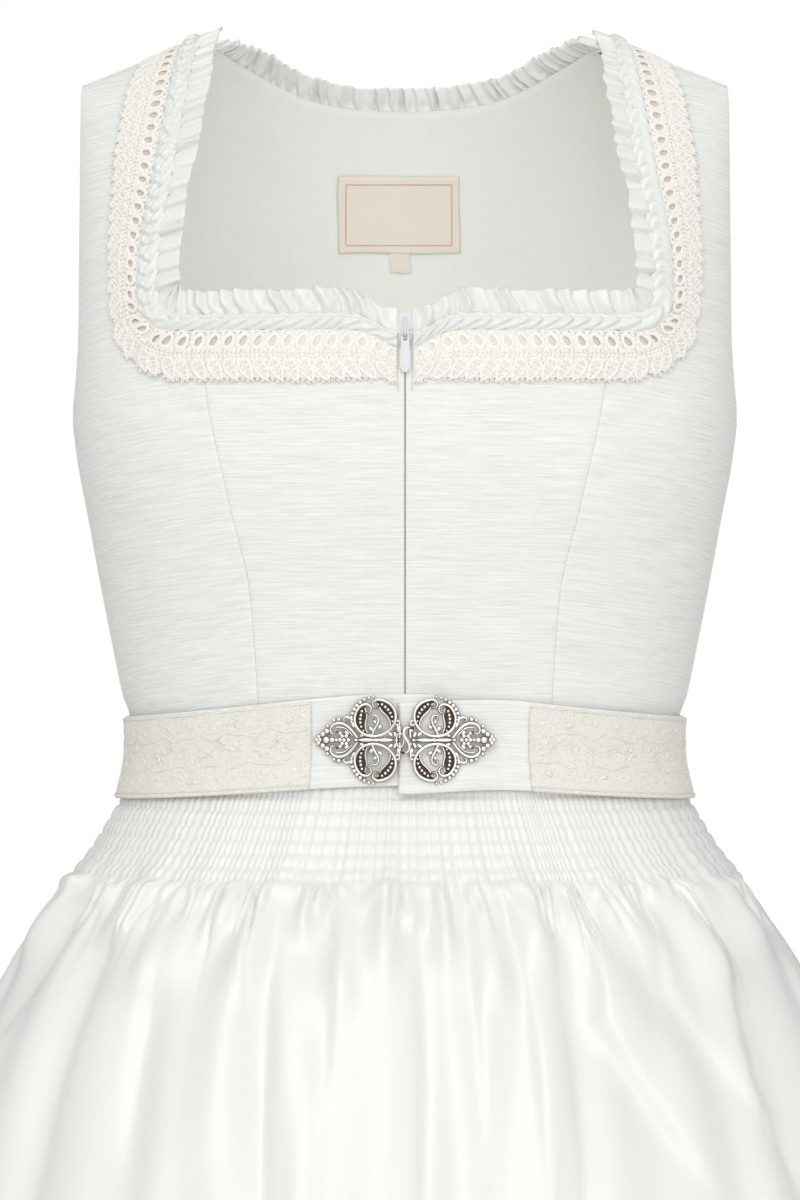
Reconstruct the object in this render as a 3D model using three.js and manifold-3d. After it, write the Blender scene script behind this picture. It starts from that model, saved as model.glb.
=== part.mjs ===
// A bridal dirndl, filled out as it is worn, with nobody in it: bodice, trimmed neck, belt, skirt and apron.
// Millimetres, +Z up, the front towards -Y and the wearer's left towards +X. Heights in the tables are
// measured from the middle of the belt at the front; angles in degrees run from the middle of the front
// towards the wearer's left. The finished part has its origin where the wearer's shoulders carry it.
import * as THREE from 'three';
import { mergeVertices } from 'three/addons/utils/BufferGeometryUtils.js';
import Module from 'manifold-3d';

const wasm = await Module();
wasm.setup();

const { clamp, degToRad, lerp, radToDeg, smoothstep } = THREE.MathUtils;
const QUARTER_TURN = Math.PI / 2;

// Cloth thicknesses, each with its backing, and the room left between layers.
const BODICE_WALL = 1.5;
const LINING_WALL = 1;
const LABEL_WALL = 0.8;
const LACE_WALL = 1.2;
const BRAID_WALL = 2.2;
const FRILL_WALL = 1.6;
const SKIRT_WALL = 1.5;
const APRON_WALL = 1.5;
const BELT_WALL = 1.4;
const SEAM_GAP = 0.3;
const TRIM_GAP = 0.5;
const LINING_GAP = 2.7;
const LACE_GAP = 0.9;
const BRAID_GAP = 0.7;
const CHAIN_GAP = 0.7;
const LABEL_GAP = 0.9;
const FRILL_SEAM = 1.1;
const SEAM_INSET = 0.6 * SEAM_GAP;
const SHOULDER_INSET = 0.7 * SEAM_GAP;

// Heights of the cut.
const WAIST_SEAM = -8;
const SKIRT_TOP = WAIST_SEAM - SEAM_GAP;
const UNDERARM = 155;
const NECK_FRONT = 206;
const NECK_DIP = 9.5;
const NECK_DIP_REACH = 26;
const SHIRRING_END = -67;
const APRON_HEM = -668;
const SKIRT_HEM = -700;

// The shoulder line, and how roundly front and back rise to it (2 is a quarter ellipse).
const SHOULDER_PEAK = 386;
const SHOULDER_FALL = 0.4;
const SHOULDER_IN = 100;
const SHOULDER_OUT = 160;
const FRONT_PROFILE = 1.8;
const BACK_PROFILE = 2.6;
const REST_HEIGHT = SHOULDER_PEAK - SHOULDER_FALL * (SHOULDER_IN + SHOULDER_OUT) / 2 - BODICE_WALL;

// Level rings of the bodice's outside: rounded ovals, squarer towards the underarm.
const BODICE_RINGS = [
  { z: WAIST_SEAM, halfWidth: 134.4, front: 88, back: 74, power: 2.25 },
  { z: 11, halfWidth: 135.5, front: 88.8, back: 74.8, power: 2.25 },
  { z: 21, halfWidth: 139, front: 90.8, back: 76.4, power: 2.27 },
  { z: 48, halfWidth: 144.6, front: 95, back: 78.5, power: 2.35 },
  { z: 78, halfWidth: 150.5, front: 100, back: 80.5, power: 2.5 },
  { z: 108, halfWidth: 156, front: 105.5, back: 82.5, power: 2.65 },
  { z: 134, halfWidth: 161, front: 108.5, back: 84, power: 2.8 },
  { z: UNDERARM, halfWidth: 163.7, front: 108, back: 85, power: 2.9 },
];

// Level rings of the skirt's outside, between its folds.
const SKIRT_RINGS = [
  { z: SKIRT_HEM, halfWidth: 352, front: 290, back: 280, power: 2.05 },
  { z: -540, halfWidth: 326, front: 266, back: 255, power: 2.05 },
  { z: -420, halfWidth: 299, front: 242, back: 231, power: 2.1 },
  { z: -320, halfWidth: 271, front: 218, back: 206, power: 2.1 },
  { z: -230, halfWidth: 241, front: 190, back: 178, power: 2.1 },
  { z: -160, halfWidth: 215, front: 166, back: 153, power: 2.1 },
  { z: -115, halfWidth: 193.5, front: 145, back: 133, power: 2.1 },
  { z: -86, halfWidth: 175.5, front: 126, back: 115, power: 2.1 },
  { z: SHIRRING_END, halfWidth: 163, front: 113, back: 102, power: 2.1 },
  { z: -56, halfWidth: 154, front: 106, back: 95, power: 2.12 },
  { z: -41, halfWidth: 144.6, front: 98, back: 86, power: 2.15 },
  { z: -26, halfWidth: 136.4, front: 90.4, back: 76.6, power: 2.2 },
  { z: SKIRT_TOP, halfWidth: 134.2, front: 87.8, back: 73.8, power: 2.25 },
];

// Rings of the belt's inside, by height above its own middle line.
const BELT_RINGS = [
  { rise: -22, halfWidth: 141.2, front: 93.7, back: 81, power: 2.25 },
  { rise: 0, halfWidth: 137, front: 91.7, back: 77.6, power: 2.25 },
  { rise: 22, halfWidth: 137.2, front: 92.5, back: 78.2, power: 2.25 },
];
const BELT_MIDDLE = 1.2;
const BELT_SIDE_DIP = 10.7;
const BELT_HALF_HEIGHT = 22;
const BELT_SIDE_TRIM = 2;

// Seams of the bodice: distance from the middle at each height.
const PRINCESS_SEAM = [
  { z: WAIST_SEAM, x: 69.5 },
  { z: 11, x: 70.2 },
  { z: 21, x: 70.8 },
  { z: 48, x: 72.4 },
  { z: 78, x: 75.2 },
  { z: 108, x: 82.6 },
  { z: 134, x: 88.4 },
  { z: UNDERARM, x: 93 },
  { z: 172, x: 95.8 },
  { z: 189, x: 99.4 },
  { z: NECK_FRONT, x: 103 },
];
const BACK_SEAM = [
  { z: WAIST_SEAM, x: 40 },
  { z: 11, x: 41.2 },
  { z: 21, x: 42 },
  { z: 48, x: 44 },
  { z: 78, x: 47 },
  { z: 108, x: 51 },
  { z: 134, x: 55 },
  { z: UNDERARM, x: 58 },
  { z: 195, x: 64 },
  { z: 230, x: 68.5 },
  { z: 260, x: 72 },
  { z: 286, x: 75 },
  { z: 307, x: 77 },
  { z: 324, x: 78.7 },
  { z: 338, x: 80 },
];
const BACK_NECK = [
  { x: 0, z: 317.5 },
  { x: 30, z: 319.3 },
  { x: 50, z: 323.5 },
  { x: 65, z: 330 },
  { x: 80, z: 338 },
  { x: 92, z: 344 },
  { x: SHOULDER_IN, z: SHOULDER_PEAK - SHOULDER_FALL * SHOULDER_IN },
];

// The side panels are cut row by row. The inner edge follows the princess seam, the neck's corner and the
// strap; the outer edge follows the side seam, given by its angle, and then the armhole.
const FRONT_SIDE_ROWS = [
  { innerX: 69.5, innerZ: WAIST_SEAM, angle: 90, outerZ: WAIST_SEAM },
  { innerX: 70.2, innerZ: 11, angle: 90, outerZ: 11 },
  { innerX: 70.8, innerZ: 21, angle: 90, outerZ: 21 },
  { innerX: 72.4, innerZ: 48, angle: 90, outerZ: 48 },
  { innerX: 75.2, innerZ: 78, angle: 90, outerZ: 78 },
  { innerX: 82.6, innerZ: 108, angle: 90, outerZ: 108 },
  { innerX: 88.4, innerZ: 134, angle: 90, outerZ: 134 },
  { innerX: 93, innerZ: UNDERARM, angle: 90, outerZ: 157 },
  { innerX: 95.8, innerZ: 172, angle: 83, outerZ: 161 },
  { innerX: 99.4, innerZ: 189, angle: 78, outerZ: 172 },
  { innerX: 103, innerZ: NECK_FRONT, angle: 75.2, outerZ: 190 },
  { innerX: 114.5, innerZ: 207.2, angle: 74.6, outerZ: 208 },
  { innerX: 119, innerZ: 214, angle: 74.6, outerZ: 226 },
  { innerX: 118, innerZ: 240, angle: 74.6, outerZ: 246 },
  { innerX: 112.5, innerZ: 274, angle: 74.8, outerZ: 272 },
  { innerX: 108, innerZ: 304, angle: 75.2, outerZ: 297 },
  { innerX: 104, innerZ: 331, angle: 75.6, outerZ: 314 },
];
const BACK_SIDE_ROWS = [
  { innerX: 40, innerZ: WAIST_SEAM, angle: 90, outerZ: WAIST_SEAM },
  { innerX: 41.2, innerZ: 11, angle: 90, outerZ: 11 },
  { innerX: 42, innerZ: 21, angle: 90, outerZ: 21 },
  { innerX: 44, innerZ: 48, angle: 90, outerZ: 48 },
  { innerX: 47, innerZ: 78, angle: 90, outerZ: 78 },
  { innerX: 51, innerZ: 108, angle: 90, outerZ: 108 },
  { innerX: 55, innerZ: 134, angle: 90, outerZ: 134 },
  { innerX: 58, innerZ: UNDERARM, angle: 90, outerZ: 157 },
  { innerX: 64, innerZ: 195, angle: 96, outerZ: 162 },
  { innerX: 68.5, innerZ: 230, angle: 101.5, outerZ: 172 },
  { innerX: 72, innerZ: 260, angle: 104.8, outerZ: 190 },
  { innerX: 75, innerZ: 286, angle: 106.4, outerZ: 214 },
  { innerX: 77, innerZ: 307, angle: 106.5, outerZ: 240 },
  { innerX: 78.7, innerZ: 324, angle: 105.8, outerZ: 265 },
  { innerX: 80, innerZ: 338, angle: 104.8, outerZ: 287 },
  { innerX: 92, innerZ: 344, angle: 103.2, outerZ: 309 },
];
const LINING_EDGE = [
  { z: WAIST_SEAM, x: 130.5 },
  { z: 48, x: 142 },
  { z: 108, x: 153.5 },
  { z: 150, x: 159 },
  { z: 200, x: 148 },
  { z: 250, x: 143 },
  { z: 300, x: 124 },
  { z: 338, x: 96 },
];

// The front neck edge from the zip round the corner and up the strap. Aim is the way a trim runs out from
// the edge: 0 is straight down, 90 straight out towards the armhole. Lace is how far the lace reaches.
const NECK_EDGE = [
  { x: 3.6, z: 196.9, aim: 0, lace: 30.5 },
  { x: 10, z: 199, aim: -12, lace: 31 },
  { x: 18, z: 203.2, aim: -12, lace: 33 },
  { x: 27, z: 205.9, aim: -4, lace: 34.5 },
  { x: 46, z: NECK_FRONT, aim: 0, lace: 35 },
  { x: 66, z: NECK_FRONT, aim: 0, lace: 34.5 },
  { x: 86, z: NECK_FRONT, aim: 0, lace: 34.5 },
  { x: 104, z: NECK_FRONT, aim: 6, lace: 34 },
  { x: 112, z: 206.4, aim: 24, lace: 31 },
  { x: 116.8, z: 209.4, aim: 50, lace: 27 },
  { x: 118.8, z: 214, aim: 76, lace: 23.5 },
  { x: 118.9, z: 224, aim: 90, lace: 24 },
  { x: 118, z: 240, aim: 90, lace: 25.5 },
  { x: 115.5, z: 257, aim: 90, lace: 27.5 },
  { x: 112.5, z: 274, aim: 90, lace: 30 },
  { x: 109.8, z: 292, aim: 90, lace: 32 },
  { x: 107, z: 310, aim: 90, lace: 32.5 },
  { x: 104, z: 330, aim: 90, lace: 32.5 },
  { x: 101.6, z: 341.5, aim: 90, lace: 30 },
  { x: SHOULDER_IN, z: SHOULDER_PEAK - SHOULDER_FALL * SHOULDER_IN, aim: 90, lace: 28 },
];
const BACK_NECK_AIM = 78;
const FRILL_REACH = 10.5;
const FRILL_WAVES = [-0.8, 1.4];
const FRILL_BEHIND = 0.2;
const BRAID_FROM = -0.8;
const BRAID_TO = 9;
const LACE_FROM = 9.5;

// The apron's valleys from edge to edge: their angle at the shirring, a hand lower and at the hem, and how
// deep each is. The outermost two are the apron's side edges.
const HAND_LOWER = -220;
const APRON_VALLEYS = [
  { top: -86, low: -72, hem: -70, depth: 0 },
  { top: -70, low: -63, hem: -61, depth: 0.8 },
  { top: -58, low: -53, hem: -51.5, depth: 1 },
  { top: -46, low: -39, hem: -42, depth: 0.8 },
  { top: -38, low: -30.5, hem: -31, depth: 0.6 },
  { top: -29, low: -19, hem: -20, depth: 1.1 },
  { top: -10.5, low: -10, hem: -8, depth: 0.7 },
  { top: 4.7, low: 2.8, hem: 3, depth: 0.9 },
  { top: 20.5, low: 13.5, hem: 14, depth: 0.7 },
  { top: 32.5, low: 23, hem: 25, depth: 1 },
  { top: 39.5, low: 35, hem: 37, depth: 0.6 },
  { top: 52, low: 47, hem: 48, depth: 1.1 },
  { top: 63.5, low: 56.5, hem: 58.5, depth: 0.8 },
  { top: 86, low: 72, hem: 70, depth: 0 },
];
const SKIRT_VALLEYS = [
  { top: 90, low: 90, hem: 90, depth: 0.2 },
  { top: 105, low: 107, hem: 108, depth: 0.9 },
  { top: 122, low: 121, hem: 124, depth: 0.7 },
  { top: 138, low: 136, hem: 139, depth: 1.1 },
  { top: 154, low: 155, hem: 157, depth: 0.8 },
  { top: 171, low: 172, hem: 175, depth: 1 },
  { top: 188, low: 187, hem: 190, depth: 0.8 },
  { top: 204, low: 206, hem: 207, depth: 1.1 },
  { top: 221, low: 221, hem: 224, depth: 0.7 },
  { top: 238, low: 236, hem: 239, depth: 1 },
  { top: 254, low: 254, hem: 255, depth: 0.8 },
  { top: 270, low: 270, hem: 270, depth: 0.2 },
];
// How deep a full fold is at each height.
const FOLD_DEPTHS = [
  { z: SKIRT_HEM, depth: 27 },
  { z: -420, depth: 21 },
  { z: -300, depth: 17 },
  { z: HAND_LOWER, depth: 13 },
  { z: -165, depth: 10 },
  { z: -125, depth: 7.5 },
  { z: -98, depth: 5 },
  { z: -80, depth: 2.6 },
  { z: SHIRRING_END, depth: 0.5 },
  { z: -50, depth: 0 },
  { z: WAIST_SEAM, depth: 0 },
];
// Share of a fold's depth that its ridge stands out and its valley lies in.
const FOLD_RIDGE = 0.45;
const FOLD_VALLEY = 0.55;
const APRON_ROWS = [APRON_HEM, -380, HAND_LOWER, -160, -125, -98, -80, SHIRRING_END, -50, -27];
const SKIRT_FRONT_ROWS = [SKIRT_HEM, ...APRON_ROWS.slice(1), -20, SKIRT_TOP];
const SKIRT_BACK_ROWS = [SKIRT_HEM, -380, HAND_LOWER, -145, -98, SHIRRING_END, -50, -34, SKIRT_TOP];
const COLUMNS_PER_FOLD = 3;
const SKIRT_COLUMNS_PER_FOLD = 2;
const SIDE_FOLD = 0.7;
const SIDE_SEAM_SHARE = 0.999;

// How far the apron stands off the skirt under the belt, how much more a hand lower, and how far it is
// tucked up behind the belt. Under it the skirt's own folds are shallower and pressed in.
const APRON_OFF = 2.1;
const APRON_SPREAD = 4;
const APRON_SPREAD_LENGTH = 160;
const APRON_TUCK = 7;
const COVERED_FOLD = 0.6;
const COVERED_PRESS = 0.3;
const COVERED_GAP = 0.6;
const COVER_FADE_FROM = 12;
const COVER_FADE_TO = 88;

// The belt's ends cross in the middle of the front, the wearer's left end on top.
const BELT_UNDER_END = 9;
const BELT_OVER_END = -362;
const BELT_RISE_FROM = -326;
const BELT_RISE_TO = -346;
const BELT_OVER_DROP = 4;
const BELT_LACE_COLUMNS = 36;
const BELT_END_COLUMNS = 5;
const BELT_LACE_FROM_X = -41;
const BELT_LACE_TO_X = 52;
const BELT_LACE_SHARE = 0.97;

// The zip, its slider and its pull tab.
const ZIP_HALF_GAP = 0.6;
const ZIP_CHAIN_WIDTH = 5;
const ZIP_CHAIN_WALL = 1.2;
const SLIDER_WIDTH = 5.6;
const SLIDER_BELOW = 5;
const SLIDER_ABOVE = 7.6;
const SLIDER_WALL = 1.4;
const BRIDGE_WIDTH = 1.6;
const BRIDGE_HEIGHT = 3.2;
const BRIDGE_WALL = 0.8;
const BRIDGE_SUNK = 0.2;
const HOLDER = { width: 4.8, height: 5.6, depth: 4.6, middle: 4, front: 0.7 };
const PULL_PIN = 1;
const PULL_WIDTH = 6.2;
const PULL_LENGTH = 19;
const PULL_WALL = 1.1;
const PULL_NECK = 1.9;
const PULL_ROOM = 0.2;
const PULL_DROP = 1.2;
const CHAIN_CLIMB = 0.993;

// The label and the size tab inside the back.
const LABEL = { middle: -3, width: 63, top: 285, height: 39.5 };
const SIZE_TAB = { middle: -3, width: 11.5, top: 245, height: 9.5 };

// The clasp: two mirrored halves of cast scrollwork.
const CLASP_HALF_LENGTH = 43;
const CLASP_WALL = 2;
const CLASP_STAND_OFF = 1.2;
const SCROLL_RADIUS = 10.5;
const SCROLL_BAND = 2.6;
const SCROLL_X = 15;
const SCROLL_RISE = 10.4;
const EYE_RADIUS = 4.6;
const BOSS_RADIUS = 4.6;
const LEAF_SIZE = 6.4;
const STEM_HALF_WIDTH = 2.1;
const HALF_SPACE = 0.6;

/**
 * The row of a table at a value of its key column, smooth from row to row.
 */
function rowAt(table, value, key = 'z') {
  const last = table.length - 1;
  const place = clamp(value, table[0][key], table[last][key]);
  let low = 0;
  while (low < last - 1 && table[low + 1][key] < place) {
    low += 1;
  }
  const from = table[low];
  const to = table[low + 1];
  const before = table[Math.max(low - 1, 0)];
  const after = table[Math.min(low + 2, last)];
  const span = to[key] - from[key];
  const t = (place - from[key]) / span;
  const row = {};
  for (const name of Object.keys(from)) {
    const leave = (to[name] - before[name]) / (to[key] - before[key]) * span;
    const arrive = (after[name] - from[name]) / (after[key] - from[key]) * span;
    const rise = 3 * t * t - 2 * t ** 3;
    const leaving = t * (1 - t) ** 2;
    const arriving = t * t * (t - 1);
    row[name] = lerp(from[name], to[name], rise) + leave * leaving + arrive * arriving;
  }
  return row;
}

/** A point of a rounded oval at an angle and height. */
function ovalPoint(ring, angle, z) {
  const turn = degToRad(angle);
  const depth = Math.cos(turn) > 0 ? ring.front : ring.back;
  const across = Math.abs(Math.sin(turn)) / ring.halfWidth;
  const along = Math.abs(Math.cos(turn)) / depth;
  const reach = (across ** ring.power + along ** ring.power) ** (-1 / ring.power);
  return new THREE.Vector3(reach * Math.sin(turn), -reach * Math.cos(turn), z);
}

/** Height of the shoulder line at a distance from the middle. */
function shoulderHeight(x) {
  return SHOULDER_PEAK - SHOULDER_FALL * Math.abs(x);
}

/**
 * The bodice's outside. Lift runs from 0 at the waist to 1 at the underarm on level rings, and from there
 * to 2 on the shoulder line, where front and back meet.
 */
function bodiceSurface(angle, lift) {
  if (lift <= 1) {
    const z = lerp(WAIST_SEAM, UNDERARM, lift);
    return ovalPoint(rowAt(BODICE_RINGS, z), angle, z);
  }
  const foot = ovalPoint(BODICE_RINGS.at(-1), angle, UNDERARM);
  const power = foot.y < 0 ? FRONT_PROFILE : BACK_PROFILE;
  const turn = (Math.min(lift, 2) - 1) * QUARTER_TURN;
  const z = lerp(UNDERARM, shoulderHeight(foot.x), Math.sin(turn) ** (2 / power));
  return new THREE.Vector3(foot.x, foot.y * Math.max(Math.cos(turn), 0) ** (2 / power), z);
}

/** Lift of a height on the bodice, where the shoulder line is at the given distance from the middle. */
function liftAt(z, x, side) {
  if (z <= UNDERARM) {
    return (z - WAIST_SEAM) / (UNDERARM - WAIST_SEAM);
  }
  const power = side === 'front' ? FRONT_PROFILE : BACK_PROFILE;
  const share = clamp((z - UNDERARM) / (shoulderHeight(x) - UNDERARM), 0, 1);
  return 1 + Math.asin(share ** (power / 2)) / QUARTER_TURN;
}

/** The spot on the bodice's front or back at a distance x from the middle and a height z. */
function spot(side, x, z) {
  const ring = rowAt(BODICE_RINGS, z);
  const depth = side === 'front' ? ring.front : ring.back;
  const share = Math.min(Math.abs(x) / ring.halfWidth, 1);
  const y = depth * (1 - share ** ring.power) ** (1 / ring.power);
  const fromMiddle = radToDeg(Math.atan2(x, y));
  const angle = side === 'front' ? fromMiddle : 180 - fromMiddle;
  return { angle, lift: liftAt(z, x, side) };
}

/** The spot at an angle and height, as on the side seam and the armhole. */
function spotAtAngle(side, angle, z) {
  const foot = ovalPoint(BODICE_RINGS.at(-1), angle, UNDERARM);
  return { angle, lift: liftAt(z, foot.x, side) };
}

/** The spot on the shoulder seam, half a seam's gap short of the line where front and back meet. */
function shoulderSpot(side, x) {
  const { angle } = spot(side, x, UNDERARM);
  const foot = ovalPoint(BODICE_RINGS.at(-1), angle, UNDERARM);
  const power = side === 'front' ? FRONT_PROFILE : BACK_PROFILE;
  const near = (SHOULDER_INSET / Math.abs(foot.y)) ** (power / 2);
  return { angle, lift: 1 + Math.acos(near) / QUARTER_TURN };
}

/** A point lifted off a surface along its outward normal. */
function liftedPoint(surface, angle, up, out) {
  const step = 1e-3;
  const across = surface(angle + step, up).sub(surface(angle - step, up));
  const rise = surface(angle, up + step).sub(surface(angle, up - step));
  return across.cross(rise).normalize().multiplyScalar(out).add(surface(angle, up));
}

/** The bodice's lifted point at a spot. */
function onBodice(place, out) {
  const lift = clamp(place.lift, 1.1e-3, 2 - 1.1e-3);
  const offset = liftedPoint(bodiceSurface, place.angle, lift, out).sub(bodiceSurface(place.angle, lift));
  return bodiceSurface(place.angle, place.lift).add(offset);
}

/** Turns a closed geometry's faces outwards, whichever way they were laid. */
function facingOut(geometry) {
  const points = geometry.attributes.position;
  const index = geometry.index.array;
  const corner = (i) => new THREE.Vector3().fromBufferAttribute(points, index[i]);
  let volume = 0;
  for (let i = 0; i < index.length; i += 3) {
    volume += corner(i).dot(corner(i + 1).cross(corner(i + 2)));
  }
  if (volume < 0) {
    geometry.setIndex(Array.from(index).reverse());
  }
  geometry.computeVertexNormals();
  return geometry;
}

/** A closed wall of cloth between two grids of points, each a list of rows of equal length. */
function wall(outer, inner) {
  const rows = outer.length;
  const columns = outer[0].length;
  const under = rows * columns;
  const index = [];
  const quad = (a, b, c, d) => index.push(a, b, c, a, c, d);
  for (let row = 0; row < rows - 1; row += 1) {
    for (let column = 0; column < columns - 1; column += 1) {
      const a = row * columns + column;
      const d = a + columns;
      quad(a, a + 1, d + 1, d);
      quad(under + d, under + d + 1, under + a + 1, under + a);
    }
    const left = row * columns;
    const right = left + columns - 1;
    quad(left, left + columns, under + left + columns, under + left);
    quad(right + columns, right, under + right, under + right + columns);
  }
  for (let column = 0; column < columns - 1; column += 1) {
    const top = under - columns + column;
    quad(column + 1, column, under + column, under + column + 1);
    quad(top, top + 1, under + top + 1, under + top);
  }
  const points = [...outer.flat(), ...inner.flat()];
  const geometry = new THREE.BufferGeometry();
  geometry.setAttribute('position', new THREE.Float32BufferAttribute(points.flatMap((p) => p.toArray()), 3));
  geometry.setIndex(index);
  return facingOut(geometry);
}

/** A panel of the bodice from rows of spots, with its two faces at given distances off the form. */
function panel(spots, outside, inside) {
  const outer = spots.map((row) => row.map((place) => onBodice(place, outside)));
  const inner = spots.map((row) => row.map((place) => onBodice(place, inside)));
  return wall(outer, inner);
}

/** A row of spots between two edges, each edge held back by half a seam's gap if it is sewn to another. */
function spotRow(from, to, columns, fromSewn = true, toSewn = true) {
  const start = bodiceSurface(from.angle, from.lift);
  const end = bodiceSurface(to.angle, to.lift);
  const inset = SEAM_INSET / start.distanceTo(end);
  const first = fromSewn ? inset : 0;
  const final = toSewn ? 1 - inset : 1;
  return Array.from({ length: columns + 1 }, (_, column) => {
    const share = lerp(first, final, column / columns);
    return { angle: lerp(from.angle, to.angle, share), lift: lerp(from.lift, to.lift, share) };
  });
}

/** The same spots on the wearer's other side. */
function mirrored(spots) {
  return spots.map((row) => row.map(({ angle, lift }) => ({ angle: -angle, lift })));
}

/** Height of the front neck edge at a distance from the middle: level, with a dip at the zip. */
function frontNeck(x) {
  return NECK_FRONT - NECK_DIP * smoothstep(NECK_DIP_REACH - Math.abs(x), 0, NECK_DIP_REACH);
}

/** Rows of the centre front, from the zip to the princess seam. */
function frontCentreSpots() {
  const shares = [0, 0.09, 0.18, 0.27, 0.6, 1];
  const neckX = PRINCESS_SEAM.at(-1).x;
  return PRINCESS_SEAM.map((row) => {
    const climb = (row.z - WAIST_SEAM) / (NECK_FRONT - WAIST_SEAM);
    return shares.map((share) => {
      const seam = share === 1 ? SEAM_INSET : 0;
      const x = lerp(ZIP_HALF_GAP, row.x - seam, share);
      return spot('front', x, lerp(WAIST_SEAM, frontNeck(neckX * share), climb));
    });
  });
}

/** Rows of the zip's chain, behind the centre front from the belt to just under the neck edge. */
function zipChainSpots() {
  const half = ZIP_CHAIN_WIDTH / 2;
  return PRINCESS_SEAM.map((row) => {
    const climb = CHAIN_CLIMB * (row.z - WAIST_SEAM) / (NECK_FRONT - WAIST_SEAM);
    return [-half, 0, half].map((x) => spot('front', x, lerp(WAIST_SEAM, frontNeck(0), climb)));
  });
}

/** Rows of a side panel with its strap, up to the shoulder seam. */
function sideSpots(side, table, columns, seamRows) {
  const rows = table.map((row, number) => {
    const inner = spot(side, row.innerX, row.innerZ);
    const outer = spotAtAngle(side, row.angle, row.outerZ);
    return spotRow(inner, outer, columns, number < seamRows, row.angle === 90);
  });
  const inner = shoulderSpot(side, SHOULDER_IN);
  const outer = shoulderSpot(side, SHOULDER_OUT);
  rows.push(spotRow(inner, outer, columns, false, false));
  return rows;
}

/**
 * Rows of a piece across the back, scooped more and more like the neck towards their top: a row for each
 * height of the back seam, with half the piece's width there in the table.
 */
function backSpots(edge, columns, inset) {
  const neckAt = (x) => rowAt(BACK_NECK, Math.abs(x), 'x').z;
  return BACK_SEAM.map((seam) => {
    const climb = (seam.z - WAIST_SEAM) / (neckAt(seam.x) - WAIST_SEAM);
    const halfWidth = rowAt(edge, seam.z).x - inset;
    return Array.from({ length: columns + 1 }, (_, column) => {
      const x = lerp(-halfWidth, halfWidth, column / columns);
      return spot('back', x, lerp(WAIST_SEAM, neckAt(x), climb));
    });
  });
}

/** A spot on the front at a distance out from the neck edge; negative distances stand into the neck. */
function trimSpot(station, distance) {
  const out = distance * Math.sin(degToRad(station.aim));
  const down = distance * Math.cos(degToRad(station.aim));
  const share = (station.z - UNDERARM) / (shoulderHeight(station.x) - UNDERARM);
  return spot('front', station.x + out, station.z - down - share * SHOULDER_FALL * out);
}

/** Rows of a trim that follows the front neck edge between two distances. */
function trimSpots(from, to, rows) {
  return Array.from({ length: rows + 1 }, (_, row) => NECK_EDGE.map((station) => {
    return trimSpot(station, lerp(from(station), to(station), row / rows));
  }));
}

/** Stations twice as close as the given ones. */
function doubled(stations) {
  return stations.flatMap((station, number) => {
    if (number === 0) {
      return [station];
    }
    const before = stations[number - 1];
    const middle = {};
    for (const name of Object.keys(station)) {
      middle[name] = (before[name] + station[name]) / 2;
    }
    return [middle, station];
  });
}

/** A frill standing off a neck edge: flat where it is sewn on and waved in and out at its free edge. */
function frill(stations, place) {
  const waved = (station, number, distance, out) => {
    const wave = distance > FRILL_SEAM ? FRILL_WAVES[number % 2] : 0;
    return onBodice(place(station, distance), out + wave);
  };
  const rows = [FRILL_SEAM, FRILL_REACH];
  const face = (out) => rows.map((distance) => {
    return stations.map((station, number) => waved(station, number, distance, out));
  });
  return wall(face(-FRILL_BEHIND), face(-FRILL_BEHIND - FRILL_WALL));
}

/** The front frill, on the wearer's left. */
function frontFrill() {
  return frill(doubled(NECK_EDGE.slice(0, -1)), (station, distance) => trimSpot(station, -distance));
}

/** The back frill, from shoulder to shoulder. */
function backFrill() {
  const half = doubled(BACK_NECK.slice(0, -1).map(({ x, z }) => ({ x, z })));
  const stations = [...half.slice(1).reverse().map(({ x, z }) => ({ x: -x, z })), ...half];
  const place = ({ x, z }, distance) => {
    const aim = degToRad(BACK_NECK_AIM * (Math.abs(x) / SHOULDER_IN) ** 2);
    const inward = distance * Math.sin(aim) * Math.sign(x);
    return spot('back', x - inward, z + distance * Math.cos(aim));
  };
  return frill(stations, place);
}

/** Angle of a valley at a height. */
function valleyAngle(valley, z) {
  const free = SHIRRING_END - Math.min(z, SHIRRING_END);
  const upper = SHIRRING_END - HAND_LOWER;
  if (free <= upper) {
    return lerp(valley.top, valley.low, smoothstep(free, 0, upper));
  }
  return lerp(valley.low, valley.hem, (free - upper) / (HAND_LOWER - SKIRT_HEM));
}

/**
 * One column of folded cloth: its angle and how far its fold stands in or out at each height. The column
 * lies at a share of the way from one valley to the next; the ridge between them is broad.
 */
function foldColumn(valleys, number, share) {
  const from = valleys[number];
  const to = valleys[Math.min(number + 1, valleys.length - 1)];
  const strength = lerp(from.depth, to.depth, share);
  const height = lerp(-FOLD_VALLEY, FOLD_RIDGE, Math.sin(Math.PI * share));
  return {
    angle: (z) => lerp(valleyAngle(from, z), valleyAngle(to, z), share),
    fold: (z) => rowAt(FOLD_DEPTHS, z).depth * strength * height,
  };
}

/** All the columns of a run of valleys. */
function foldColumns(valleys, perFold) {
  const columns = [];
  for (let number = 0; number < valleys.length - 1; number += 1) {
    for (let step = 0; step < perFold; step += 1) {
      columns.push(foldColumn(valleys, number, step / perFold));
    }
  }
  columns.push(foldColumn(valleys, valleys.length - 1, 0));
  return columns;
}

/** The skirt's smooth outside, before its folds. */
function skirtSurface(angle, z) {
  return ovalPoint(rowAt(SKIRT_RINGS, z), angle, z);
}

/** A wall of folded cloth: columns of folds, a list of heights for each column, lifted off the skirt. */
function foldedCloth(columns, rows, lift, thickness) {
  const face = (out) => rows.map((row) => columns.map((column) => {
    const z = row(column);
    return liftedPoint(skirtSurface, column.angle(z), z, lift(column, z) + out);
  }));
  return wall(face(0), face(-thickness));
}

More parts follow.
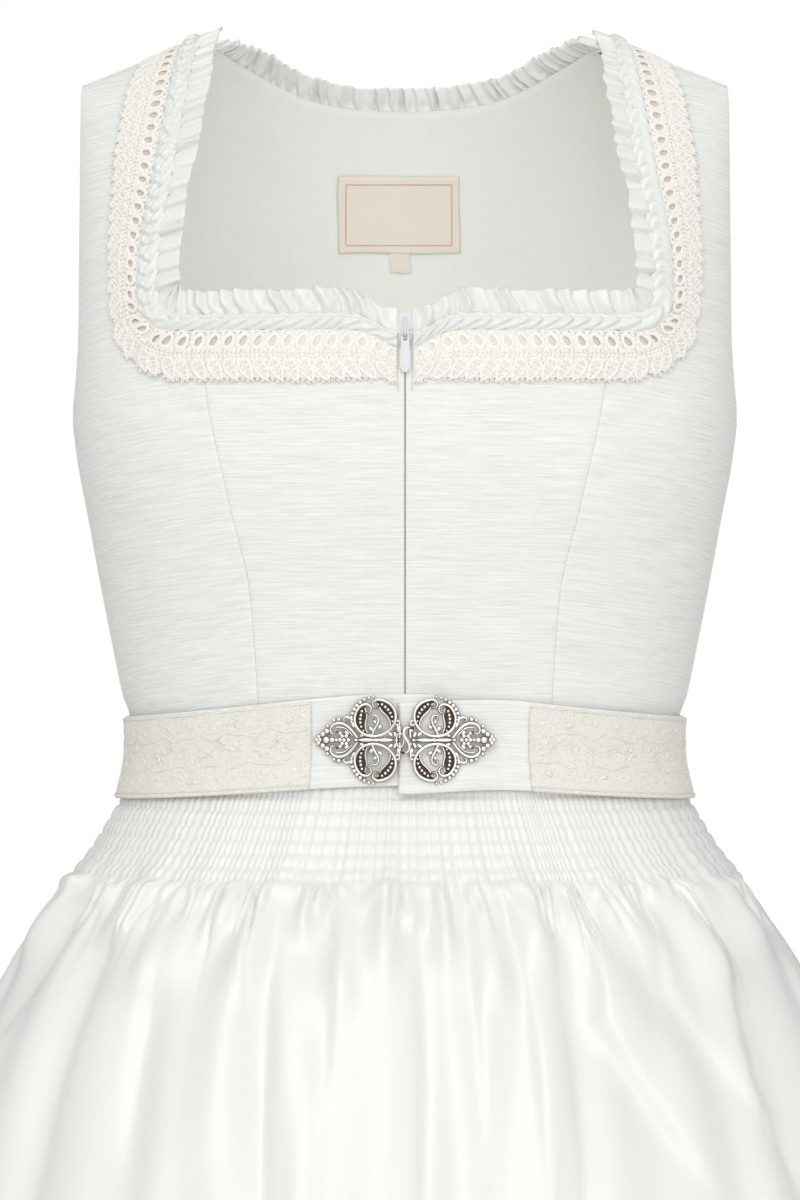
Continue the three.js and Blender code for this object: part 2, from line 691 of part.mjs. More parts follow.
/** Middle line and half height of the belt at an angle: it dips a little at the sides. */
function beltLine(angle) {
  const side = Math.sin(degToRad(angle)) ** 2;
  return { middle: BELT_MIDDLE - BELT_SIDE_DIP * side, half: BELT_HALF_HEIGHT - BELT_SIDE_TRIM * side };
}

/** How far the belt's end on top is lifted over the one below it. */
function beltLift(angle) {
  const rise = 1 - smoothstep(angle, BELT_RISE_TO, BELT_RISE_FROM);
  return rise * (BELT_WALL + TRIM_GAP);
}

/** The belt's inside at an angle and a share of its half height, down the front a little at its end. */
function beltSurface(angle, share) {
  const { middle, half } = beltLine(angle);
  const ring = rowAt(BELT_RINGS, share * BELT_HALF_HEIGHT, 'rise');
  const drop = BELT_OVER_DROP * (1 - smoothstep(angle, BELT_OVER_END, BELT_RISE_FROM));
  return ovalPoint(ring, angle, middle + half * share - drop);
}

/** How far forward the belt reaches at an angle, over its whole height, lifted by the cloth on it. */
function beltForemost(angle, lift) {
  return Math.min(...[-1, 0, 1].map((share) => liftedPoint(beltSurface, angle, share, lift).y));
}

/** Angles from one to another in equal steps. */
function steps(from, to, count) {
  return Array.from({ length: count + 1 }, (_, step) => lerp(from, to, step / count));
}

/** A band on the belt's form at the given angles. */
function beltBand(angles, share, lift, thickness) {
  const face = (out) => [-share, 0, share].map((up) => angles.map((angle) => {
    return liftedPoint(beltSurface, angle, up, beltLift(angle) + lift + out);
  }));
  return wall(face(thickness), face(0));
}

/** The apron: shirred flat under the belt, then let out into soft folds. */
function apron() {
  const columns = foldColumns(APRON_VALLEYS, COLUMNS_PER_FOLD);
  const underBelt = (column) => {
    const { middle, half } = beltLine(column.angle(SHIRRING_END));
    return middle - half + APRON_TUCK;
  };
  const rows = APRON_ROWS.map((z) => () => z);
  rows.push(underBelt);
  const lift = (column, z) => {
    const away = APRON_OFF + APRON_SPREAD * smoothstep(SHIRRING_END - z, 0, APRON_SPREAD_LENGTH);
    return away + column.fold(z);
  };
  return foldedCloth(columns, rows, lift, APRON_WALL);
}

/** The front of the skirt, under the apron: the apron's folds again, shallower and further in. */
function skirtFront() {
  const under = foldColumns(APRON_VALLEYS, SKIRT_COLUMNS_PER_FOLD);
  const side = (edge, share) => {
    const valley = edge < 0 ? APRON_VALLEYS[0] : APRON_VALLEYS.at(-1);
    return {
      angle: (z) => lerp(edge, valleyAngle(valley, z), share),
      fold: (z) => SIDE_FOLD * Math.sin(Math.PI * share) * rowAt(FOLD_DEPTHS, z).depth,
    };
  };
  const columns = [side(-90, 0), side(-90, 0.5), ...under, side(90, 0.5), side(90, 0)];
  const cover = (column, z) => {
    const apronEdge = valleyAngle(APRON_VALLEYS.at(-1), z);
    return 1 - smoothstep(Math.abs(column.angle(z)), apronEdge - COVER_FADE_FROM, COVER_FADE_TO);
  };
  const lift = (column, z) => {
    const deep = rowAt(FOLD_DEPTHS, z).depth;
    return COVERED_FOLD * column.fold(z) - (COVERED_PRESS * deep + COVERED_GAP) * cover(column, z);
  };
  const seamed = columns.map((column) => ({
    ...column,
    angle: (z) => column.angle(z) * SIDE_SEAM_SHARE,
  }));
  return foldedCloth(seamed, SKIRT_FRONT_ROWS.map((z) => () => z), lift, SKIRT_WALL);
}

/** The back of the skirt, from side seam to side seam. */
function skirtBack() {
  const columns = foldColumns(SKIRT_VALLEYS, COLUMNS_PER_FOLD);
  const lift = (column, z) => column.fold(z);
  const seamed = columns.map((column) => ({
    ...column,
    angle: (z) => 180 + (column.angle(z) - 180) * SIDE_SEAM_SHARE,
  }));
  return foldedCloth(seamed, SKIRT_BACK_ROWS.map((z) => () => z), lift, SKIRT_WALL);
}

/** A strip on the bodice's form, given by its edges, with its faces at two distances off the form. */
function strip(side, box, columns, rows, outside, inside) {
  const spots = Array.from({ length: rows + 1 }, (_, row) => {
    const z = lerp(box.top - box.height, box.top, row / rows);
    return Array.from({ length: columns + 1 }, (_, column) => {
      return spot(side, box.middle + box.width * (column / columns - 0.5), z);
    });
  });
  return panel(spots, outside, inside);
}

/** A closed geometry as a solid that can be joined and cut. */
function solid(geometry) {
  const bare = geometry.clone();
  bare.deleteAttribute('normal');
  bare.deleteAttribute('uv');
  const merged = mergeVertices(bare, 1e-4);
  const mesh = new wasm.Mesh({
    numProp: 3,
    vertProperties: new Float32Array(merged.attributes.position.array),
    triVerts: new Uint32Array(merged.index.array),
  });
  return new wasm.Manifold(mesh);
}

/** A solid back as a geometry. */
function geometryOf(body) {
  const { vertProperties, triVerts } = body.getMesh();
  const geometry = new THREE.BufferGeometry();
  geometry.setAttribute('position', new THREE.Float32BufferAttribute(vertProperties, 3));
  geometry.setIndex(new THREE.Uint32BufferAttribute(triVerts, 1));
  geometry.computeVertexNormals();
  return geometry;
}

/** A box by its size and middle. */
function block(width, height, depth, x, y, z) {
  return new THREE.BoxGeometry(width, height, depth).translate(x, y, z);
}

/** Joins closed geometries into one body. */
function joined(...pieces) {
  return geometryOf(pieces.map(solid).reduce((whole, piece) => whole.add(piece)));
}

/** A plate cut from a shape, its back at z = 0. */
function plate(shape, thickness, curveSegments = 10) {
  return new THREE.ExtrudeGeometry(shape, { depth: thickness, bevelEnabled: false, curveSegments });
}

/** The slider: a plate in front of the zip, a block that holds the chain's top, and the pull's bridge. */
function zipSlider() {
  const front = TRIM_GAP + SLIDER_WALL;
  const height = SLIDER_BELOW + SLIDER_ABOVE;
  const middle = (SLIDER_ABOVE - SLIDER_BELOW) / 2;
  const face = block(SLIDER_WIDTH, height, SLIDER_WALL, 0, middle, TRIM_GAP + SLIDER_WALL / 2);
  const holderDepth = HOLDER.front - HOLDER.depth / 2;
  const holder = block(HOLDER.width, HOLDER.height, HOLDER.depth, 0, HOLDER.middle, holderDepth);
  const foot = front - BRIDGE_SUNK;
  const over = front + BRIDGE_HEIGHT;
  const under = over - BRIDGE_WALL;
  const arch = new THREE.Shape();
  arch.moveTo(-3.6, foot);
  arch.lineTo(-3.6, over - 1.4);
  arch.quadraticCurveTo(-3.4, over, -1.6, over);
  arch.lineTo(2.4, over);
  arch.quadraticCurveTo(5.4, over, 6.4, foot);
  arch.lineTo(5.2, foot);
  arch.quadraticCurveTo(4.8, under, 2.4, under);
  arch.lineTo(-1.6, under);
  arch.quadraticCurveTo(-2.6, under, -2.6, foot);
  const bridge = plate(arch, BRIDGE_WIDTH, 4);
  const across = new THREE.Vector3(1, 0, 0);
  const upwards = new THREE.Vector3(0, 1, 0);
  const outwards = new THREE.Vector3(0, 0, 1);
  bridge.applyMatrix4(new THREE.Matrix4().makeBasis(upwards, outwards, across));
  bridge.translate(-BRIDGE_WIDTH / 2, 0, 0);
  return joined(face, holder, bridge);
}

/** The pull tab, its hinge bar on the X axis: an eye round the bridge's foot, then a drop-shaped tab. */
function zipPull() {
  const half = PULL_WIDTH / 2;
  const tip = 1.2 - PULL_LENGTH;
  const belly = tip + 3.2;
  const outline = new THREE.Shape();
  outline.moveTo(-PULL_NECK, 0.6);
  outline.lineTo(PULL_NECK, 0.6);
  outline.lineTo(PULL_NECK, -5);
  outline.quadraticCurveTo(half, -9, half, belly);
  outline.quadraticCurveTo(half, tip, 0, tip);
  outline.quadraticCurveTo(-half, tip, -half, belly);
  outline.quadraticCurveTo(-half, -9, -PULL_NECK, -5);
  outline.closePath();
  const eye = new THREE.Path();
  eye.moveTo(-1.15, -0.5);
  eye.lineTo(-1.15, -4.6);
  eye.lineTo(1.15, -4.6);
  eye.lineTo(1.15, -0.5);
  eye.closePath();
  outline.holes.push(eye);
  return plate(outline, PULL_WALL, 6).translate(0, 0, -PULL_WALL / 2);
}

/** A flat ring, its back at z = 0. */
function ringPlate(outerRadius, innerRadius, thickness, x, y, segments = 24) {
  const profile = [
    new THREE.Vector2(innerRadius, 0),
    new THREE.Vector2(outerRadius, 0),
    new THREE.Vector2(outerRadius - 0.5, thickness),
    new THREE.Vector2(innerRadius + 0.5, thickness),
    new THREE.Vector2(innerRadius, 0),
  ];
  return new THREE.LatheGeometry(profile, segments).rotateX(QUARTER_TURN).translate(x, y, 0);
}

/** A low domed stud, its back at z = 0. */
function stud(radius, height, x, y, segments = 12) {
  const profile = [
    new THREE.Vector2(0, 0),
    new THREE.Vector2(radius, 0),
    new THREE.Vector2(radius * 0.8, height * 0.7),
    new THREE.Vector2(0, height),
  ];
  return new THREE.LatheGeometry(profile, segments).rotateX(QUARTER_TURN).translate(x, y, 0);
}

/**
 * Half a clasp, flat on the X-Y plane with its hook end at the origin and its tip along +X: a scroll ring
 * with an eye above and below a stem, a leaf-shaped plate, a flower and a beaded tip.
 */
function claspHalf() {
  const parts = [];
  for (const side of [1, -1]) {
    const y = side * SCROLL_RISE;
    parts.push(ringPlate(SCROLL_RADIUS, SCROLL_RADIUS - SCROLL_BAND, CLASP_WALL, SCROLL_X, y));
    parts.push(ringPlate(EYE_RADIUS, EYE_RADIUS - 1.6, CLASP_WALL, SCROLL_X + 3.2, y - side * 1.6, 16));
    parts.push(stud(BOSS_RADIUS, CLASP_WALL + 1, SCROLL_X - 8.4, y + side * 5.6));
    parts.push(stud(LEAF_SIZE * 0.62, CLASP_WALL + 0.4, SCROLL_X + 14, side * 5.2));
    parts.push(block(5.4, 2.4, CLASP_WALL, SCROLL_X + 5.6, y - side * 5.4, CLASP_WALL / 2));
  }
  const stem = CLASP_HALF_LENGTH - 3;
  parts.push(block(stem, STEM_HALF_WIDTH * 2, CLASP_WALL, 1 + stem / 2, 0, CLASP_WALL / 2));
  parts.push(stud(LEAF_SIZE, CLASP_WALL + 0.6, SCROLL_X + 12.6, 0));
  parts.push(stud(3.6, CLASP_WALL + 1, SCROLL_X + 20.6, 0));
  parts.push(stud(2.2, CLASP_WALL + 0.6, CLASP_HALF_LENGTH - 2.4, 0, 10));
  parts.push(stud(3.4, CLASP_WALL + 0.8, 5.2, 0));
  const upright = (geometry) => {
    const { z } = new THREE.Box3().setFromBufferAttribute(geometry.attributes.position).min;
    return geometry.translate(0, 0, -z);
  };
  return joined(...parts.map(upright));
}

const FABRIC = { roughness: 0.85, metalness: 0 };
const slub = new THREE.MeshStandardMaterial({ color: '#eeefec', ...FABRIC });
const lining = new THREE.MeshStandardMaterial({ color: '#e2e3dd', ...FABRIC });
const satin = new THREE.MeshStandardMaterial({ color: '#f3f4ef', roughness: 0.45, metalness: 0 });
const lace = new THREE.MeshStandardMaterial({ color: '#eeebe3', ...FABRIC });
const label = new THREE.MeshStandardMaterial({ color: '#e6ddd2', roughness: 0.7, metalness: 0 });
const silver = new THREE.MeshStandardMaterial({ color: '#b9b4aa', roughness: 0.35, metalness: 1 });
const enamel = new THREE.MeshStandardMaterial({ color: '#ecece9', roughness: 0.4, metalness: 0 });

/** A named piece. */
function piece(name, geometry, material) {
  const mesh = new THREE.Mesh(geometry, material);
  mesh.name = name;
  return mesh;
}

const dirndl = new THREE.Group();
const bodice = new THREE.Group();
const trims = new THREE.Group();
const belt = new THREE.Group();
const skirts = new THREE.Group();

const backCentre = panel(backSpots(BACK_SEAM, 6, SEAM_INSET), 0, -BODICE_WALL);
const liningOut = -BODICE_WALL - LINING_GAP;
const liningIn = liningOut - LINING_WALL;
bodice.add(piece('back_centre', backCentre, slub));
bodice.add(piece('back_lining', panel(backSpots(LINING_EDGE, 6, 0), liningOut, liningIn), lining));
const labelOut = liningIn - LABEL_GAP;
const labelIn = labelOut - LABEL_WALL;
bodice.add(piece('label', strip('back', LABEL, 4, 1, labelOut, labelIn), label));
bodice.add(piece('size_tab', strip('back', SIZE_TAB, 2, 1, labelOut, labelIn), label));

const halves = [
  { side: 'left', turned: (spots) => spots },
  { side: 'right', turned: mirrored },
];
for (const { side, turned } of halves) {
  const frontCentre = panel(turned(frontCentreSpots()), 0, -BODICE_WALL);
  const frontSide = panel(turned(sideSpots('front', FRONT_SIDE_ROWS, 6, 11)), 0, -BODICE_WALL);
  const backSide = panel(turned(sideSpots('back', BACK_SIDE_ROWS, 5, 15)), 0, -BODICE_WALL);
  const laceSpots = trimSpots(() => LACE_FROM, (station) => station.lace, 2);
  const braidSpots = trimSpots(() => BRAID_FROM, () => BRAID_TO, 1);
  const laceGeometry = panel(turned(laceSpots), LACE_GAP + LACE_WALL, LACE_GAP);
  const braidGeometry = panel(turned(braidSpots), BRAID_GAP + BRAID_WALL, BRAID_GAP);
  bodice.add(piece(`front_centre_${side}`, frontCentre, slub));
  bodice.add(piece(`front_side_${side}`, frontSide, slub));
  bodice.add(piece(`back_side_${side}`, backSide, slub));
  trims.add(piece(`neck_lace_${side}`, laceGeometry, lace));
  trims.add(piece(`neck_braid_${side}`, braidGeometry, satin));
  const neckFrill = frontFrill();
  if (side === 'right') {
    neckFrill.scale(-1, 1, 1);
  }
  trims.add(piece(`neck_frill_${side}`, facingOut(neckFrill), satin));
}
trims.add(piece('neck_frill_back', backFrill(), satin));

const beltFront = BELT_RINGS[1].front;
const laceFrom = radToDeg(Math.asin(BELT_LACE_FROM_X / beltFront));
const laceTo = -360 + radToDeg(Math.asin(BELT_LACE_TO_X / beltFront));
const laceAngles = steps(laceFrom, laceTo, BELT_LACE_COLUMNS);
const beltAngles = [
  ...steps(BELT_UNDER_END, laceFrom, BELT_END_COLUMNS).slice(0, -1),
  ...laceAngles,
  ...steps(laceTo, BELT_OVER_END, BELT_END_COLUMNS).slice(1),
];
belt.add(piece('belt_band', beltBand(beltAngles, 1, 0, BELT_WALL), slub));
belt.add(piece('belt_lace', beltBand(laceAngles, BELT_LACE_SHARE, BELT_WALL + TRIM_GAP, LACE_WALL), lace));

skirts.add(piece('skirt_front', skirtFront(), slub));
skirts.add(piece('skirt_back', skirtBack(), slub));
skirts.add(piece('apron', apron(), satin));

const chainOut = -BODICE_WALL - CHAIN_GAP;
bodice.add(piece('zip_chain', panel(zipChainSpots(), chainOut, chainOut - ZIP_CHAIN_WALL), enamel));

const zip = new THREE.Group();
const zipTop = onBodice(spot('front', 0, NECK_FRONT - NECK_DIP), 0);
const zipBelow = onBodice(spot('front', 0, NECK_FRONT - NECK_DIP - PULL_LENGTH), 0);
zip.position.copy(zipTop);
zip.rotation.x = QUARTER_TURN - Math.atan2(zipTop.y - zipBelow.y, zipTop.z - zipBelow.z);
const pull = piece('zip_pull', zipPull(), enamel);
const pullOut = TRIM_GAP + SLIDER_WALL + SEAM_GAP + PULL_PIN / 2 + PULL_ROOM;
pull.position.set(0, -PULL_DROP, pullOut);
zip.add(piece('zip_slider', zipSlider(), enamel), pull);

for (const { side, turned } of halves) {
  const sign = side === 'left' ? 1 : -1;
  const half = claspHalf();
  if (sign < 0) {
    half.scale(-1, 1, 1);
  }
  const clasp = piece(`clasp_${side}`, facingOut(half), silver);
  const layers = BELT_WALL + (sign > 0 ? BELT_WALL + TRIM_GAP : 0);
  const near = beltForemost(0, 2 * BELT_WALL + TRIM_GAP);
  const tipAngle = radToDeg(Math.asin(CLASP_HALF_LENGTH / beltFront));
  const tip = beltForemost(sign * tipAngle, layers);
  clasp.rotation.set(QUARTER_TURN, 0, sign * Math.atan2(tip - near, CLASP_HALF_LENGTH), 'ZXY');
  clasp.position.set(sign * HALF_SPACE, near - CLASP_STAND_OFF, BELT_MIDDLE);
  belt.add(clasp);
}

dirndl.add(bodice, trims, belt, skirts, zip);
dirndl.position.z = -REST_HEIGHT;

export default new THREE.Group().add(dirndl);
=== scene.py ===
"""A bridal dirndl, filled out as it is worn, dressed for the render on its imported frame.

Every size is in millimetres, with heights measured from the middle of the belt at the front and angles in
degrees from the middle of the front towards the wearer's left. placed() turns such points into the frame's
metres, whose origin is where the shoulders carry the dress. The cloth is thin shells on the same forms as
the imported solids; the gathers, trims, lace and cast clasp are modelled on them.
"""
from __future__ import annotations

import logging
import math
from contextlib import contextmanager
from dataclasses import dataclass
from enum import Enum
from typing import Any, Callable, Iterator, Sequence

import bpy
import numpy as np
from mathutils import Matrix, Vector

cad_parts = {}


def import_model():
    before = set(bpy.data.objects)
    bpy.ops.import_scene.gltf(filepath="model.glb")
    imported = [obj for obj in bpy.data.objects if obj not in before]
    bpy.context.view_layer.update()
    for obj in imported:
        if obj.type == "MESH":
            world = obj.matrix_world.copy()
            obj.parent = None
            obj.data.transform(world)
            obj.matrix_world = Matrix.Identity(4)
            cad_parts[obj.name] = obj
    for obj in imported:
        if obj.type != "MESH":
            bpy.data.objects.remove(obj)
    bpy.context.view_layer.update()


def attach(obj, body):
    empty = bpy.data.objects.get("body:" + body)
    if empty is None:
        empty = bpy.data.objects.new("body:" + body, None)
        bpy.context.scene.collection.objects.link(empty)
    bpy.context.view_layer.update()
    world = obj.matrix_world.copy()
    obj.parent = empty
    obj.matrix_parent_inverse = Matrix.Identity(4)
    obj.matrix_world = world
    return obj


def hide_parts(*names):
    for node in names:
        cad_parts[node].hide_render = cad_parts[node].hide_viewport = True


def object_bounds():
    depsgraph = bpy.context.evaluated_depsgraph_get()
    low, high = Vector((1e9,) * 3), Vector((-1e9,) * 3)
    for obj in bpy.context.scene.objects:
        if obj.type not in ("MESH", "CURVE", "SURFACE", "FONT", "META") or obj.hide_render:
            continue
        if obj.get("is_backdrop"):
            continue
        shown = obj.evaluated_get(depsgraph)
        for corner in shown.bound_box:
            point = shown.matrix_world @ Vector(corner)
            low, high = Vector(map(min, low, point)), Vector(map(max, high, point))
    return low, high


LOG = logging.getLogger("dirndl")
Array = np.ndarray
Piece = bpy.types.Object
Tree = bpy.types.NodeTree
Socket = bpy.types.NodeSocket

MM = 0.001
REST_HEIGHT = 332.5
BODY = "dress"
PULL_BODY = "zip_pull"
# No cut is taken as having an area under this share of its width times its length.
LEAST_SHARE = 0.31
# Distances along a front neck trim between which it passes from the front on to the strap.
STRAP_FROM = (96.0, 126.0)


# ---- numbers and tables


def smoothstep(value: Array | float, low: float, high: float) -> Array:
    """Rises smoothly from 0 to 1.

    Args:
        value: Where to read the step.
        low: Where it starts to rise.
        high: Where it has risen.

    Returns:
        The step's value, from 0 to 1.
    """
    share = np.clip((np.asarray(value, dtype=float) - low) / (high - low), 0.0, 1.0)
    return share * share * (3.0 - 2.0 * share)


def mix(start: Array | float, end: Array | float, share: Array | float) -> Array:
    """The value at a share of the way from start to end."""
    return start + (end - start) * share


def bell(distance: Array, width: float) -> Array:
    """A soft hump of height 1 whose sides have fallen away at about twice its width."""
    return np.exp(-((distance / width) ** 2))


def placed(points: Array) -> Array:
    """Turns millimetres above the belt into the frame's metres."""
    return (np.asarray(points, dtype=float) - (0.0, 0.0, REST_HEIGHT)) * MM


@dataclass(frozen=True)
class Table:
    """A short table with named columns, read smoothly from row to row."""

    columns: tuple[str, ...]
    rows: tuple[tuple[float, ...], ...]

    @property
    def last(self) -> float:
        """Number of the last row."""
        return len(self.rows) - 1.0

    def column(self, name: str) -> Array:
        """One column as numbers."""
        return np.array([row[self.columns.index(name)] for row in self.rows], dtype=float)

    def read(self, value: Array | float, key: str | None = None) -> dict[str, Array]:
        """Reads every column at values of the key column.

        Args:
            value: Where to read.
            key: The column that value is in, or None for the row's number.

        Returns:
            The columns' values by name.
        """
        grid = np.array(self.rows, dtype=float)
        keys = np.arange(len(grid), dtype=float) if key is None else grid[:, self.columns.index(key)]
        last = len(grid) - 1
        place = np.clip(np.asarray(value, dtype=float), keys[0], keys[last])
        low = np.clip(np.searchsorted(keys, place, side="left") - 1, 0, last - 1)
        before, after = np.maximum(low - 1, 0), np.minimum(low + 2, last)
        span = keys[low + 1] - keys[low]
        t = (place - keys[low]) / span
        rise, leaving, arriving = 3 * t**2 - 2 * t**3, t * (1 - t) ** 2, t * t * (t - 1)
        result = {}
        for number, name in enumerate(self.columns):
            values = grid[:, number]
            leave = (values[low + 1] - values[before]) / (keys[low + 1] - keys[before]) * span
            arrive = (values[after] - values[low]) / (keys[after] - keys[low]) * span
            result[name] = mix(values[low], values[low + 1], rise) + leave * leaving + arrive * arriving
        return result


def oval(ring: dict[str, Array], angle: Array, z: Array) -> Array:
    """Points of a rounded oval at angles and heights.

    Args:
        ring: Half width, depth to the front and back, and power of the oval at each point.
        angle: Angles in degrees from the front.
        z: Heights, as they go into the points.

    Returns:
        The points.
    """
    turn = np.radians(angle)
    depth = np.where(np.cos(turn) > 0, ring["front"], ring["back"])
    across = np.abs(np.sin(turn)) / ring["half_width"]
    along = np.abs(np.cos(turn)) / depth
    reach = (across ** ring["power"] + along ** ring["power"]) ** (-1 / ring["power"])
    return np.stack(np.broadcast_arrays(reach * np.sin(turn), -reach * np.cos(turn), z), axis=-1)


def lifted(surface: Callable[[Array, Array], Array], u: Array, v: Array, out: Array | float) -> Array:
    """Points lifted off a surface along its outward normal.

    Args:
        surface: Gives points from the two coordinates.
        u: Coordinate that runs to the left of the wearer along the front.
        v: Coordinate that runs up.
        out: How far the points are lifted, in millimetres.

    Returns:
        The lifted points.
    """
    step = 1e-3
    across = surface(u + step, v) - surface(u - step, v)
    rise = surface(u, v + step) - surface(u, v - step)
    normal = np.cross(across, rise)
    normal /= np.maximum(np.linalg.norm(normal, axis=-1, keepdims=True), 1e-12)
    return surface(u, v) + normal * np.asarray(out)[..., None]


def running(gaps: Array) -> Array:
    """How far along each mark lies, from the gaps between the marks."""
    return np.concatenate([[0.0], np.cumsum(gaps)])


def path_length(points: Array) -> Array:
    """How far along its path each point lies."""
    return running(np.linalg.norm(np.diff(points, axis=0), axis=-1))


def even_turns(count: int) -> Array:
    """Even angles once round, in radians."""
    return np.linspace(0.0, 2 * math.pi, count + 1)[:-1]


def shaken(count: int, amount: float, seed: int) -> Array:
    """Small uneven numbers, the same each time, for spacing and depths made by hand."""
    return np.random.default_rng(seed).uniform(-amount, amount, count)


def uneven_phase(length: float, pitch: float, seed: int, amount: float = 0.34) -> Callable[[Array], Array]:
    """A count of repeats along a length whose spacing varies as hand work does.

    Args:
        length: The length in millimetres.
        pitch: The mean distance of the repeats.
        seed: Picks the unevenness.
        amount: How uneven the spacing is, from 0 to 1.

    Returns:
        A function from distance along the length to the number of repeats so far.
    """
    count = max(int(round(length / pitch)), 2)
    widths = 1.0 + shaken(count, amount, seed)
    marks = running(widths) * (length / widths.sum())
    return lambda distance: np.interp(distance, marks, np.arange(count + 1.0))


# ---- the garment's forms


class Side(Enum):
    """Which half of the dress, as its wearer names it."""

    LEFT = "left"
    RIGHT = "right"

    @property
    def sign(self) -> int:
        """1 for the wearer's left, -1 for the right."""
        return 1 if self is Side.LEFT else -1


class Face(Enum):
    """The front or the back of the bodice."""

    FRONT = "front"
    BACK = "back"


@dataclass(frozen=True)
class BodiceForm:
    """The outside of the bodice, as it fills out over a general figure."""

    waist_seam: float = -8.0
    underarm: float = 155.0
    shoulder_peak: float = 386.0
    shoulder_fall: float = 0.4
    front_profile: float = 1.8
    back_profile: float = 2.6
    neck_front: float = 206.0
    neck_dip: float = 9.5
    rings: Table = Table(
        ("z", "half_width", "front", "back", "power"),
        (
            (-8, 134.4, 88, 74, 2.25), (11, 135.5, 88.8, 74.8, 2.25), (21, 139, 90.8, 76.4, 2.27),
            (48, 144.6, 95, 78.5, 2.35), (78, 150.5, 100, 80.5, 2.5), (108, 156, 105.5, 82.5, 2.65),
            (134, 161, 108.5, 84, 2.8), (155, 163.7, 108, 85, 2.9),
        ),
    )

    def shoulder_height(self, x: Array) -> Array:
        """Height of the shoulder line at a distance from the middle."""
        return self.shoulder_peak - self.shoulder_fall * np.abs(x)

    def point(self, angle: Array, lift: Array) -> Array:
        """Points of the form.

        Args:
            angle: Angles in degrees from the front.
            lift: How far up: 0 at the waist, 1 at the underarm and 2 on the shoulder line.

        Returns:
            The points.
        """
        angle, lift = np.broadcast_arrays(np.asarray(angle, float), np.asarray(lift, float))
        z = mix(self.waist_seam, self.underarm, np.clip(lift, 0.0, 1.0))
        low = oval(self.rings.read(z, "z"), angle, z)
        foot = oval(self.rings.read(np.full(z.shape, self.underarm), "z"), angle, z)
        power = np.where(foot[..., 1] < 0, self.front_profile, self.back_profile)
        turn = (np.clip(lift, 1.0, 2.0) - 1.0) * math.pi / 2
        climb = np.sin(turn) ** (2 / power)
        top = mix(self.underarm, self.shoulder_height(foot[..., 0]), climb)
        inward = np.maximum(np.cos(turn), 0.0) ** (2 / power)
        high = np.stack([foot[..., 0], foot[..., 1] * inward, top], axis=-1)
        return np.where((lift <= 1.0)[..., None], low, high)

    def lift_at(self, z: Array, x: Array, face: Face) -> Array:
        """Lift of a height.

        Args:
            z: Heights.
            x: Distances from the middle at which the shoulder line is met.
            face: Front or back.

        Returns:
            The lifts.
        """
        power = self.front_profile if face is Face.FRONT else self.back_profile
        share = np.clip((z - self.underarm) / (self.shoulder_height(x) - self.underarm), 0.0, 1.0)
        below = (z - self.waist_seam) / (self.underarm - self.waist_seam)
        above = 1.0 + np.arcsin(share ** (power / 2)) / (math.pi / 2)
        return np.where(z <= self.underarm, below, above)

    def spot(self, face: Face, x: Array, z: Array) -> tuple[Array, Array]:
        """Angle and lift of the spot at a distance from the middle and a height.

        Args:
            face: Front or back.
            x: Distances from the middle.
            z: Heights.

        Returns:
            The angles and the lifts.
        """
        x, z = np.broadcast_arrays(np.asarray(x, float), np.asarray(z, float))
        ring = self.rings.read(z, "z")
        depth = ring["front"] if face is Face.FRONT else ring["back"]
        share = np.minimum(np.abs(x) / ring["half_width"], 1.0)
        y = depth * (1.0 - share ** ring["power"]) ** (1.0 / ring["power"])
        angle = np.degrees(np.arctan2(x, y))
        if face is Face.BACK:
            angle = 180.0 - angle
        return angle, self.lift_at(z, x, face)

    def spot_at_angle(self, face: Face, angle: Array, z: Array) -> tuple[Array, Array]:
        """Angle and lift of the spot at an angle and height, as on the side seam and the armhole."""
        angle, z = np.broadcast_arrays(np.asarray(angle, float), np.asarray(z, float))
        foot = oval(self.rings.read(np.full(z.shape, self.underarm), "z"), angle, z)
        return angle, self.lift_at(z, foot[..., 0], face)

    def on(self, angle: Array, lift: Array, out: Array | float) -> Array:
        """Points at a distance off the form.

        Args:
            angle: Angles in degrees from the front.
            lift: How far up, as point() takes it.
            out: Distances off the form.

        Returns:
            The points.
        """
        held = np.clip(lift, 1.2e-3, 2.0 - 1.2e-3)
        offset = lifted(self.point, angle, held, out) - self.point(angle, held)
        return self.point(angle, lift) + offset

    def at(self, face: Face, x: Array, z: Array, out: Array | float) -> Array:
        """Points at a distance off the form, by distance from the middle and height."""
        angle, lift = self.spot(face, x, z)
        return self.on(angle, lift, out)


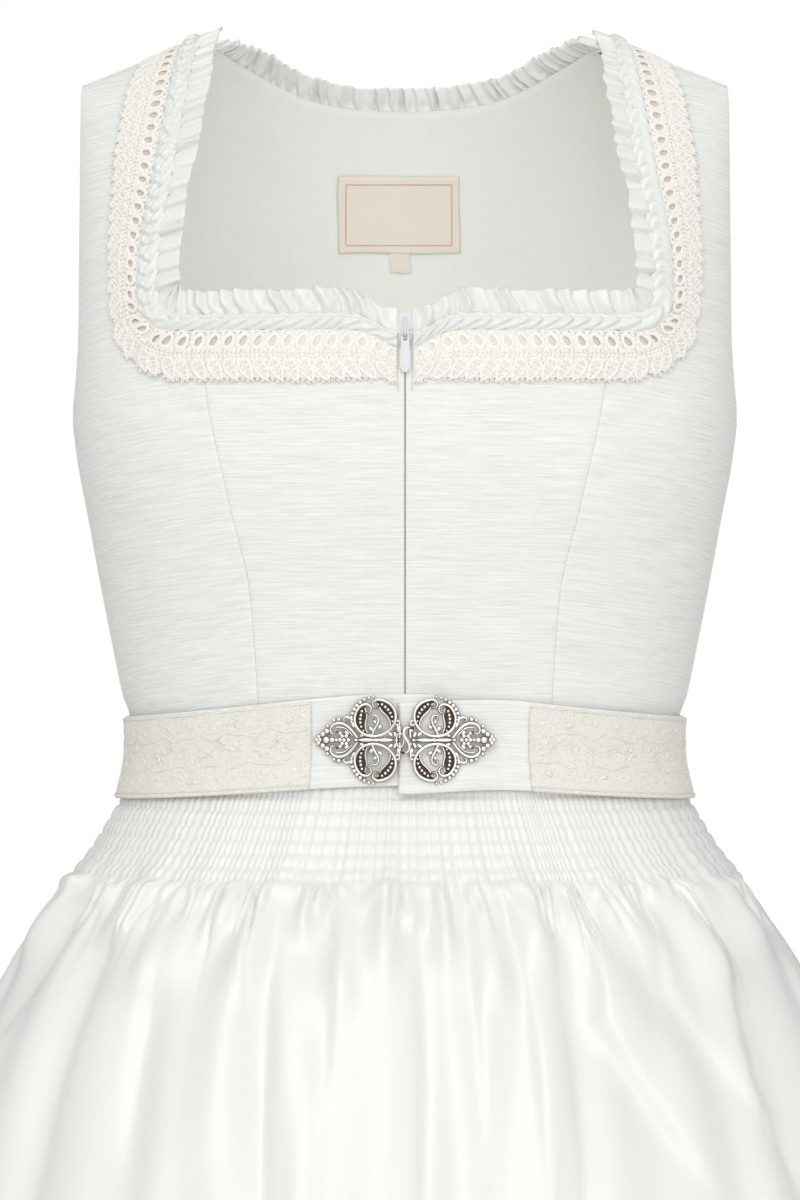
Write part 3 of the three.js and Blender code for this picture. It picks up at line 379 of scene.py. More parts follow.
@dataclass(frozen=True)
class SkirtForm:
    """The skirt's outside before its folds, and where its folds run."""

    top: float = -8.3
    hem: float = -700.0
    apron_hem: float = -668.0
    shirring_end: float = -67.0
    hand_lower: float = -220.0
    ridge: float = 0.45
    valley: float = 0.55
    rings: Table = Table(
        ("z", "half_width", "front", "back", "power"),
        (
            (-700, 352, 290, 280, 2.05), (-540, 326, 266, 255, 2.05), (-420, 299, 242, 231, 2.1),
            (-320, 271, 218, 206, 2.1), (-230, 241, 190, 178, 2.1), (-160, 215, 166, 153, 2.1),
            (-115, 193.5, 145, 133, 2.1), (-86, 175.5, 126, 115, 2.1), (-67, 163, 113, 102, 2.1),
            (-56, 154, 106, 95, 2.12), (-41, 144.6, 98, 86, 2.15), (-26, 136.4, 90.4, 76.6, 2.2),
            (-8.3, 134.2, 87.8, 73.8, 2.25),
        ),
    )
    depths: Table = Table(
        ("z", "depth"),
        (
            (-700, 27), (-420, 21), (-300, 17), (-220, 13), (-165, 10), (-125, 7.5), (-98, 5), (-80, 2.6),
            (-67, 0.5), (-50, 0), (-8, 0),
        ),
    )
    apron_valleys: Table = Table(
        ("top", "low", "hem", "depth"),
        (
            (-86, -72, -70, 0), (-70, -63, -61, 0.8), (-58, -53, -51.5, 1), (-46, -39, -42, 0.8),
            (-38, -30.5, -31, 0.6), (-29, -19, -20, 1.1), (-10.5, -10, -8, 0.7), (4.7, 2.8, 3, 0.9),
            (20.5, 13.5, 14, 0.7), (32.5, 23, 25, 1), (39.5, 35, 37, 0.6), (52, 47, 48, 1.1),
            (63.5, 56.5, 58.5, 0.8), (86, 72, 70, 0),
        ),
    )
    skirt_valleys: Table = Table(
        ("top", "low", "hem", "depth"),
        (
            (90, 90, 90, 0.2), (105, 107, 108, 0.9), (122, 121, 124, 0.7), (138, 136, 139, 1.1),
            (154, 155, 157, 0.8), (171, 172, 175, 1), (188, 187, 190, 0.8), (204, 206, 207, 1.1),
            (221, 221, 224, 0.7), (238, 236, 239, 1), (254, 254, 255, 0.8), (270, 270, 270, 0.2),
        ),
    )

    def point(self, angle: Array, z: Array) -> Array:
        """Points of the form at angles and heights."""
        return oval(self.rings.read(z, "z"), angle, z)

    def depth(self, z: Array) -> Array:
        """Depth of the folds at heights."""
        return self.depths.read(z, "z")["depth"]

    def valley_angles(self, valleys: Table, z: Array) -> Array:
        """Angle of each valley at heights.

        Args:
            valleys: The valleys, a row each.
            z: Heights.

        Returns:
            The angles, with the valleys along a last axis added to those of z.
        """
        drop = (self.shirring_end - np.minimum(z, self.shirring_end))[..., None]
        upper = self.shirring_end - self.hand_lower
        top, low, hem = (valleys.column(name) for name in ("top", "low", "hem"))
        near = mix(top, low, smoothstep(drop, 0.0, upper))
        far = mix(low, hem, (drop - upper) / (self.hand_lower - self.hem))
        return np.where(drop <= upper, near, far)

    def fold(self, valleys: Table, column: Array, z: Array, softness: float) -> tuple[Array, Array]:
        """Where folded cloth runs: its angle, and how far its fold stands out or in.

        Args:
            valleys: The valleys, a row each.
            column: Place across the cloth, counted in valleys.
            z: Heights, of the same shape as column.
            softness: 0 for valleys that are sharp, more for rounded ones.

        Returns:
            The angles in degrees and the folds' offsets in millimetres.
        """
        low = np.clip(np.floor(column).astype(int), 0, int(valleys.last) - 1)
        share = column - low
        angles = self.valley_angles(valleys, z)
        start = np.take_along_axis(angles, low[..., None], axis=-1)[..., 0]
        end = np.take_along_axis(angles, low[..., None] + 1, axis=-1)[..., 0]
        depth = valleys.column("depth")
        strength = mix(depth[low], depth[low + 1], share)
        height = mix(-self.valley, self.ridge, np.sin(math.pi * share) ** (1.0 + softness))
        return mix(start, end, share), self.depth(z) * strength * height


@dataclass(frozen=True)
class BeltForm:
    """The inside of the belt: it dips at the sides, and its left end crosses on top at the front."""

    middle: float = 1.2
    side_dip: float = 10.7
    half_height: float = 22.0
    side_trim: float = 2.0
    under_end: float = 9.0
    over_end: float = -362.0
    rise_from: float = -326.0
    rise_to: float = -346.0
    over_drop: float = 4.0
    wall: float = 1.4
    layer_gap: float = 0.5
    rings: Table = Table(
        ("rise", "half_width", "front", "back", "power"),
        ((-22, 141.2, 93.7, 81, 2.25), (0, 137, 91.7, 77.6, 2.25), (22, 137.2, 92.5, 78.2, 2.25)),
    )

    def line(self, angle: Array) -> tuple[Array, Array]:
        """Middle height and half height of the belt at angles."""
        side = np.sin(np.radians(angle)) ** 2
        return self.middle - self.side_dip * side, self.half_height - self.side_trim * side

    def layer(self, angle: Array) -> Array:
        """How far the end on top is lifted over the one below it."""
        rise = 1.0 - smoothstep(angle, self.rise_to, self.rise_from)
        return rise * (self.wall + self.layer_gap)

    def point(self, angle: Array, share: Array) -> Array:
        """Points of the inside at angles and shares of the half height.

        Args:
            angle: Angles in degrees, running on below -180 where the ends cross.
            share: -1 on the lower edge, 1 on the upper one.

        Returns:
            The points.
        """
        angle, share = np.broadcast_arrays(np.asarray(angle, float), np.asarray(share, float))
        middle, half = self.line(angle)
        drop = self.over_drop * (1.0 - smoothstep(angle, self.over_end, self.rise_from))
        ring = self.rings.read(share * self.half_height, "rise")
        return oval(ring, angle, middle + half * share - drop)

    def on(self, angle: Array, share: Array, out: Array | float) -> Array:
        """Points lifted off the inside, over the layer below where the ends cross."""
        return lifted(self.point, angle, share, self.layer(angle) + out)


MIRRORED = np.array([-1.0, 1.0, 1.0])
BODICE = BodiceForm()
SKIRT = SkirtForm()
BELT = BeltForm()


# ---- courses that trims follow


class Course:
    """A line on the garment that a trim follows: along it, across it and off the cloth."""

    SAMPLES = 1600

    def __init__(self, place: Callable[[Array, Array, Array], Array], last: float) -> None:
        """Measures the line.

        Args:
            place: Gives points from the line's own step, the distance across and the height off the cloth.
            last: The line's last step; its first is 0.
        """
        self.place = place
        self.steps = np.linspace(0.0, last, self.SAMPLES)
        self.distance = path_length(place(self.steps, np.zeros(self.SAMPLES), np.zeros(self.SAMPLES)))
        self.length = float(self.distance[-1])

    def step_at(self, along: Array) -> Array:
        """The line's own step at distances along it."""
        return np.interp(along, self.distance, self.steps)

    def at(self, along: Array, across: Array, off: Array | float) -> Array:
        """Points at distances along the line, across it and off the cloth."""
        along, across, off = np.broadcast_arrays(along, across, off)
        return self.place(self.step_at(along), across, off)

    def marks(self, across: float, pitch: float, start: float, end: float) -> tuple[Array, Array]:
        """Even marks along the line, measured where the repeats lie.

        Args:
            across: Distance across the line at which the marks are even.
            pitch: Distance between marks there.
            start: First place along the line.
            end: Last place along the line.

        Returns:
            The marks' places along the line, and how much the course is stretched at each.
        """
        along = np.linspace(start, end, self.SAMPLES)
        walked = path_length(self.at(along, np.full(self.SAMPLES, across), 0.0))
        count = max(int(round(walked[-1] / pitch)), 1)
        spots = (np.arange(count) + 0.5) * walked[-1] / count
        places = np.interp(spots, walked, along)
        ahead = np.interp(spots + 1.0, walked, along) - np.interp(spots - 1.0, walked, along)
        return places, 2.0 / np.maximum(ahead, 1e-6)


NECK_EDGE = Table(
    ("x", "z", "aim", "lace"),
    (
        (3.6, 196.9, 0, 30.5), (10, 199, -12, 31), (18, 203.2, -12, 33), (27, 205.9, -4, 34.5),
        (46, 206, 0, 35), (66, 206, 0, 34.5), (86, 206, 0, 34.5), (104, 206, 6, 34), (112, 206.4, 24, 31),
        (116.8, 209.4, 50, 27), (118.8, 214, 76, 23.5), (118.9, 224, 90, 24), (118, 240, 90, 25.5),
        (115.5, 257, 90, 27.5), (112.5, 274, 90, 30), (109.8, 292, 90, 32), (107, 310, 90, 32.5),
        (104, 330, 90, 32.5), (101.6, 341.5, 90, 30), (100, 346, 90, 28),
    ),
)
BACK_NECK = Table(
    ("x", "z"),
    ((0, 317.5), (30, 319.3), (50, 323.5), (65, 330), (80, 338), (92, 344), (100, 346)),
)
# Degrees that the back's trim is turned at the shoulder, and how far out its course reaches.
BACK_NECK_AIM = 78.0
BACK_NECK_REACH = 98.5


def front_neck_place(step: Array, across: Array, off: Array) -> Array:
    """A point by its step along the front neck edge.

    Args:
        step: Row number in the edge's table.
        across: Distance from the edge, positive down and outwards.
        off: Distance off the cloth.

    Returns:
        The point.
    """
    row = NECK_EDGE.read(step)
    aim = np.radians(row["aim"])
    out = across * np.sin(aim)
    share = (row["z"] - BODICE.underarm) / (BODICE.shoulder_height(row["x"]) - BODICE.underarm)
    z = row["z"] - across * np.cos(aim) - share * BODICE.shoulder_fall * out
    return BODICE.at(Face.FRONT, row["x"] + out, z, off)


def back_neck_place(step: Array, across: Array, off: Array) -> Array:
    """A point by its step across the back neck edge.

    Args:
        step: 0 at the wearer's right shoulder, 1 in the middle, 2 at the left one.
        across: Distance from the edge, positive upwards.
        off: Distance off the cloth.

    Returns:
        The point.
    """
    x = (step - 1.0) * BACK_NECK_REACH
    edge = BACK_NECK.read(np.abs(x), "x")["z"]
    aim = np.radians(BACK_NECK_AIM * (np.abs(x) / 100.0) ** 2)
    inward = across * np.sin(aim) * np.sign(x)
    return BODICE.at(Face.BACK, x - inward, edge + across * np.cos(aim), off)


FRONT_NECK_COURSE = Course(front_neck_place, NECK_EDGE.last)
BACK_NECK_COURSE = Course(back_neck_place, 2.0)


def lace_reach(along: Array) -> Array:
    """How far the neck lace reaches across its course."""
    return NECK_EDGE.read(FRONT_NECK_COURSE.step_at(along))["lace"]


# ---- meshes


def deselected() -> None:
    """Clears the selection, so that an operator acts on new pieces alone."""
    if bpy.context.object and bpy.context.object.mode != "OBJECT":
        bpy.ops.object.mode_set(mode="OBJECT")
    bpy.ops.object.select_all(action="DESELECT")


def alone(piece: Piece) -> Piece:
    """Selects a piece alone and makes it the active one."""
    deselected()
    piece.select_set(True)
    bpy.context.view_layer.objects.active = piece
    return piece


@contextmanager
def editing() -> Iterator[None]:
    """Edit mode on the active piece, with all of it selected."""
    bpy.ops.object.mode_set(mode="EDIT")
    bpy.ops.mesh.select_all(action="SELECT")
    yield
    bpy.ops.object.mode_set(mode="OBJECT")


def quads_between(index: Array) -> list[list[int]]:
    """Quads between neighbours in a grid of vertex numbers."""
    corners = [index[:-1, :-1], index[:-1, 1:], index[1:, 1:], index[1:, :-1]]
    return np.stack(corners, axis=-1).reshape(-1, 4).tolist()


def made_object(name: str, points: Array, faces: Sequence[Sequence[int]]) -> Piece:
    """A new object from points in metres and faces, smooth shaded.

    Args:
        name: The piece's name.
        points: Its vertices.
        faces: Its faces, each a list of vertex numbers.

    Returns:
        The object, linked to the scene.
    """
    mesh = bpy.data.meshes.new(name)
    mesh.from_pydata(np.asarray(points).tolist(), [], faces)
    mesh.polygons.foreach_set("use_smooth", np.ones(len(mesh.polygons), dtype=bool))
    mesh.update()
    made = bpy.data.objects.new(name, mesh)
    bpy.context.scene.collection.objects.link(made)
    return made


def applied(piece: Piece) -> Piece:
    """Applies every modifier of a piece."""
    for modifier in list(alone(piece).modifiers):
        bpy.ops.object.modifier_apply(modifier=modifier.name)
    return piece


def walled(sheet: Piece, threads: Array, wall: float) -> Piece:
    """Gives a sheet its threads as a UV map, and its thickness laid inwards.

    Args:
        sheet: The sheet, still without thickness.
        threads: Distances along weft and warp at each vertex, in metres.
        wall: Thickness in millimetres.

    Returns:
        The sheet.
    """
    corners = np.empty(len(sheet.data.loops), dtype=int)
    sheet.data.loops.foreach_get("vertex_index", corners)
    sheet.data.uv_layers.new(name="threads").data.foreach_set("uv", threads[corners].ravel())
    solid = sheet.modifiers.new("wall", "SOLIDIFY")
    solid.thickness = wall * MM
    solid.offset = -1.0
    return applied(sheet)


@dataclass
class Cut:
    """The flat cut of a piece of cloth, before it was gathered and sewn."""

    width: float
    length: float
    area: float

    @staticmethod
    def of(points: Array) -> "Cut":
        """Works the cut out from the cloth's points.

        Args:
            points: Rows of points in millimetres, lower edge first.

        Returns:
            The cut, in metres.
        """
        rows = np.linalg.norm(np.diff(points, axis=1), axis=-1).sum(axis=1)
        columns = np.linalg.norm(np.diff(points, axis=0), axis=-1).sum(axis=0)
        a, b = np.diff(points[:, :-1], axis=0), np.diff(points[:-1], axis=1)
        area = float(np.linalg.norm(np.cross(a, b), axis=-1).sum()) * MM * MM
        width, length = float(rows.max()) * MM, float(columns.max()) * MM
        return Cut(width, length, max(min(area, width * length), LEAST_SHARE * width * length))


@dataclass
class Grid:
    """A grid of cloth: rows from the lower edge up, columns towards the wearer's left along the front."""

    points: Array
    grain: float = 0.0
    level: bool = False
    # Optional share at each point of painted shade: the darker tone put into the holes of a lace ground.
    hole_shade: Array | None = None

    def on_side(self, side: Side) -> "Grid":
        """The cloth, made as for the wearer's left, on the given side."""
        if side is Side.LEFT:
            return self
        hole_shade = None if self.hole_shade is None else self.hole_shade[:, ::-1]
        return Grid(self.points[:, ::-1] * MIRRORED, -self.grain, self.level, hole_shade)

    def threads(self) -> Array:
        """Distances along the weft and the warp in metres, turned by the grain, for the weave.

        Returns:
            A pair for each point of the grid.
        """
        flat = self.points[..., :2] if self.level else self.points
        across = np.linalg.norm(np.diff(flat, axis=1), axis=-1)
        across = np.concatenate([np.zeros((len(across), 1)), np.cumsum(across, axis=1)], axis=1)
        across += self.points[:, :1, 0] if self.level else -across.mean(axis=1, keepdims=True)
        up = np.linalg.norm(np.diff(self.points, axis=0), axis=-1).mean(axis=1)
        up = running(up)[:, None] + np.zeros_like(across)
        if self.level:
            up = self.points[..., 2]
        turn = math.radians(self.grain)
        weft = across * math.cos(turn) - up * math.sin(turn)
        warp = across * math.sin(turn) + up * math.cos(turn)
        return np.stack([weft, warp], axis=-1) * MM

    def cloth(self, name: str, wall: float) -> Piece:
        """Makes the cloth, with its thickness laid inwards and its threads as a UV map.

        Args:
            name: The piece's name.
            wall: Thickness in millimetres.

        Returns:
            The finished object.
        """
        shape = self.points.shape[:2]
        index = np.arange(shape[0] * shape[1]).reshape(shape)
        sheet = made_object(name, placed(self.points).reshape(-1, 3), quads_between(index))
        # The painted hole shade goes on the points as an attribute, for the lace ground's finish.
        if self.hole_shade is not None:
            hole_shade_mask = sheet.data.attributes.new("hole_shade", "FLOAT", "POINT")
            hole_shade_mask.data.foreach_set("value", self.hole_shade.ravel())
        return walled(sheet, self.threads().reshape(-1, 2), wall)


class Work:
    """Small closed shapes, gathered in a course's own millimetres and laid on the cloth at the end."""

    def __init__(self) -> None:
        """Starts with nothing."""
        self.points: list[Array] = []
        self.faces: list[Array] = []
        self.count = 0

    def add(self, points: Array, quads: Array) -> None:
        """Adds one closed shape of quads (a triangle repeats its last corner)."""
        self.points.append(points)
        self.faces.append(quads + self.count)
        self.count += len(points)

    def cord(self, path: Array, radius: Array | float, sides: int = 5, closed: bool = False) -> None:
        """Adds a round thread along a path.

        Args:
            path: Points along, across and off the cloth.
            radius: Its radius, or one for each point.
            sides: Faces round it.
            closed: Whether it is a loop.
        """
        path = np.asarray(path, dtype=float)
        if closed:
            ahead, behind = np.roll(path, -1, axis=0), np.roll(path, 1, axis=0)
        else:
            ahead, behind = np.vstack([path[1:], path[-1:]]), np.vstack([path[:1], path[:-1]])
        way = ahead - behind
        way /= np.maximum(np.linalg.norm(way, axis=-1, keepdims=True), 1e-9)
        aside = np.cross(way, (0.0, 0.0, 1.0))
        aside /= np.maximum(np.linalg.norm(aside, axis=-1, keepdims=True), 1e-9)
        upward = np.cross(aside, way)
        turn = np.arange(sides) * 2 * math.pi / sides
        thick = np.broadcast_to(np.asarray(radius, dtype=float), len(path))[:, None, None]
        ring = np.cos(turn)[None, :, None] * aside[:, None] + np.sin(turn)[None, :, None] * upward[:, None]
        points = (path[:, None] + thick * ring).reshape(-1, 3)
        count = len(path)
        along = np.arange(count if closed else count - 1)
        i, j = np.meshgrid(along, np.arange(sides), indexing="ij")
        a, b = i * sides + j, i * sides + (j + 1) % sides
        c, d = ((i + 1) % count) * sides + (j + 1) % sides, ((i + 1) % count) * sides + j
        quads = np.stack([a, b, c, d], axis=-1).reshape(-1, 4)
        if not closed:
            first, last = np.arange(sides), (count - 1) * sides + np.arange(sides)
            points = np.vstack([points, path[:1], path[-1:]])
            tips = (count * sides, count * sides + 1)
            start = np.stack([np.roll(first, -1), first, np.full(sides, tips[0])], axis=-1)
            end = np.stack([last, np.roll(last, -1), np.full(sides, tips[1])], axis=-1)
            caps = np.vstack([start, end])
            quads = np.vstack([quads, np.hstack([caps, caps[:, 2:]])])
        self.add(points, quads)

    def pad(self, x: float, y: float, length: float, width: float, height: float, turn: float,
            base: float = 0.0, sides: int = 8, point: float = 0.0) -> None:
        """Adds a low domed pad, as of close stitches.

        Args:
            x: Its middle along the course.
            y: Its middle across the course.
            length: Half its length.
            width: Half its width.
            height: How high it stands.
            turn: Degrees that its length is turned from along the course.
            base: Height of its flat underside.
            sides: Corners of its outline.
            point: How much its far end narrows to a tip, from 0 to 1.
        """
        round_it = np.arange(sides) * 2 * math.pi / sides
        a, b = np.cos(round_it), np.sin(round_it)
        b = b * (1.0 - point * np.clip(a, 0.0, 1.0) ** 2)
        rim = np.stack([length * a, width * b, np.full(sides, base)], axis=-1)
        high = np.full(sides, base + height * 0.8)
        shoulder = np.stack([length * 0.7 * a, width * 0.66 * b, high], axis=-1)
        ends = np.array([[0.0, 0.0, base + height], [0.0, 0.0, base]])
        points = np.vstack([rim, shoulder, ends])
        cos, sin = math.cos(math.radians(turn)), math.sin(math.radians(turn))
        flat = np.stack([points[:, 0] * cos - points[:, 1] * sin + x,
                         points[:, 0] * sin + points[:, 1] * cos + y, points[:, 2]], axis=-1)
        i = np.arange(sides)
        j = (i + 1) % sides
        side = np.stack([i, j, j + sides, i + sides], axis=-1)
        top = np.stack([i + sides, j + sides, np.full(sides, 2 * sides), np.full(sides, 2 * sides)], axis=-1)
        under = np.stack([j, i, np.full(sides, 2 * sides + 1), np.full(sides, 2 * sides + 1)], axis=-1)
        self.add(flat, np.vstack([side, top, under]))

    def merged(self) -> tuple[Array, Array]:
        """All its points and faces."""
        return np.vstack(self.points), np.vstack(self.faces)

    def repeated(self, places: Array, stretch: Array, across: Callable[[Array, Array], Array],
                 flips: Array | None = None) -> tuple[Array, Array]:
        """Copies the work to marks along a course.

        Args:
            places: The marks.
            stretch: How much the course is stretched at each mark.
            across: Turns distances along and across of the work into distances across the course.
            flips: 1 or -1 for each mark, -1 to mirror the copy along the course.

        Returns:
            Points along, across and off the cloth, and faces.
        """
        points, faces = self.merged()
        turned = np.ones(len(places)) if flips is None else flips
        along = places[:, None] + points[None, :, 0] * turned[:, None] / stretch[:, None]
        wide = across(along, np.broadcast_to(points[None, :, 1], along.shape))
        high = np.broadcast_to(points[None, :, 2], along.shape)
        copies = np.stack([along, wide, high], axis=-1).reshape(-1, 3)
        offsets = np.arange(len(places))[:, None, None] * len(points)
        every = faces[None] + offsets
        every = np.where(turned[:, None, None] < 0, every[..., ::-1], every)
        return copies, every.reshape(-1, 4)


def joined_work(parts: Sequence[tuple[Array, Array]]) -> tuple[Array, Array]:
    """Joins sets of points and faces into one.

    Args:
        parts: Points and faces of each set.

    Returns:
        All the points and all the faces.
    """
    counts = np.cumsum([0] + [len(points) for points, _ in parts])
    faces = np.vstack([part[1] + start for part, start in zip(parts, counts)])
    return np.vstack([part[0] for part in parts]), faces


def worked_object(name: str, points: Array, faces: Array, flipped: bool = False) -> Piece:
    """An object from points in millimetres on the dress, and quads that may be triangles.

    Args:
        name: The piece's name.
        points: Its vertices.
        faces: Its quads; a triangle repeats a corner.
        flipped: Whether the points are mirrored, so that the faces have to be turned.

    Returns:
        The object.
    """
    if flipped:
        faces = faces[:, ::-1]
    lists = [list(dict.fromkeys(face)) for face in faces.tolist()]
    return made_object(name, placed(points), lists)


# ---- finishes


def colour(code: str) -> tuple[float, float, float, float]:
    """A linear colour from an sRGB hex code.

    Args:
        code: As #rrggbb.

    Returns:
        Red, green, blue and an alpha of 1.
    """
    parts = [int(code[i:i + 2], 16) / 255 for i in (1, 3, 5)]
    linear = [p / 12.92 if p <= 0.04045 else ((p + 0.055) / 1.055) ** 2.4 for p in parts]
    return (linear[0], linear[1], linear[2], 1.0)


def add_node(tree: Tree, kind: str, settings: dict[str | int, Any] | None = None,
             links: dict[str | int, Socket] | None = None) -> bpy.types.Node:
    """Adds a node to a tree.

    Args:
        tree: The material's node tree.
        kind: The node's type.
        settings: Values of its properties, or of its inputs by name or number; "stops" are the places and
            sRGB codes of a colour ramp.
        links: Sockets of other nodes that feed its inputs, by name or number.

    Returns:
        The node.
    """
    node = tree.nodes.new(kind)
    for name, value in (settings or {}).items():
        if name == "stops":
            for stop, (stop.position, code) in zip(node.color_ramp.elements, value):
                stop.color = colour(code)
        elif isinstance(name, str) and hasattr(node, name):
            setattr(node, name, value)
        else:
            node.inputs[name].default_value = value
    for name, source in (links or {}).items():
        tree.links.new(source, node.inputs[name])
    return node


class Finish:
    """A material made of nodes. Each finish fills in its own surface."""

    name: str
    made: dict[str, bpy.types.Material] = {}

    def material(self) -> bpy.types.Material:
        """The material, made once."""
        if self.name in Finish.made:
            return Finish.made[self.name]
        made = Finish.made[self.name] = bpy.data.materials.new(self.name)
        made.use_nodes = True
        tree = made.node_tree
        tree.nodes.clear()
        surface = self.surface(tree)
        add_node(tree, "ShaderNodeOutputMaterial", links={"Surface": surface})
        return made

    def surface(self, tree: Tree) -> Socket:
        """Builds the nodes.

        Args:
            tree: The material's node tree, still empty.

        Returns:
            The shader's output.
        """
        raise NotImplementedError


def thread_pattern(tree: Tree, threads: Socket, sizes: Sequence[float],
                 settings: dict[str, Any], kind: str = "ShaderNodeTexNoise") -> bpy.types.Node:
    """A pattern laid along the threads of a cloth.

    Args:
        tree: The material's node tree.
        threads: The cloth's map.
        sizes: Its grain in millimetres along the weft, the warp and, for cells, through the cloth.
        settings: What else the pattern needs.
        kind: The type of its node.

    Returns:
        The pattern's node.
    """
    scale = [1 / (size * MM) for size in sizes] + [1.0] * (3 - len(sizes))
    laid = add_node(tree, "ShaderNodeMapping", {"Scale": scale}, {"Vector": threads})
    return add_node(tree, kind, {"Scale": 1.0, **settings}, {"Vector": laid.outputs["Vector"]})


@dataclass(frozen=True)
class OneColour(Finish):
    """A plain smooth finish of one colour."""

    name: str
    tint: str
    roughness: float

    def surface(self, tree: Tree) -> Socket:
        """One colour with its gloss."""
        settings = {"Base Color": colour(self.tint), "Roughness": self.roughness}
        return add_node(tree, "ShaderNodeBsdfPrincipled", settings).outputs["BSDF"]


@dataclass(frozen=True)
class SlubCloth(Finish):
    """Slub weave: uneven weft threads give fine level streaks, a little darker and raised, on matt white."""

    name: str = "slub_weave"
    light: str = "#f3f4f1"
    dark: str = "#e0e2dd"
    streak_length: float = 30.0
    streak_height: float = 0.85
    thread_length: float = 9.0
    thread_height: float = 0.5
    relief: float = 0.24
    roughness: float = 0.82

    def surface(self, tree: Tree) -> Socket:
        """Two stretched noises for slubs and threads, as colour and relief.

        Args:
            tree: The material's node tree.

        Returns:
            The shader's output.
        """
        threads = add_node(tree, "ShaderNodeUVMap", {"uv_map": "threads"}).outputs["UV"]
        slubs, fine = (
            thread_pattern(tree, threads, sizes, {"Detail": 2.0, "Roughness": 0.55}).outputs["Fac"]
            for sizes in ((self.streak_length, self.streak_height), (self.thread_length, self.thread_height))
        )
        both = add_node(tree, "ShaderNodeMath", {"operation": "MULTIPLY_ADD", 1: 0.6}, {0: fine, 2: slubs})
        tint = add_node(tree, "ShaderNodeValToRGB", {"stops": ((0.55, self.dark), (1.0, self.light))},
                        {"Fac": both.outputs[0]})
        bump = add_node(tree, "ShaderNodeBump", {"Strength": 0.4, "Distance": self.relief * MM},
                        {"Height": both.outputs[0]})
        return add_node(
            tree, "ShaderNodeBsdfPrincipled",
            {"Roughness": self.roughness, "Sheen Weight": 0.18, "Sheen Roughness": 0.5,
             "Specular IOR Level": 0.3},
            {"Base Color": tint.outputs["Color"], "Normal": bump.outputs["Normal"]},
        ).outputs["BSDF"]


@dataclass(frozen=True)
class PlainCloth(Finish):
    """Plain cotton weave: a matt even cloth whose crossed threads just show as a fine grid."""

    name: str = "plain_weave"
    tint: str = "#e6e8e2"
    thread: float = 1.3
    relief: float = 0.12
    roughness: float = 0.9

    def surface(self, tree: Tree) -> Socket:
        """Crossed stretched noises for warp and weft, drawn coarser than the real threads to show.

        Args:
            tree: The material's node tree.

        Returns:
            The shader's output.
        """
        threads = add_node(tree, "ShaderNodeUVMap", {"uv_map": "threads"}).outputs["UV"]
        size = (self.thread, self.thread * 16)
        warp, weft = (thread_pattern(tree, threads, sizes, {"Detail": 1.0}).outputs["Fac"]
                      for sizes in (size, size[::-1]))
        both = add_node(tree, "ShaderNodeMath", {"operation": "ADD"}, {0: warp, 1: weft})
        bump = add_node(tree, "ShaderNodeBump", {"Strength": 0.2, "Distance": self.relief * MM},
                        {"Height": both.outputs[0]})
        value = add_node(tree, "ShaderNodeMapRange",
                         {"From Min": 0.7, "From Max": 1.3, "To Min": 0.985, "To Max": 1.01},
                         {"Value": both.outputs[0]})
        tint = add_node(tree, "ShaderNodeHueSaturation", {"Color": colour(self.tint)},
                        {"Value": value.outputs["Result"]})
        return add_node(
            tree, "ShaderNodeBsdfPrincipled", {"Roughness": self.roughness, "Specular IOR Level": 0.25},
            {"Base Color": tint.outputs["Color"], "Normal": bump.outputs["Normal"]},
        ).outputs["BSDF"]


@dataclass(frozen=True)
class Satin(Finish):
    """Satin: long floats on the face give a soft, broad gloss on white, and fine vertical lines."""

    name: str = "ribbon_satin"
    tint: str = "#e8eae6"
    roughness: float = 0.36
    float_width: float = 0.7
    relief: float = 0.05
    gloss: float = 0.9

    def surface(self, tree: Tree) -> Socket:
        """A soft gloss with faint lines along the warp.

        Args:
            tree: The material's node tree.

        Returns:
            The shader's output.
        """
        threads = add_node(tree, "ShaderNodeUVMap", {"uv_map": "threads"}).outputs["UV"]
        lines = thread_pattern(tree, threads, (self.float_width, self.float_width * 30), {"Detail": 2.0})
        bump = add_node(tree, "ShaderNodeBump", {"Strength": 0.35, "Distance": self.relief * MM},
                        {"Height": lines.outputs["Fac"]})
        return add_node(
            tree, "ShaderNodeBsdfPrincipled",
            {"Base Color": colour(self.tint), "Roughness": self.roughness, "Sheen Weight": 0.12,
             "Sheen Roughness": 0.35, "Specular IOR Level": self.gloss},
            {"Normal": bump.outputs["Normal"]},
        ).outputs["BSDF"]


@dataclass(frozen=True)
class LaceThread(Finish):
    """Mercerised cotton thread, ivory: softly glossy, with fine uneven fibres."""

    name: str = "lace_thread"
    light: str = "#f6f4ee"
    dark: str = "#efebe4"
    grain: float = 1.1
    relief: float = 0.25
    roughness: float = 0.7

    def surface(self, tree: Tree) -> Socket:
        """Fibre noise as relief and a slight change from ivory to beige.

        Args:
            tree: The material's node tree.

        Returns:
            The shader's output.
        """
        place = add_node(tree, "ShaderNodeTexCoord").outputs["Object"]
        noise = add_node(tree, "ShaderNodeTexNoise", {"Scale": 1 / (self.grain * MM), "Detail": 3.0},
                         {"Vector": place})
        ramp = add_node(tree, "ShaderNodeValToRGB", {"stops": ((0.35, self.dark), (0.6, self.light))},
                        {"Fac": noise.outputs["Fac"]})
        bump = add_node(tree, "ShaderNodeBump", {"Strength": 0.6, "Distance": self.relief * MM},
                        {"Height": noise.outputs["Fac"]})
        return add_node(
            tree, "ShaderNodeBsdfPrincipled",
            {"Roughness": self.roughness, "Sheen Weight": 0.2, "Specular IOR Level": 0.35},
            {"Base Color": ramp.outputs["Color"], "Normal": bump.outputs["Normal"]},
        ).outputs["BSDF"]


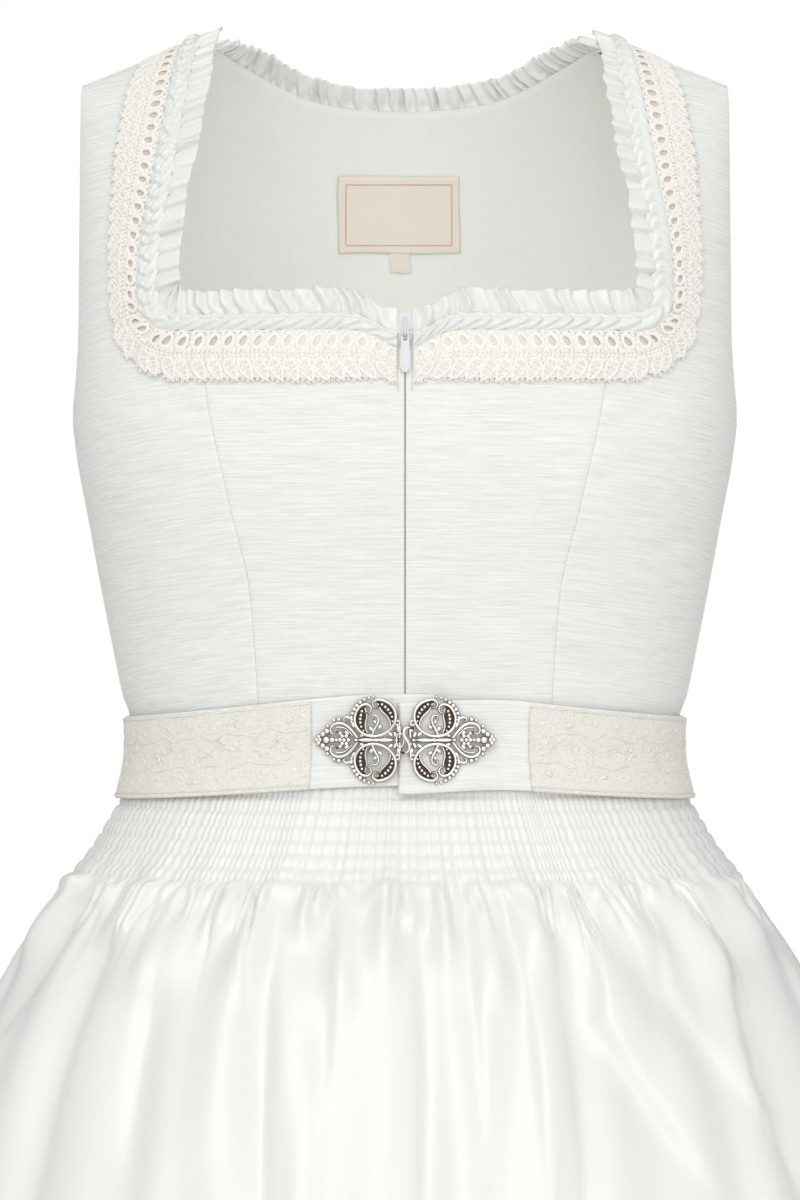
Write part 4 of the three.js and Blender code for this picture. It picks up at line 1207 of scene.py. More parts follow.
@dataclass(frozen=True)
class NetGround(Finish):
    """The ground of the lace: a fine knotted net of ivory thread over the cloth, seen as close speckles, with
    painted shade in its holes.
    """

    name: str = "lace_ground"
    light: str = "#e9e6df"
    # The darker tone is painted shade, for the holes between the net's threads.
    dark: str = "#e9e2d6"
    # Painted shade, beige, seen in the open eyelets.
    hole_shade: str = "#d6ccb6"
    mesh: float = 1.5
    relief: float = 0.3

    def surface(self, tree: Tree) -> Socket:
        """Cells for the meshes: threads light and raised, holes darkened with painted shade, and painted
        beige shade in the open eyelets.

        Args:
            tree: The material's node tree.

        Returns:
            The shader's output.
        """
        threads = add_node(tree, "ShaderNodeUVMap", {"uv_map": "threads"}).outputs["UV"]
        cells = thread_pattern(tree, threads, [self.mesh] * 3, {"feature": "DISTANCE_TO_EDGE"},
                             "ShaderNodeTexVoronoi")
        # Painted shade: the middle of each cell, a hole of the net, turns darker than the threads at its
        # edges.
        ramp = add_node(tree, "ShaderNodeValToRGB", {"stops": ((0.12, self.light), (0.34, self.dark))},
                        {"Fac": cells.outputs["Distance"]})
        bump = add_node(tree, "ShaderNodeBump",
                        {"Strength": 0.6, "Distance": self.relief * MM, "invert": True},
                        {"Height": cells.outputs["Distance"]})
        # The attribute marks where beige painted shade fills the open eyelets.
        hole_shade_mask = add_node(tree, "ShaderNodeAttribute", {"attribute_name": "hole_shade"}).outputs["Fac"]
        tint = add_node(tree, "ShaderNodeMixRGB", {"Color2": colour(self.hole_shade)},
                        {"Fac": hole_shade_mask, "Color1": ramp.outputs["Color"]})
        return add_node(
            tree, "ShaderNodeBsdfPrincipled", {"Roughness": 0.8, "Sheen Weight": 0.15},
            {"Base Color": tint.outputs["Color"], "Normal": bump.outputs["Normal"]},
        ).outputs["BSDF"]


@dataclass(frozen=True)
class LabelCloth(Finish):
    """Woven taffeta label: a close smooth weave, pinkish beige with a low sheen."""

    name: str = "label_taffeta"
    tint: str = "#e4dacf"
    rib: float = 0.9
    relief: float = 0.06

    def surface(self, tree: Tree) -> Socket:
        """A fine rib along the weft, drawn coarser than the threads so that it shows.

        Args:
            tree: The material's node tree.

        Returns:
            The shader's output.
        """
        threads = add_node(tree, "ShaderNodeUVMap", {"uv_map": "threads"}).outputs["UV"]
        noise = thread_pattern(tree, threads, (self.rib * 24, self.rib), {"Detail": 1.0})
        bump = add_node(tree, "ShaderNodeBump", {"Strength": 0.4, "Distance": self.relief * MM},
                        {"Height": noise.outputs["Fac"]})
        return add_node(
            tree, "ShaderNodeBsdfPrincipled",
            {"Base Color": colour(self.tint), "Roughness": 0.62, "Sheen Weight": 0.15},
            {"Normal": bump.outputs["Normal"]},
        ).outputs["BSDF"]


@dataclass(frozen=True)
class Thread(OneColour):
    """Twisted sewing thread: its twist softens the gloss, so that it reads as a matt fine line."""

    name: str = "label_thread"
    tint: str = "#d3a48c"
    roughness: float = 0.6


@dataclass(frozen=True)
class AntiqueSilver(Finish):
    """Cast alloy, silver-plated and darkened: bright where it is rubbed, brown-black in its recesses."""

    name: str = "patinated_silver"
    bright: str = "#fbf7ef"
    dark: str = "#45362a"
    pit: float = 0.9

    def surface(self, tree: Tree) -> Socket:
        """The relief attribute blends the patina in the hollows with the rubbed metal above.

        Args:
            tree: The material's node tree.

        Returns:
            The shader's output.
        """
        relief = add_node(tree, "ShaderNodeAttribute", {"attribute_name": "relief"}).outputs["Fac"]
        place = add_node(tree, "ShaderNodeTexCoord").outputs["Object"]
        noise = add_node(tree, "ShaderNodeTexNoise", {"Scale": 1 / (self.pit * MM), "Detail": 2.0},
                         {"Vector": place})
        worn = add_node(tree, "ShaderNodeMath", {"operation": "MULTIPLY_ADD", 1: 0.35, 2: -0.17},
                        {0: noise.outputs["Fac"]})
        level = add_node(tree, "ShaderNodeMath", {"operation": "ADD"}, {0: relief, 1: worn.outputs[0]})
        tone = add_node(tree, "ShaderNodeValToRGB", {"stops": ((0.34, self.dark), (0.7, self.bright))},
                        {"Fac": level.outputs[0]})
        gloss, metal = (
            add_node(tree, "ShaderNodeMapRange",
                     {"From Min": 0.35, "From Max": upper, "To Min": dull, "To Max": rubbed},
                     {"Value": level.outputs[0]})
            for upper, dull, rubbed in ((0.65, 0.75, 0.24), (0.6, 0.0, 1.0))
        )
        return add_node(
            tree, "ShaderNodeBsdfPrincipled", {},
            {"Base Color": tone.outputs["Color"], "Roughness": gloss.outputs["Result"],
             "Metallic": metal.outputs["Result"]},
        ).outputs["BSDF"]


@dataclass(frozen=True)
class Enamel(OneColour):
    """White stove enamel on the die-cast slider and pull: smooth, glossy and slightly cool."""

    name: str = "white_enamel"
    tint: str = "#dddfe3"
    roughness: float = 0.3


@dataclass(frozen=True)
class ZipCoil(OneColour):
    """Moulded nylon coil and its woven tape, softly glossy, white but grey in the narrow gap."""

    name: str = "zip_nylon"
    tint: str = "#d9dad6"
    roughness: float = 0.5


# ---- pieces


def finished(piece: Piece, finish: Finish, nodes: Sequence[str] = (),
             body: str = BODY) -> Piece:
    """Gives a piece its finish and its place in the frame's tables.

    Args:
        piece: The piece.
        finish: Its finish.
        nodes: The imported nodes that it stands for.
        body: The body that it rides on.

    Returns:
        The piece.
    """
    piece.data.materials.clear()
    piece.data.materials.append(finish.material())
    if nodes:
        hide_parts(*nodes)
    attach(piece, body)
    LOG.info("%s: %d faces", piece.name, len(piece.data.polygons))
    return piece


def sewn(piece: Piece, cut: Cut) -> None:
    """Logs the flat cut of a piece of cloth.

    Args:
        piece: The piece.
        cut: Its cut.
    """
    LOG.info("%s: cut %.3f x %.3f m, %.4f m2", piece.name, cut.width, cut.length, cut.area)


def sheeted(grid: Grid, name: str, wall: float, finish: Finish, node: str) -> None:
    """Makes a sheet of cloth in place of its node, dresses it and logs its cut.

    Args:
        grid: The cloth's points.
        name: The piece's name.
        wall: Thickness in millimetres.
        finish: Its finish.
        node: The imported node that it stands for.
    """
    piece = finished(grid.cloth(name, wall), finish, [node])
    sewn(piece, Cut.of(grid.points))


def spaced(total: Array, count: int, edges: Sequence[float]) -> Array:
    """Shares across rows of cloth, closer at both edges, where the cloth rolls in to its seams.

    Args:
        total: The rows' widths in millimetres.
        count: How many even steps the middle has.
        edges: Distances from each edge that get a column.

    Returns:
        Shares from 0 to 1, a row for each width.
    """
    wide = np.asarray(total, dtype=float)[:, None]
    near = np.asarray([0.0, *edges])[None] / wide
    inner = mix(near[:, -1:], 1.0 - near[:, -1:], np.linspace(0.0, 1.0, count + 1)[None, 1:-1])
    return np.concatenate([near, inner, 1.0 - near[:, ::-1]], axis=1)


@dataclass(frozen=True)
class Crease:
    """A soft trough or ridge pressed into cloth along a line, fading out at both ends."""

    path: tuple[tuple[float, float], ...]
    depth: float
    width: float
    crisp: float = 1.0

    def offset(self, across: Array, up: Array) -> Array:
        """How far the crease moves the cloth out, at places across and up it.

        Args:
            across: First coordinate of the places, in the path's units.
            up: Second coordinate.

        Returns:
            The offsets in millimetres; a positive depth is a trough.
        """
        result = np.zeros(np.broadcast(across, up).shape)
        points = np.array(self.path, dtype=float)
        lengths = np.linalg.norm(np.diff(points, axis=0), axis=-1)
        walked = running(lengths)
        for number, (start, end) in enumerate(zip(points[:-1], points[1:])):
            way = end - start
            size = float(way @ way)
            share = np.clip(((across - start[0]) * way[0] + (up - start[1]) * way[1]) / size, 0.0, 1.0)
            aside, ahead = across - start[0] - share * way[0], up - start[1] - share * way[1]
            gap = np.hypot(aside, ahead) / np.where(aside * way[1] > ahead * way[0], 1.0, self.crisp)
            place = (walked[number] + share * lengths[number]) / walked[-1]
            fade = np.sin(math.pi * np.clip(place * 0.96 + 0.02, 0.0, 1.0)) ** 0.7
            result = np.maximum(result, bell(gap, self.width) * fade)
        return -self.depth * result


def creases(*rows: tuple[float, ...]) -> tuple[Crease, ...]:
    """Creases from rows of three places, a depth and a width."""
    return tuple(Crease((row[0:2], row[2:4], row[4:6]), row[6], row[7]) for row in rows)


def creased(pressed: Sequence[Crease], across: Array, up: Array) -> Array:
    """How far a panel's creases move its cloth out, all together."""
    return sum((crease.offset(across, up) for crease in pressed), np.zeros(np.broadcast(across, up).shape))


@dataclass
class Bodice:
    """The bodice: three panels at the front and back of each half, sewn at their seams, and its inside."""

    wall: float = 1.1
    seam_gap: float = 0.05
    seam_roll: float = 0.34
    roll_width: float = 1.9
    zip_half_gap: float = 0.18
    corner: float = 5.0
    corner_rise: float = 27.0
    edges: tuple[float, ...] = (0.35, 0.8, 1.5, 2.6, 4.2)
    placket: tuple[float, ...] = (9.4, 18.4)
    front_side: Table = Table(
        ("inner_x", "inner_z", "angle", "outer_z"),
        (
            (69.5, -8, 90, -8), (70.2, 11, 90, 11), (70.8, 21, 90, 21), (72.4, 48, 90, 48),
            (75.2, 78, 90, 78), (82.6, 108, 90, 108), (88.4, 134, 90, 134), (93, 155, 90, 157),
            (95.8, 172, 83, 161), (99.4, 189, 78, 172), (103, 206, 75.2, 190), (114.5, 207.2, 74.6, 208),
            (119, 214, 74.6, 226), (118, 240, 74.6, 246), (112.5, 274, 74.8, 272), (108, 304, 75.2, 297),
            (104, 331, 75.6, 314),
        ),
    )
    back_side: Table = Table(
        ("inner_x", "inner_z", "angle", "outer_z"),
        (
            (40, -8, 90, -8), (41.2, 11, 90, 11), (42, 21, 90, 21), (44, 48, 90, 48), (47, 78, 90, 78),
            (51, 108, 90, 108), (55, 134, 90, 134), (58, 155, 90, 157), (64, 195, 96, 162),
            (68.5, 230, 101.5, 172), (72, 260, 104.8, 190), (75, 286, 106.4, 214), (77, 307, 106.5, 240),
            (78.7, 324, 105.8, 265), (80, 338, 104.8, 287), (92, 344, 103.2, 309),
        ),
    )
    sewn_rows: tuple[int, int] = (10, 14)
    lining_edge: Table = Table(
        ("z", "x"),
        ((-8, 130.5), (48, 142), (108, 153.5), (150, 159), (200, 148), (250, 143), (300, 124), (338, 96)),
    )
    lining_off: float = -4.3
    lining_wall: float = 0.8
    neck_dip_reach: float = 26.0
    shoulder_in: float = 100.0
    shoulder_out: float = 160.0
    strap_rows: int = 18

    def side_panel(self, face: Face) -> tuple[Table, int]:
        """Rows of a side panel, and the last one at which it is sewn to the centre panel."""
        number = 0 if face is Face.FRONT else 1
        return (self.front_side, self.back_side)[number], self.sewn_rows[number]

    def princess_seam(self, face: Face) -> Table:
        """The seam between the centre and side panels, by height."""
        table, last = self.side_panel(face)
        return Table(("z", "x"), tuple((row[1], row[0]) for row in table.rows[:last + 1]))

    def shoulder_spot(self, face: Face, x: float) -> tuple[float, float]:
        """Angle and lift of a spot a hair short of the shoulder line.

        Args:
            face: Front or back.
            x: Distance from the middle.

        Returns:
            The angle and the lift.
        """
        angle, _ = BODICE.spot(face, x, BODICE.underarm)
        power = BODICE.front_profile if face is Face.FRONT else BODICE.back_profile
        foot = BODICE.point(angle, np.array(1.0))
        near = (self.seam_gap / abs(float(foot[1]))) ** (power / 2)
        return float(angle), 1.0 + math.acos(near) / (math.pi / 2)

    def side_grid(self, face: Face, pressed: Sequence[Crease], side: Side) -> Grid:
        """A side panel with its strap.

        Args:
            face: Front or back.
            pressed: Its creases, by distance from the middle and height.
            side: Which half; the right one is mirrored with its own creases.

        Returns:
            The panel's grid, as for the wearer's left.
        """
        table, sewn_rows = self.side_panel(face)
        count = len(table.rows)
        steps = np.linspace(0.0, count - 1.0, (count - 1) * 6 + 1)
        row = table.read(steps)
        inner = np.stack(BODICE.spot(face, row["inner_x"], row["inner_z"]), axis=-1)
        outer = np.stack(BODICE.spot_at_angle(face, row["angle"], row["outer_z"]), axis=-1)
        last_inner = self.shoulder_spot(face, self.shoulder_in)
        last_outer = self.shoulder_spot(face, self.shoulder_out)
        climb = 1.0 - (1.0 - np.linspace(0.0, 1.0, self.strap_rows + 1)[1:, None]) ** 1.7
        inner = np.vstack([inner, mix(inner[-1], np.array(last_inner), climb)])
        outer = np.vstack([outer, mix(outer[-1], np.array(last_outer), climb)])
        steps = np.concatenate([steps, count - 1.0 + climb[:, 0]])
        width = np.linalg.norm(BODICE.point(*inner.T) - BODICE.point(*outer.T), axis=-1)
        shares = spaced(width, 26, self.edges)
        joined = (steps <= sewn_rows)[:, None] & (shares < 0.5)
        outer_angle = np.interp(steps, np.arange(count), table.column("angle"))
        side_seam = (np.abs(outer_angle - 90.0) < 0.5)[:, None]
        seam = joined | (side_seam & (shares >= 0.5))
        held = np.where(seam, self.seam_gap / width[:, None], 0.0)
        risen = np.concatenate([np.zeros(len(steps) - self.strap_rows), climb[:, 0]])
        below = (1.0 - risen) * self.corner_rise
        into = np.clip(1.0 - below / self.corner, 0.0, 1.0)
        cut = self.corner * (1.0 - np.sqrt(1.0 - into**2)) * 0.8 / width
        slid = np.clip(shares, held, 1.0 - held) * (1.0 - cut[:, None])
        angle = mix(inner[:, :1], outer[:, :1], slid)
        lift = mix(inner[:, 1:], outer[:, 1:], slid)
        gap = np.minimum(shares, 1.0 - shares) * width[:, None]
        roll = -self.seam_roll * (1.0 - smoothstep(gap, 0.0, self.roll_width)) * np.where(seam, 1.0, 0.7)
        flat = BODICE.point(angle, lift)
        offset = roll + creased(pressed, flat[..., 0] * side.sign, flat[..., 2])
        return Grid(BODICE.on(angle, lift, offset), 7.0 if face is Face.FRONT else -4.0, True)

    def centre_front_grid(self, pressed: Sequence[Crease], side: Side) -> Grid:
        """Half the centre front, from the zip to the princess seam, with its stitched placket.

        Args:
            pressed: Its creases, by distance from the middle and height.
            side: Which half; the right one is mirrored with its own creases.

        Returns:
            The panel's grid, as for the wearer's left.
        """
        z = np.concatenate([np.linspace(BODICE.waist_seam, 180.0, 64),
                            np.linspace(180.0, BODICE.neck_front, 12)[1:]])
        princess = self.princess_seam(Face.FRONT)
        width = (princess.read(z, "z")["x"] - self.zip_half_gap - self.seam_gap)[:, None]
        at_zip = [0.0, 0.35, 0.8, 1.4, 2.4, 4.0, 6.0]
        for line in self.placket:
            at_zip += [line + step for step in (-1.5, -0.7, 0.0, 0.7, 1.5, 3.4)]
        near = np.array(sorted(at_zip)) + 0.0 * width
        far = width - [*self.edges[::-1], 0.0]
        even = mix(near[:, -1:], far[:, :1], np.linspace(0, 1, 19)[None, 1:-1])
        distance = np.concatenate([near, even, far], axis=1)
        climb = (z - BODICE.waist_seam) / (BODICE.neck_front - BODICE.waist_seam)
        across = distance / width * princess.rows[-1][1]
        dip = BODICE.neck_dip * smoothstep(self.neck_dip_reach - across, 0.0, self.neck_dip_reach)
        height = mix(BODICE.waist_seam, BODICE.neck_front - dip, climb[:, None])
        x = self.zip_half_gap + distance
        lines = sum(bell(distance - line, 0.7) for line in self.placket)
        seam_side = width - distance
        roll = -self.seam_roll * (1.0 - smoothstep(seam_side, 0.0, self.roll_width))
        lip = 0.4 * bell(distance - 1.6, 1.7) - 0.4 * (1.0 - smoothstep(distance, 0.0, 0.7))
        board = 0.3 * (1.0 - smoothstep(distance, self.placket[1] - 0.6, self.placket[1] + 1.2))
        offset = roll + lip + board - 0.32 * lines
        offset = offset + creased(pressed, x * side.sign, height)
        return Grid(BODICE.at(Face.FRONT, x, height, offset), 0.5, True)

    def back_rows(self, edge: Table, inset: float, off: float, columns: int,
                  pressed: Sequence[Crease] = ()) -> Grid:
        """Cloth across the back, scooped more and more like the neck towards its top.

        Args:
            edge: Half its width at each height.
            inset: How far it stops short of that.
            off: How far it lies off the form.
            columns: How many even steps it has across.
            pressed: Its creases, by distance from the middle and height.

        Returns:
            The cloth's grid.
        """
        seam = self.princess_seam(Face.BACK)
        z = np.linspace(BODICE.waist_seam, seam.rows[-1][0], 84)
        neck_there = BACK_NECK.read(seam.read(z, "z")["x"], "x")["z"]
        climb = (z - BODICE.waist_seam) / (neck_there - BODICE.waist_seam)
        half = edge.read(z, "z")["x"] - inset
        shares = spaced(2 * half, columns, self.edges)
        x = mix(-half[:, None], half[:, None], shares)
        neck = BACK_NECK.read(np.abs(x), "x")["z"]
        height = mix(BODICE.waist_seam, neck, climb[:, None])
        gap = np.minimum(shares, 1.0 - shares) * 2 * half[:, None]
        to_shell = max(-off - self.wall - 0.3, 0.0)
        roll = (to_shell * (1.0 - smoothstep(gap, 0.0, 12.0)) if off
                else -self.seam_roll * (1.0 - smoothstep(gap, 0.0, self.roll_width)))
        offset = off + roll + creased(pressed, x, height)
        angle, lift = BODICE.spot(Face.BACK, x, height)
        return Grid(BODICE.on(angle, lift, offset)[:, ::-1])

    FRONT_CREASES = {
        Side.LEFT: creases(
            (94, 150, 112, 158, 132, 170, 1.1, 4.5), (90, 128, 108, 132, 126, 140, 0.8, 5.0),
            (76, 70, 96, 64, 118, 66, 0.8, 4.6), (74, 40, 92, 32, 112, 30, 1.0, 4.0),
            (150, 100, 128, 96, 112, 90, 0.9, 4.6), (128, 240, 140, 232, 150, 220, 0.7, 4.0),
            (126, 280, 140, 284, 154, 284, 0.6, 3.6),
        ),
        Side.RIGHT: creases(
            (-94, 152, -110, 164, -128, 180, 1.0, 4.6), (-88, 120, -108, 126, -130, 130, 0.9, 5.0),
            (-76, 58, -94, 50, -118, 52, 0.9, 4.4), (-74, 28, -90, 22, -108, 22, 0.9, 3.8),
            (-152, 112, -132, 104, -116, 102, 0.8, 4.4), (-130, 226, -140, 236, -150, 240, 0.6, 3.8),
        ),
    }
    CENTRE_CREASES = {
        Side.LEFT: creases(
            (24, 112, 42, 108, 66, 114, 0.5, 4.0), (22, 60, 46, 64, 68, 60, 0.45, 4.2),
            (22, 30, 40, 26, 62, 30, 0.5, 3.4), (5, 88, 12, 86, 19, 88, 0.35, 2.4),
            (5, 44, 12, 46, 19, 44, 0.35, 2.4),
        ),
        Side.RIGHT: creases(
            (-22, 126, -44, 130, -70, 124, 0.45, 4.2), (-24, 80, -44, 76, -64, 80, 0.5, 4.0),
            (-22, 40, -44, 36, -66, 42, 0.5, 3.6), (-5, 104, -12, 106, -19, 104, 0.35, 2.4),
            (-5, 60, -12, 58, -19, 60, 0.35, 2.4),
        ),
    }
    BACK_CREASES = {
        Side.LEFT: creases(
            (62, 120, 84, 112, 112, 114, 1.0, 5.0), (52, 60, 78, 52, 108, 54, 1.2, 4.6),
            (48, 28, 70, 22, 100, 26, 1.0, 4.0), (84, 230, 104, 210, 118, 190, 0.9, 5.4),
        ),
        Side.RIGHT: creases(
            (-60, 134, -84, 128, -110, 132, 0.9, 5.2), (-50, 72, -76, 62, -110, 66, 1.1, 4.8),
            (-48, 36, -72, 30, -98, 34, 1.0, 4.0), (-82, 250, -100, 226, -116, 200, 0.8, 5.4),
        ),
    }
    CENTRE_BACK_CREASES = creases(
        (-30, 52, 0, 46, 28, 52, 1.1, 4.6), (-26, 26, 4, 20, 32, 26, 0.9, 3.8),
        (-34, 92, -8, 88, 20, 92, 0.7, 4.8), (-20, 290, 2, 280, 30, 288, 0.6, 5.4),
    )
    LINING_CREASES = creases(
        (-70, 300, -64, 250, -72, 190, -0.8, 7.0), (58, 304, 66, 262, 60, 214, -0.9, 6.0),
        (88, 296, 94, 250, 86, 200, 0.8, 7.0), (-98, 290, -104, 240, -96, 190, 0.8, 8.0),
        (22, 300, 28, 270, 18, 230, 0.4, 8.0),
    )

    def build(self) -> None:
        """Makes and dresses every panel."""
        slub = SlubCloth()
        for side in Side:
            for name, grid in (
                ("front_centre", self.centre_front_grid(self.CENTRE_CREASES[side], side)),
                ("front_side", self.side_grid(Face.FRONT, self.FRONT_CREASES[side], side)),
                ("back_side", self.side_grid(Face.BACK, self.BACK_CREASES[side], side)),
            ):
                node = f"{name}_{side.value}"
                sheeted(grid.on_side(side), f"{node}_cloth", self.wall, slub, node)
        seam = self.princess_seam(Face.BACK)
        sheeted(self.back_rows(seam, self.seam_gap, 0.0, 30, self.CENTRE_BACK_CREASES),
                "back_centre_cloth", self.wall, slub, "back_centre")
        sheeted(self.back_rows(self.lining_edge, 0.0, self.lining_off, 60, self.LINING_CREASES),
                "back_lining_cloth", self.lining_wall, PlainCloth(), "back_lining")


@dataclass
class Frill:
    """A satin ribbon pleated by hand along a neck edge: knife pleats of uneven width that lean over."""

    course: Course
    node: str
    seed: int
    start: float
    end: float
    reach: float = 9.8
    root: float = -3.6
    pitch: float = 8.2
    wave: float = 4.6
    slant: float = 4.6
    crest: float = 0.5
    overlap: float = 1.3
    uneven: float = 0.55
    teeth: float = 3.4
    strap_wave: float = 1.0
    wider: float = 0.0
    inward: int = -1
    base: float = 0.45
    taper: float = 0.95
    wall: float = 0.4
    fineness: float = 0.45

    def grid(self) -> Grid:
        """The ribbon's grid, root row first."""
        length = self.end - self.start
        along = np.linspace(self.start, self.end, int(length / self.fineness))
        s, share = np.meshgrid(along, np.linspace(0.0, 1.0, 14))
        walked = s - self.start
        strap = smoothstep(s, *STRAP_FROM) if self.inward < 0 else 0.0 * s
        bend = share + 0.16 * np.sin(2 * math.pi * share + 0.05 * walked)
        lean = self.slant * bend * (1.0 - 0.8 * strap)
        phase = uneven_phase(length, self.pitch, self.seed, self.uneven)(walked + lean)
        number = np.floor(phase)
        place = phase - number
        crest = mix(self.crest, 0.24, strap)
        rise = np.sin(np.clip(place / crest, 0.0, 1.0) * math.pi / 2) ** 1.5
        after = np.clip((place - crest) / (1.0 - crest), 0.0, 1.0)
        fall = np.cos(after * math.pi / 2) ** mix(1.3, 1.0, strap)
        pleat = np.where(place < crest, rise, fall)
        pleat = pleat * (0.68 + 0.32 * np.sin(2.4 * number + self.seed))
        grown = smoothstep(share, 0.0, 0.4)
        slow = np.sin(walked * 0.11 + self.seed) * np.sin(walked * 0.043)
        near_end = smoothstep(s, self.end - 10.0, self.end)
        reach = (self.reach + self.wider * strap) * (1.0 - self.taper * near_end) + (0.6 + 0.8 * strap) * slow
        reach = reach + self.teeth * strap * (pleat - 0.6)
        across = self.inward * mix(self.root, reach, share)
        off = self.base + self.wave * mix(1.0, self.strap_wave, strap) * grown * pleat + 0.5 * slow * share
        off = off + 0.35 * grown * np.sin(0.9 * walked + 5.0 * share + self.seed) * np.sin(0.37 * walked)
        shift = self.overlap * grown * (pleat - 0.3) * mix(1.0, -0.6, strap)
        return Grid(self.course.at(np.clip(s + shift, self.start, self.end), across, off))

    def build(self, side: Side, neighbour: str) -> None:
        """Makes the frill in place of its node."""
        sheeted(self.grid().on_side(side), f"{self.node}_ribbon", self.wall, Satin(), self.node)


@dataclass
class Braid:
    """A satin ribbon folded over and caught down, so that it looks like a plait of slanted leaves."""

    pitch: float = 7.6
    inner: float = 1.4
    outer: float = 10.0
    base: float = 1.0
    height: float = 3.0
    lead: float = 0.85
    wall: float = 0.5

    def grid(self, seed: int, crumple: float, way: int) -> Grid:
        """The ribbon's grid: a rope along the front, shells or crumples on the strap.

        Args:
            seed: Picks the unevenness of its leaves.
            crumple: How crushed it is on the strap.
            way: 1 or -1, the way in which its leaves point.

        Returns:
            The grid, outer edge first.
        """
        course = FRONT_NECK_COURSE
        along = np.linspace(0.1, course.length - 0.4, int(course.length / 0.5))
        s, share = np.meshgrid(along, np.linspace(0.0, 1.0, 21))
        wide = share * 2.0 - 1.0
        phase = uneven_phase(course.length, self.pitch, seed)(s)
        strap = smoothstep(s, *STRAP_FROM)
        middle = mix(-0.3, 0.0, strap)
        rope = self.lead * np.abs(wide - middle) ** 1.15
        crushed = 0.5 * np.sin(3.1 * phase + 4.0 * wide) + 0.4 * np.sin(5.3 * wide)
        shells = 0.7 * np.abs(wide) ** 1.6 + crumple * crushed
        turn = way * phase + mix(rope, shells, strap)
        place = turn - np.floor(turn)
        leaf = np.where(place < 0.8, np.sin(place / 0.8 * math.pi / 2) ** 0.75,
                        np.cos((place - 0.8) / 0.2 * math.pi / 2) ** 1.3)
        crown = (1.0 - np.abs(wide) ** 3.0) * (1.0 - 0.4 * (1.0 - strap) * bell(wide - middle, 0.2))
        vein = 0.06 * np.sin(2 * math.pi * (place * 3.0 + 0.5 * wide)) * crown
        rough = crumple * strap * np.sin(9.1 * phase + 5.0 * wide) * np.sin(4.3 * phase - 6.0 * wide)
        off = self.base + self.height * crown * (0.28 + 0.72 * leaf + vein + rough)
        scallop = 0.5 * np.sin(2 * math.pi * turn) * np.abs(wide) ** 3
        across = mix(self.inner - 2.4 * strap, self.outer, share) + scallop * np.sign(wide)
        return Grid(course.at(s, across, off)[::-1])

    def build(self, side: Side, seed: int, crumple: float) -> None:
        """Makes the braid of one side."""
        node = f"neck_braid_{side.value}"
        grid = self.grid(seed, crumple, side.sign).on_side(side)
        sheeted(grid, f"{node}_ribbon", self.wall, Satin(), node)


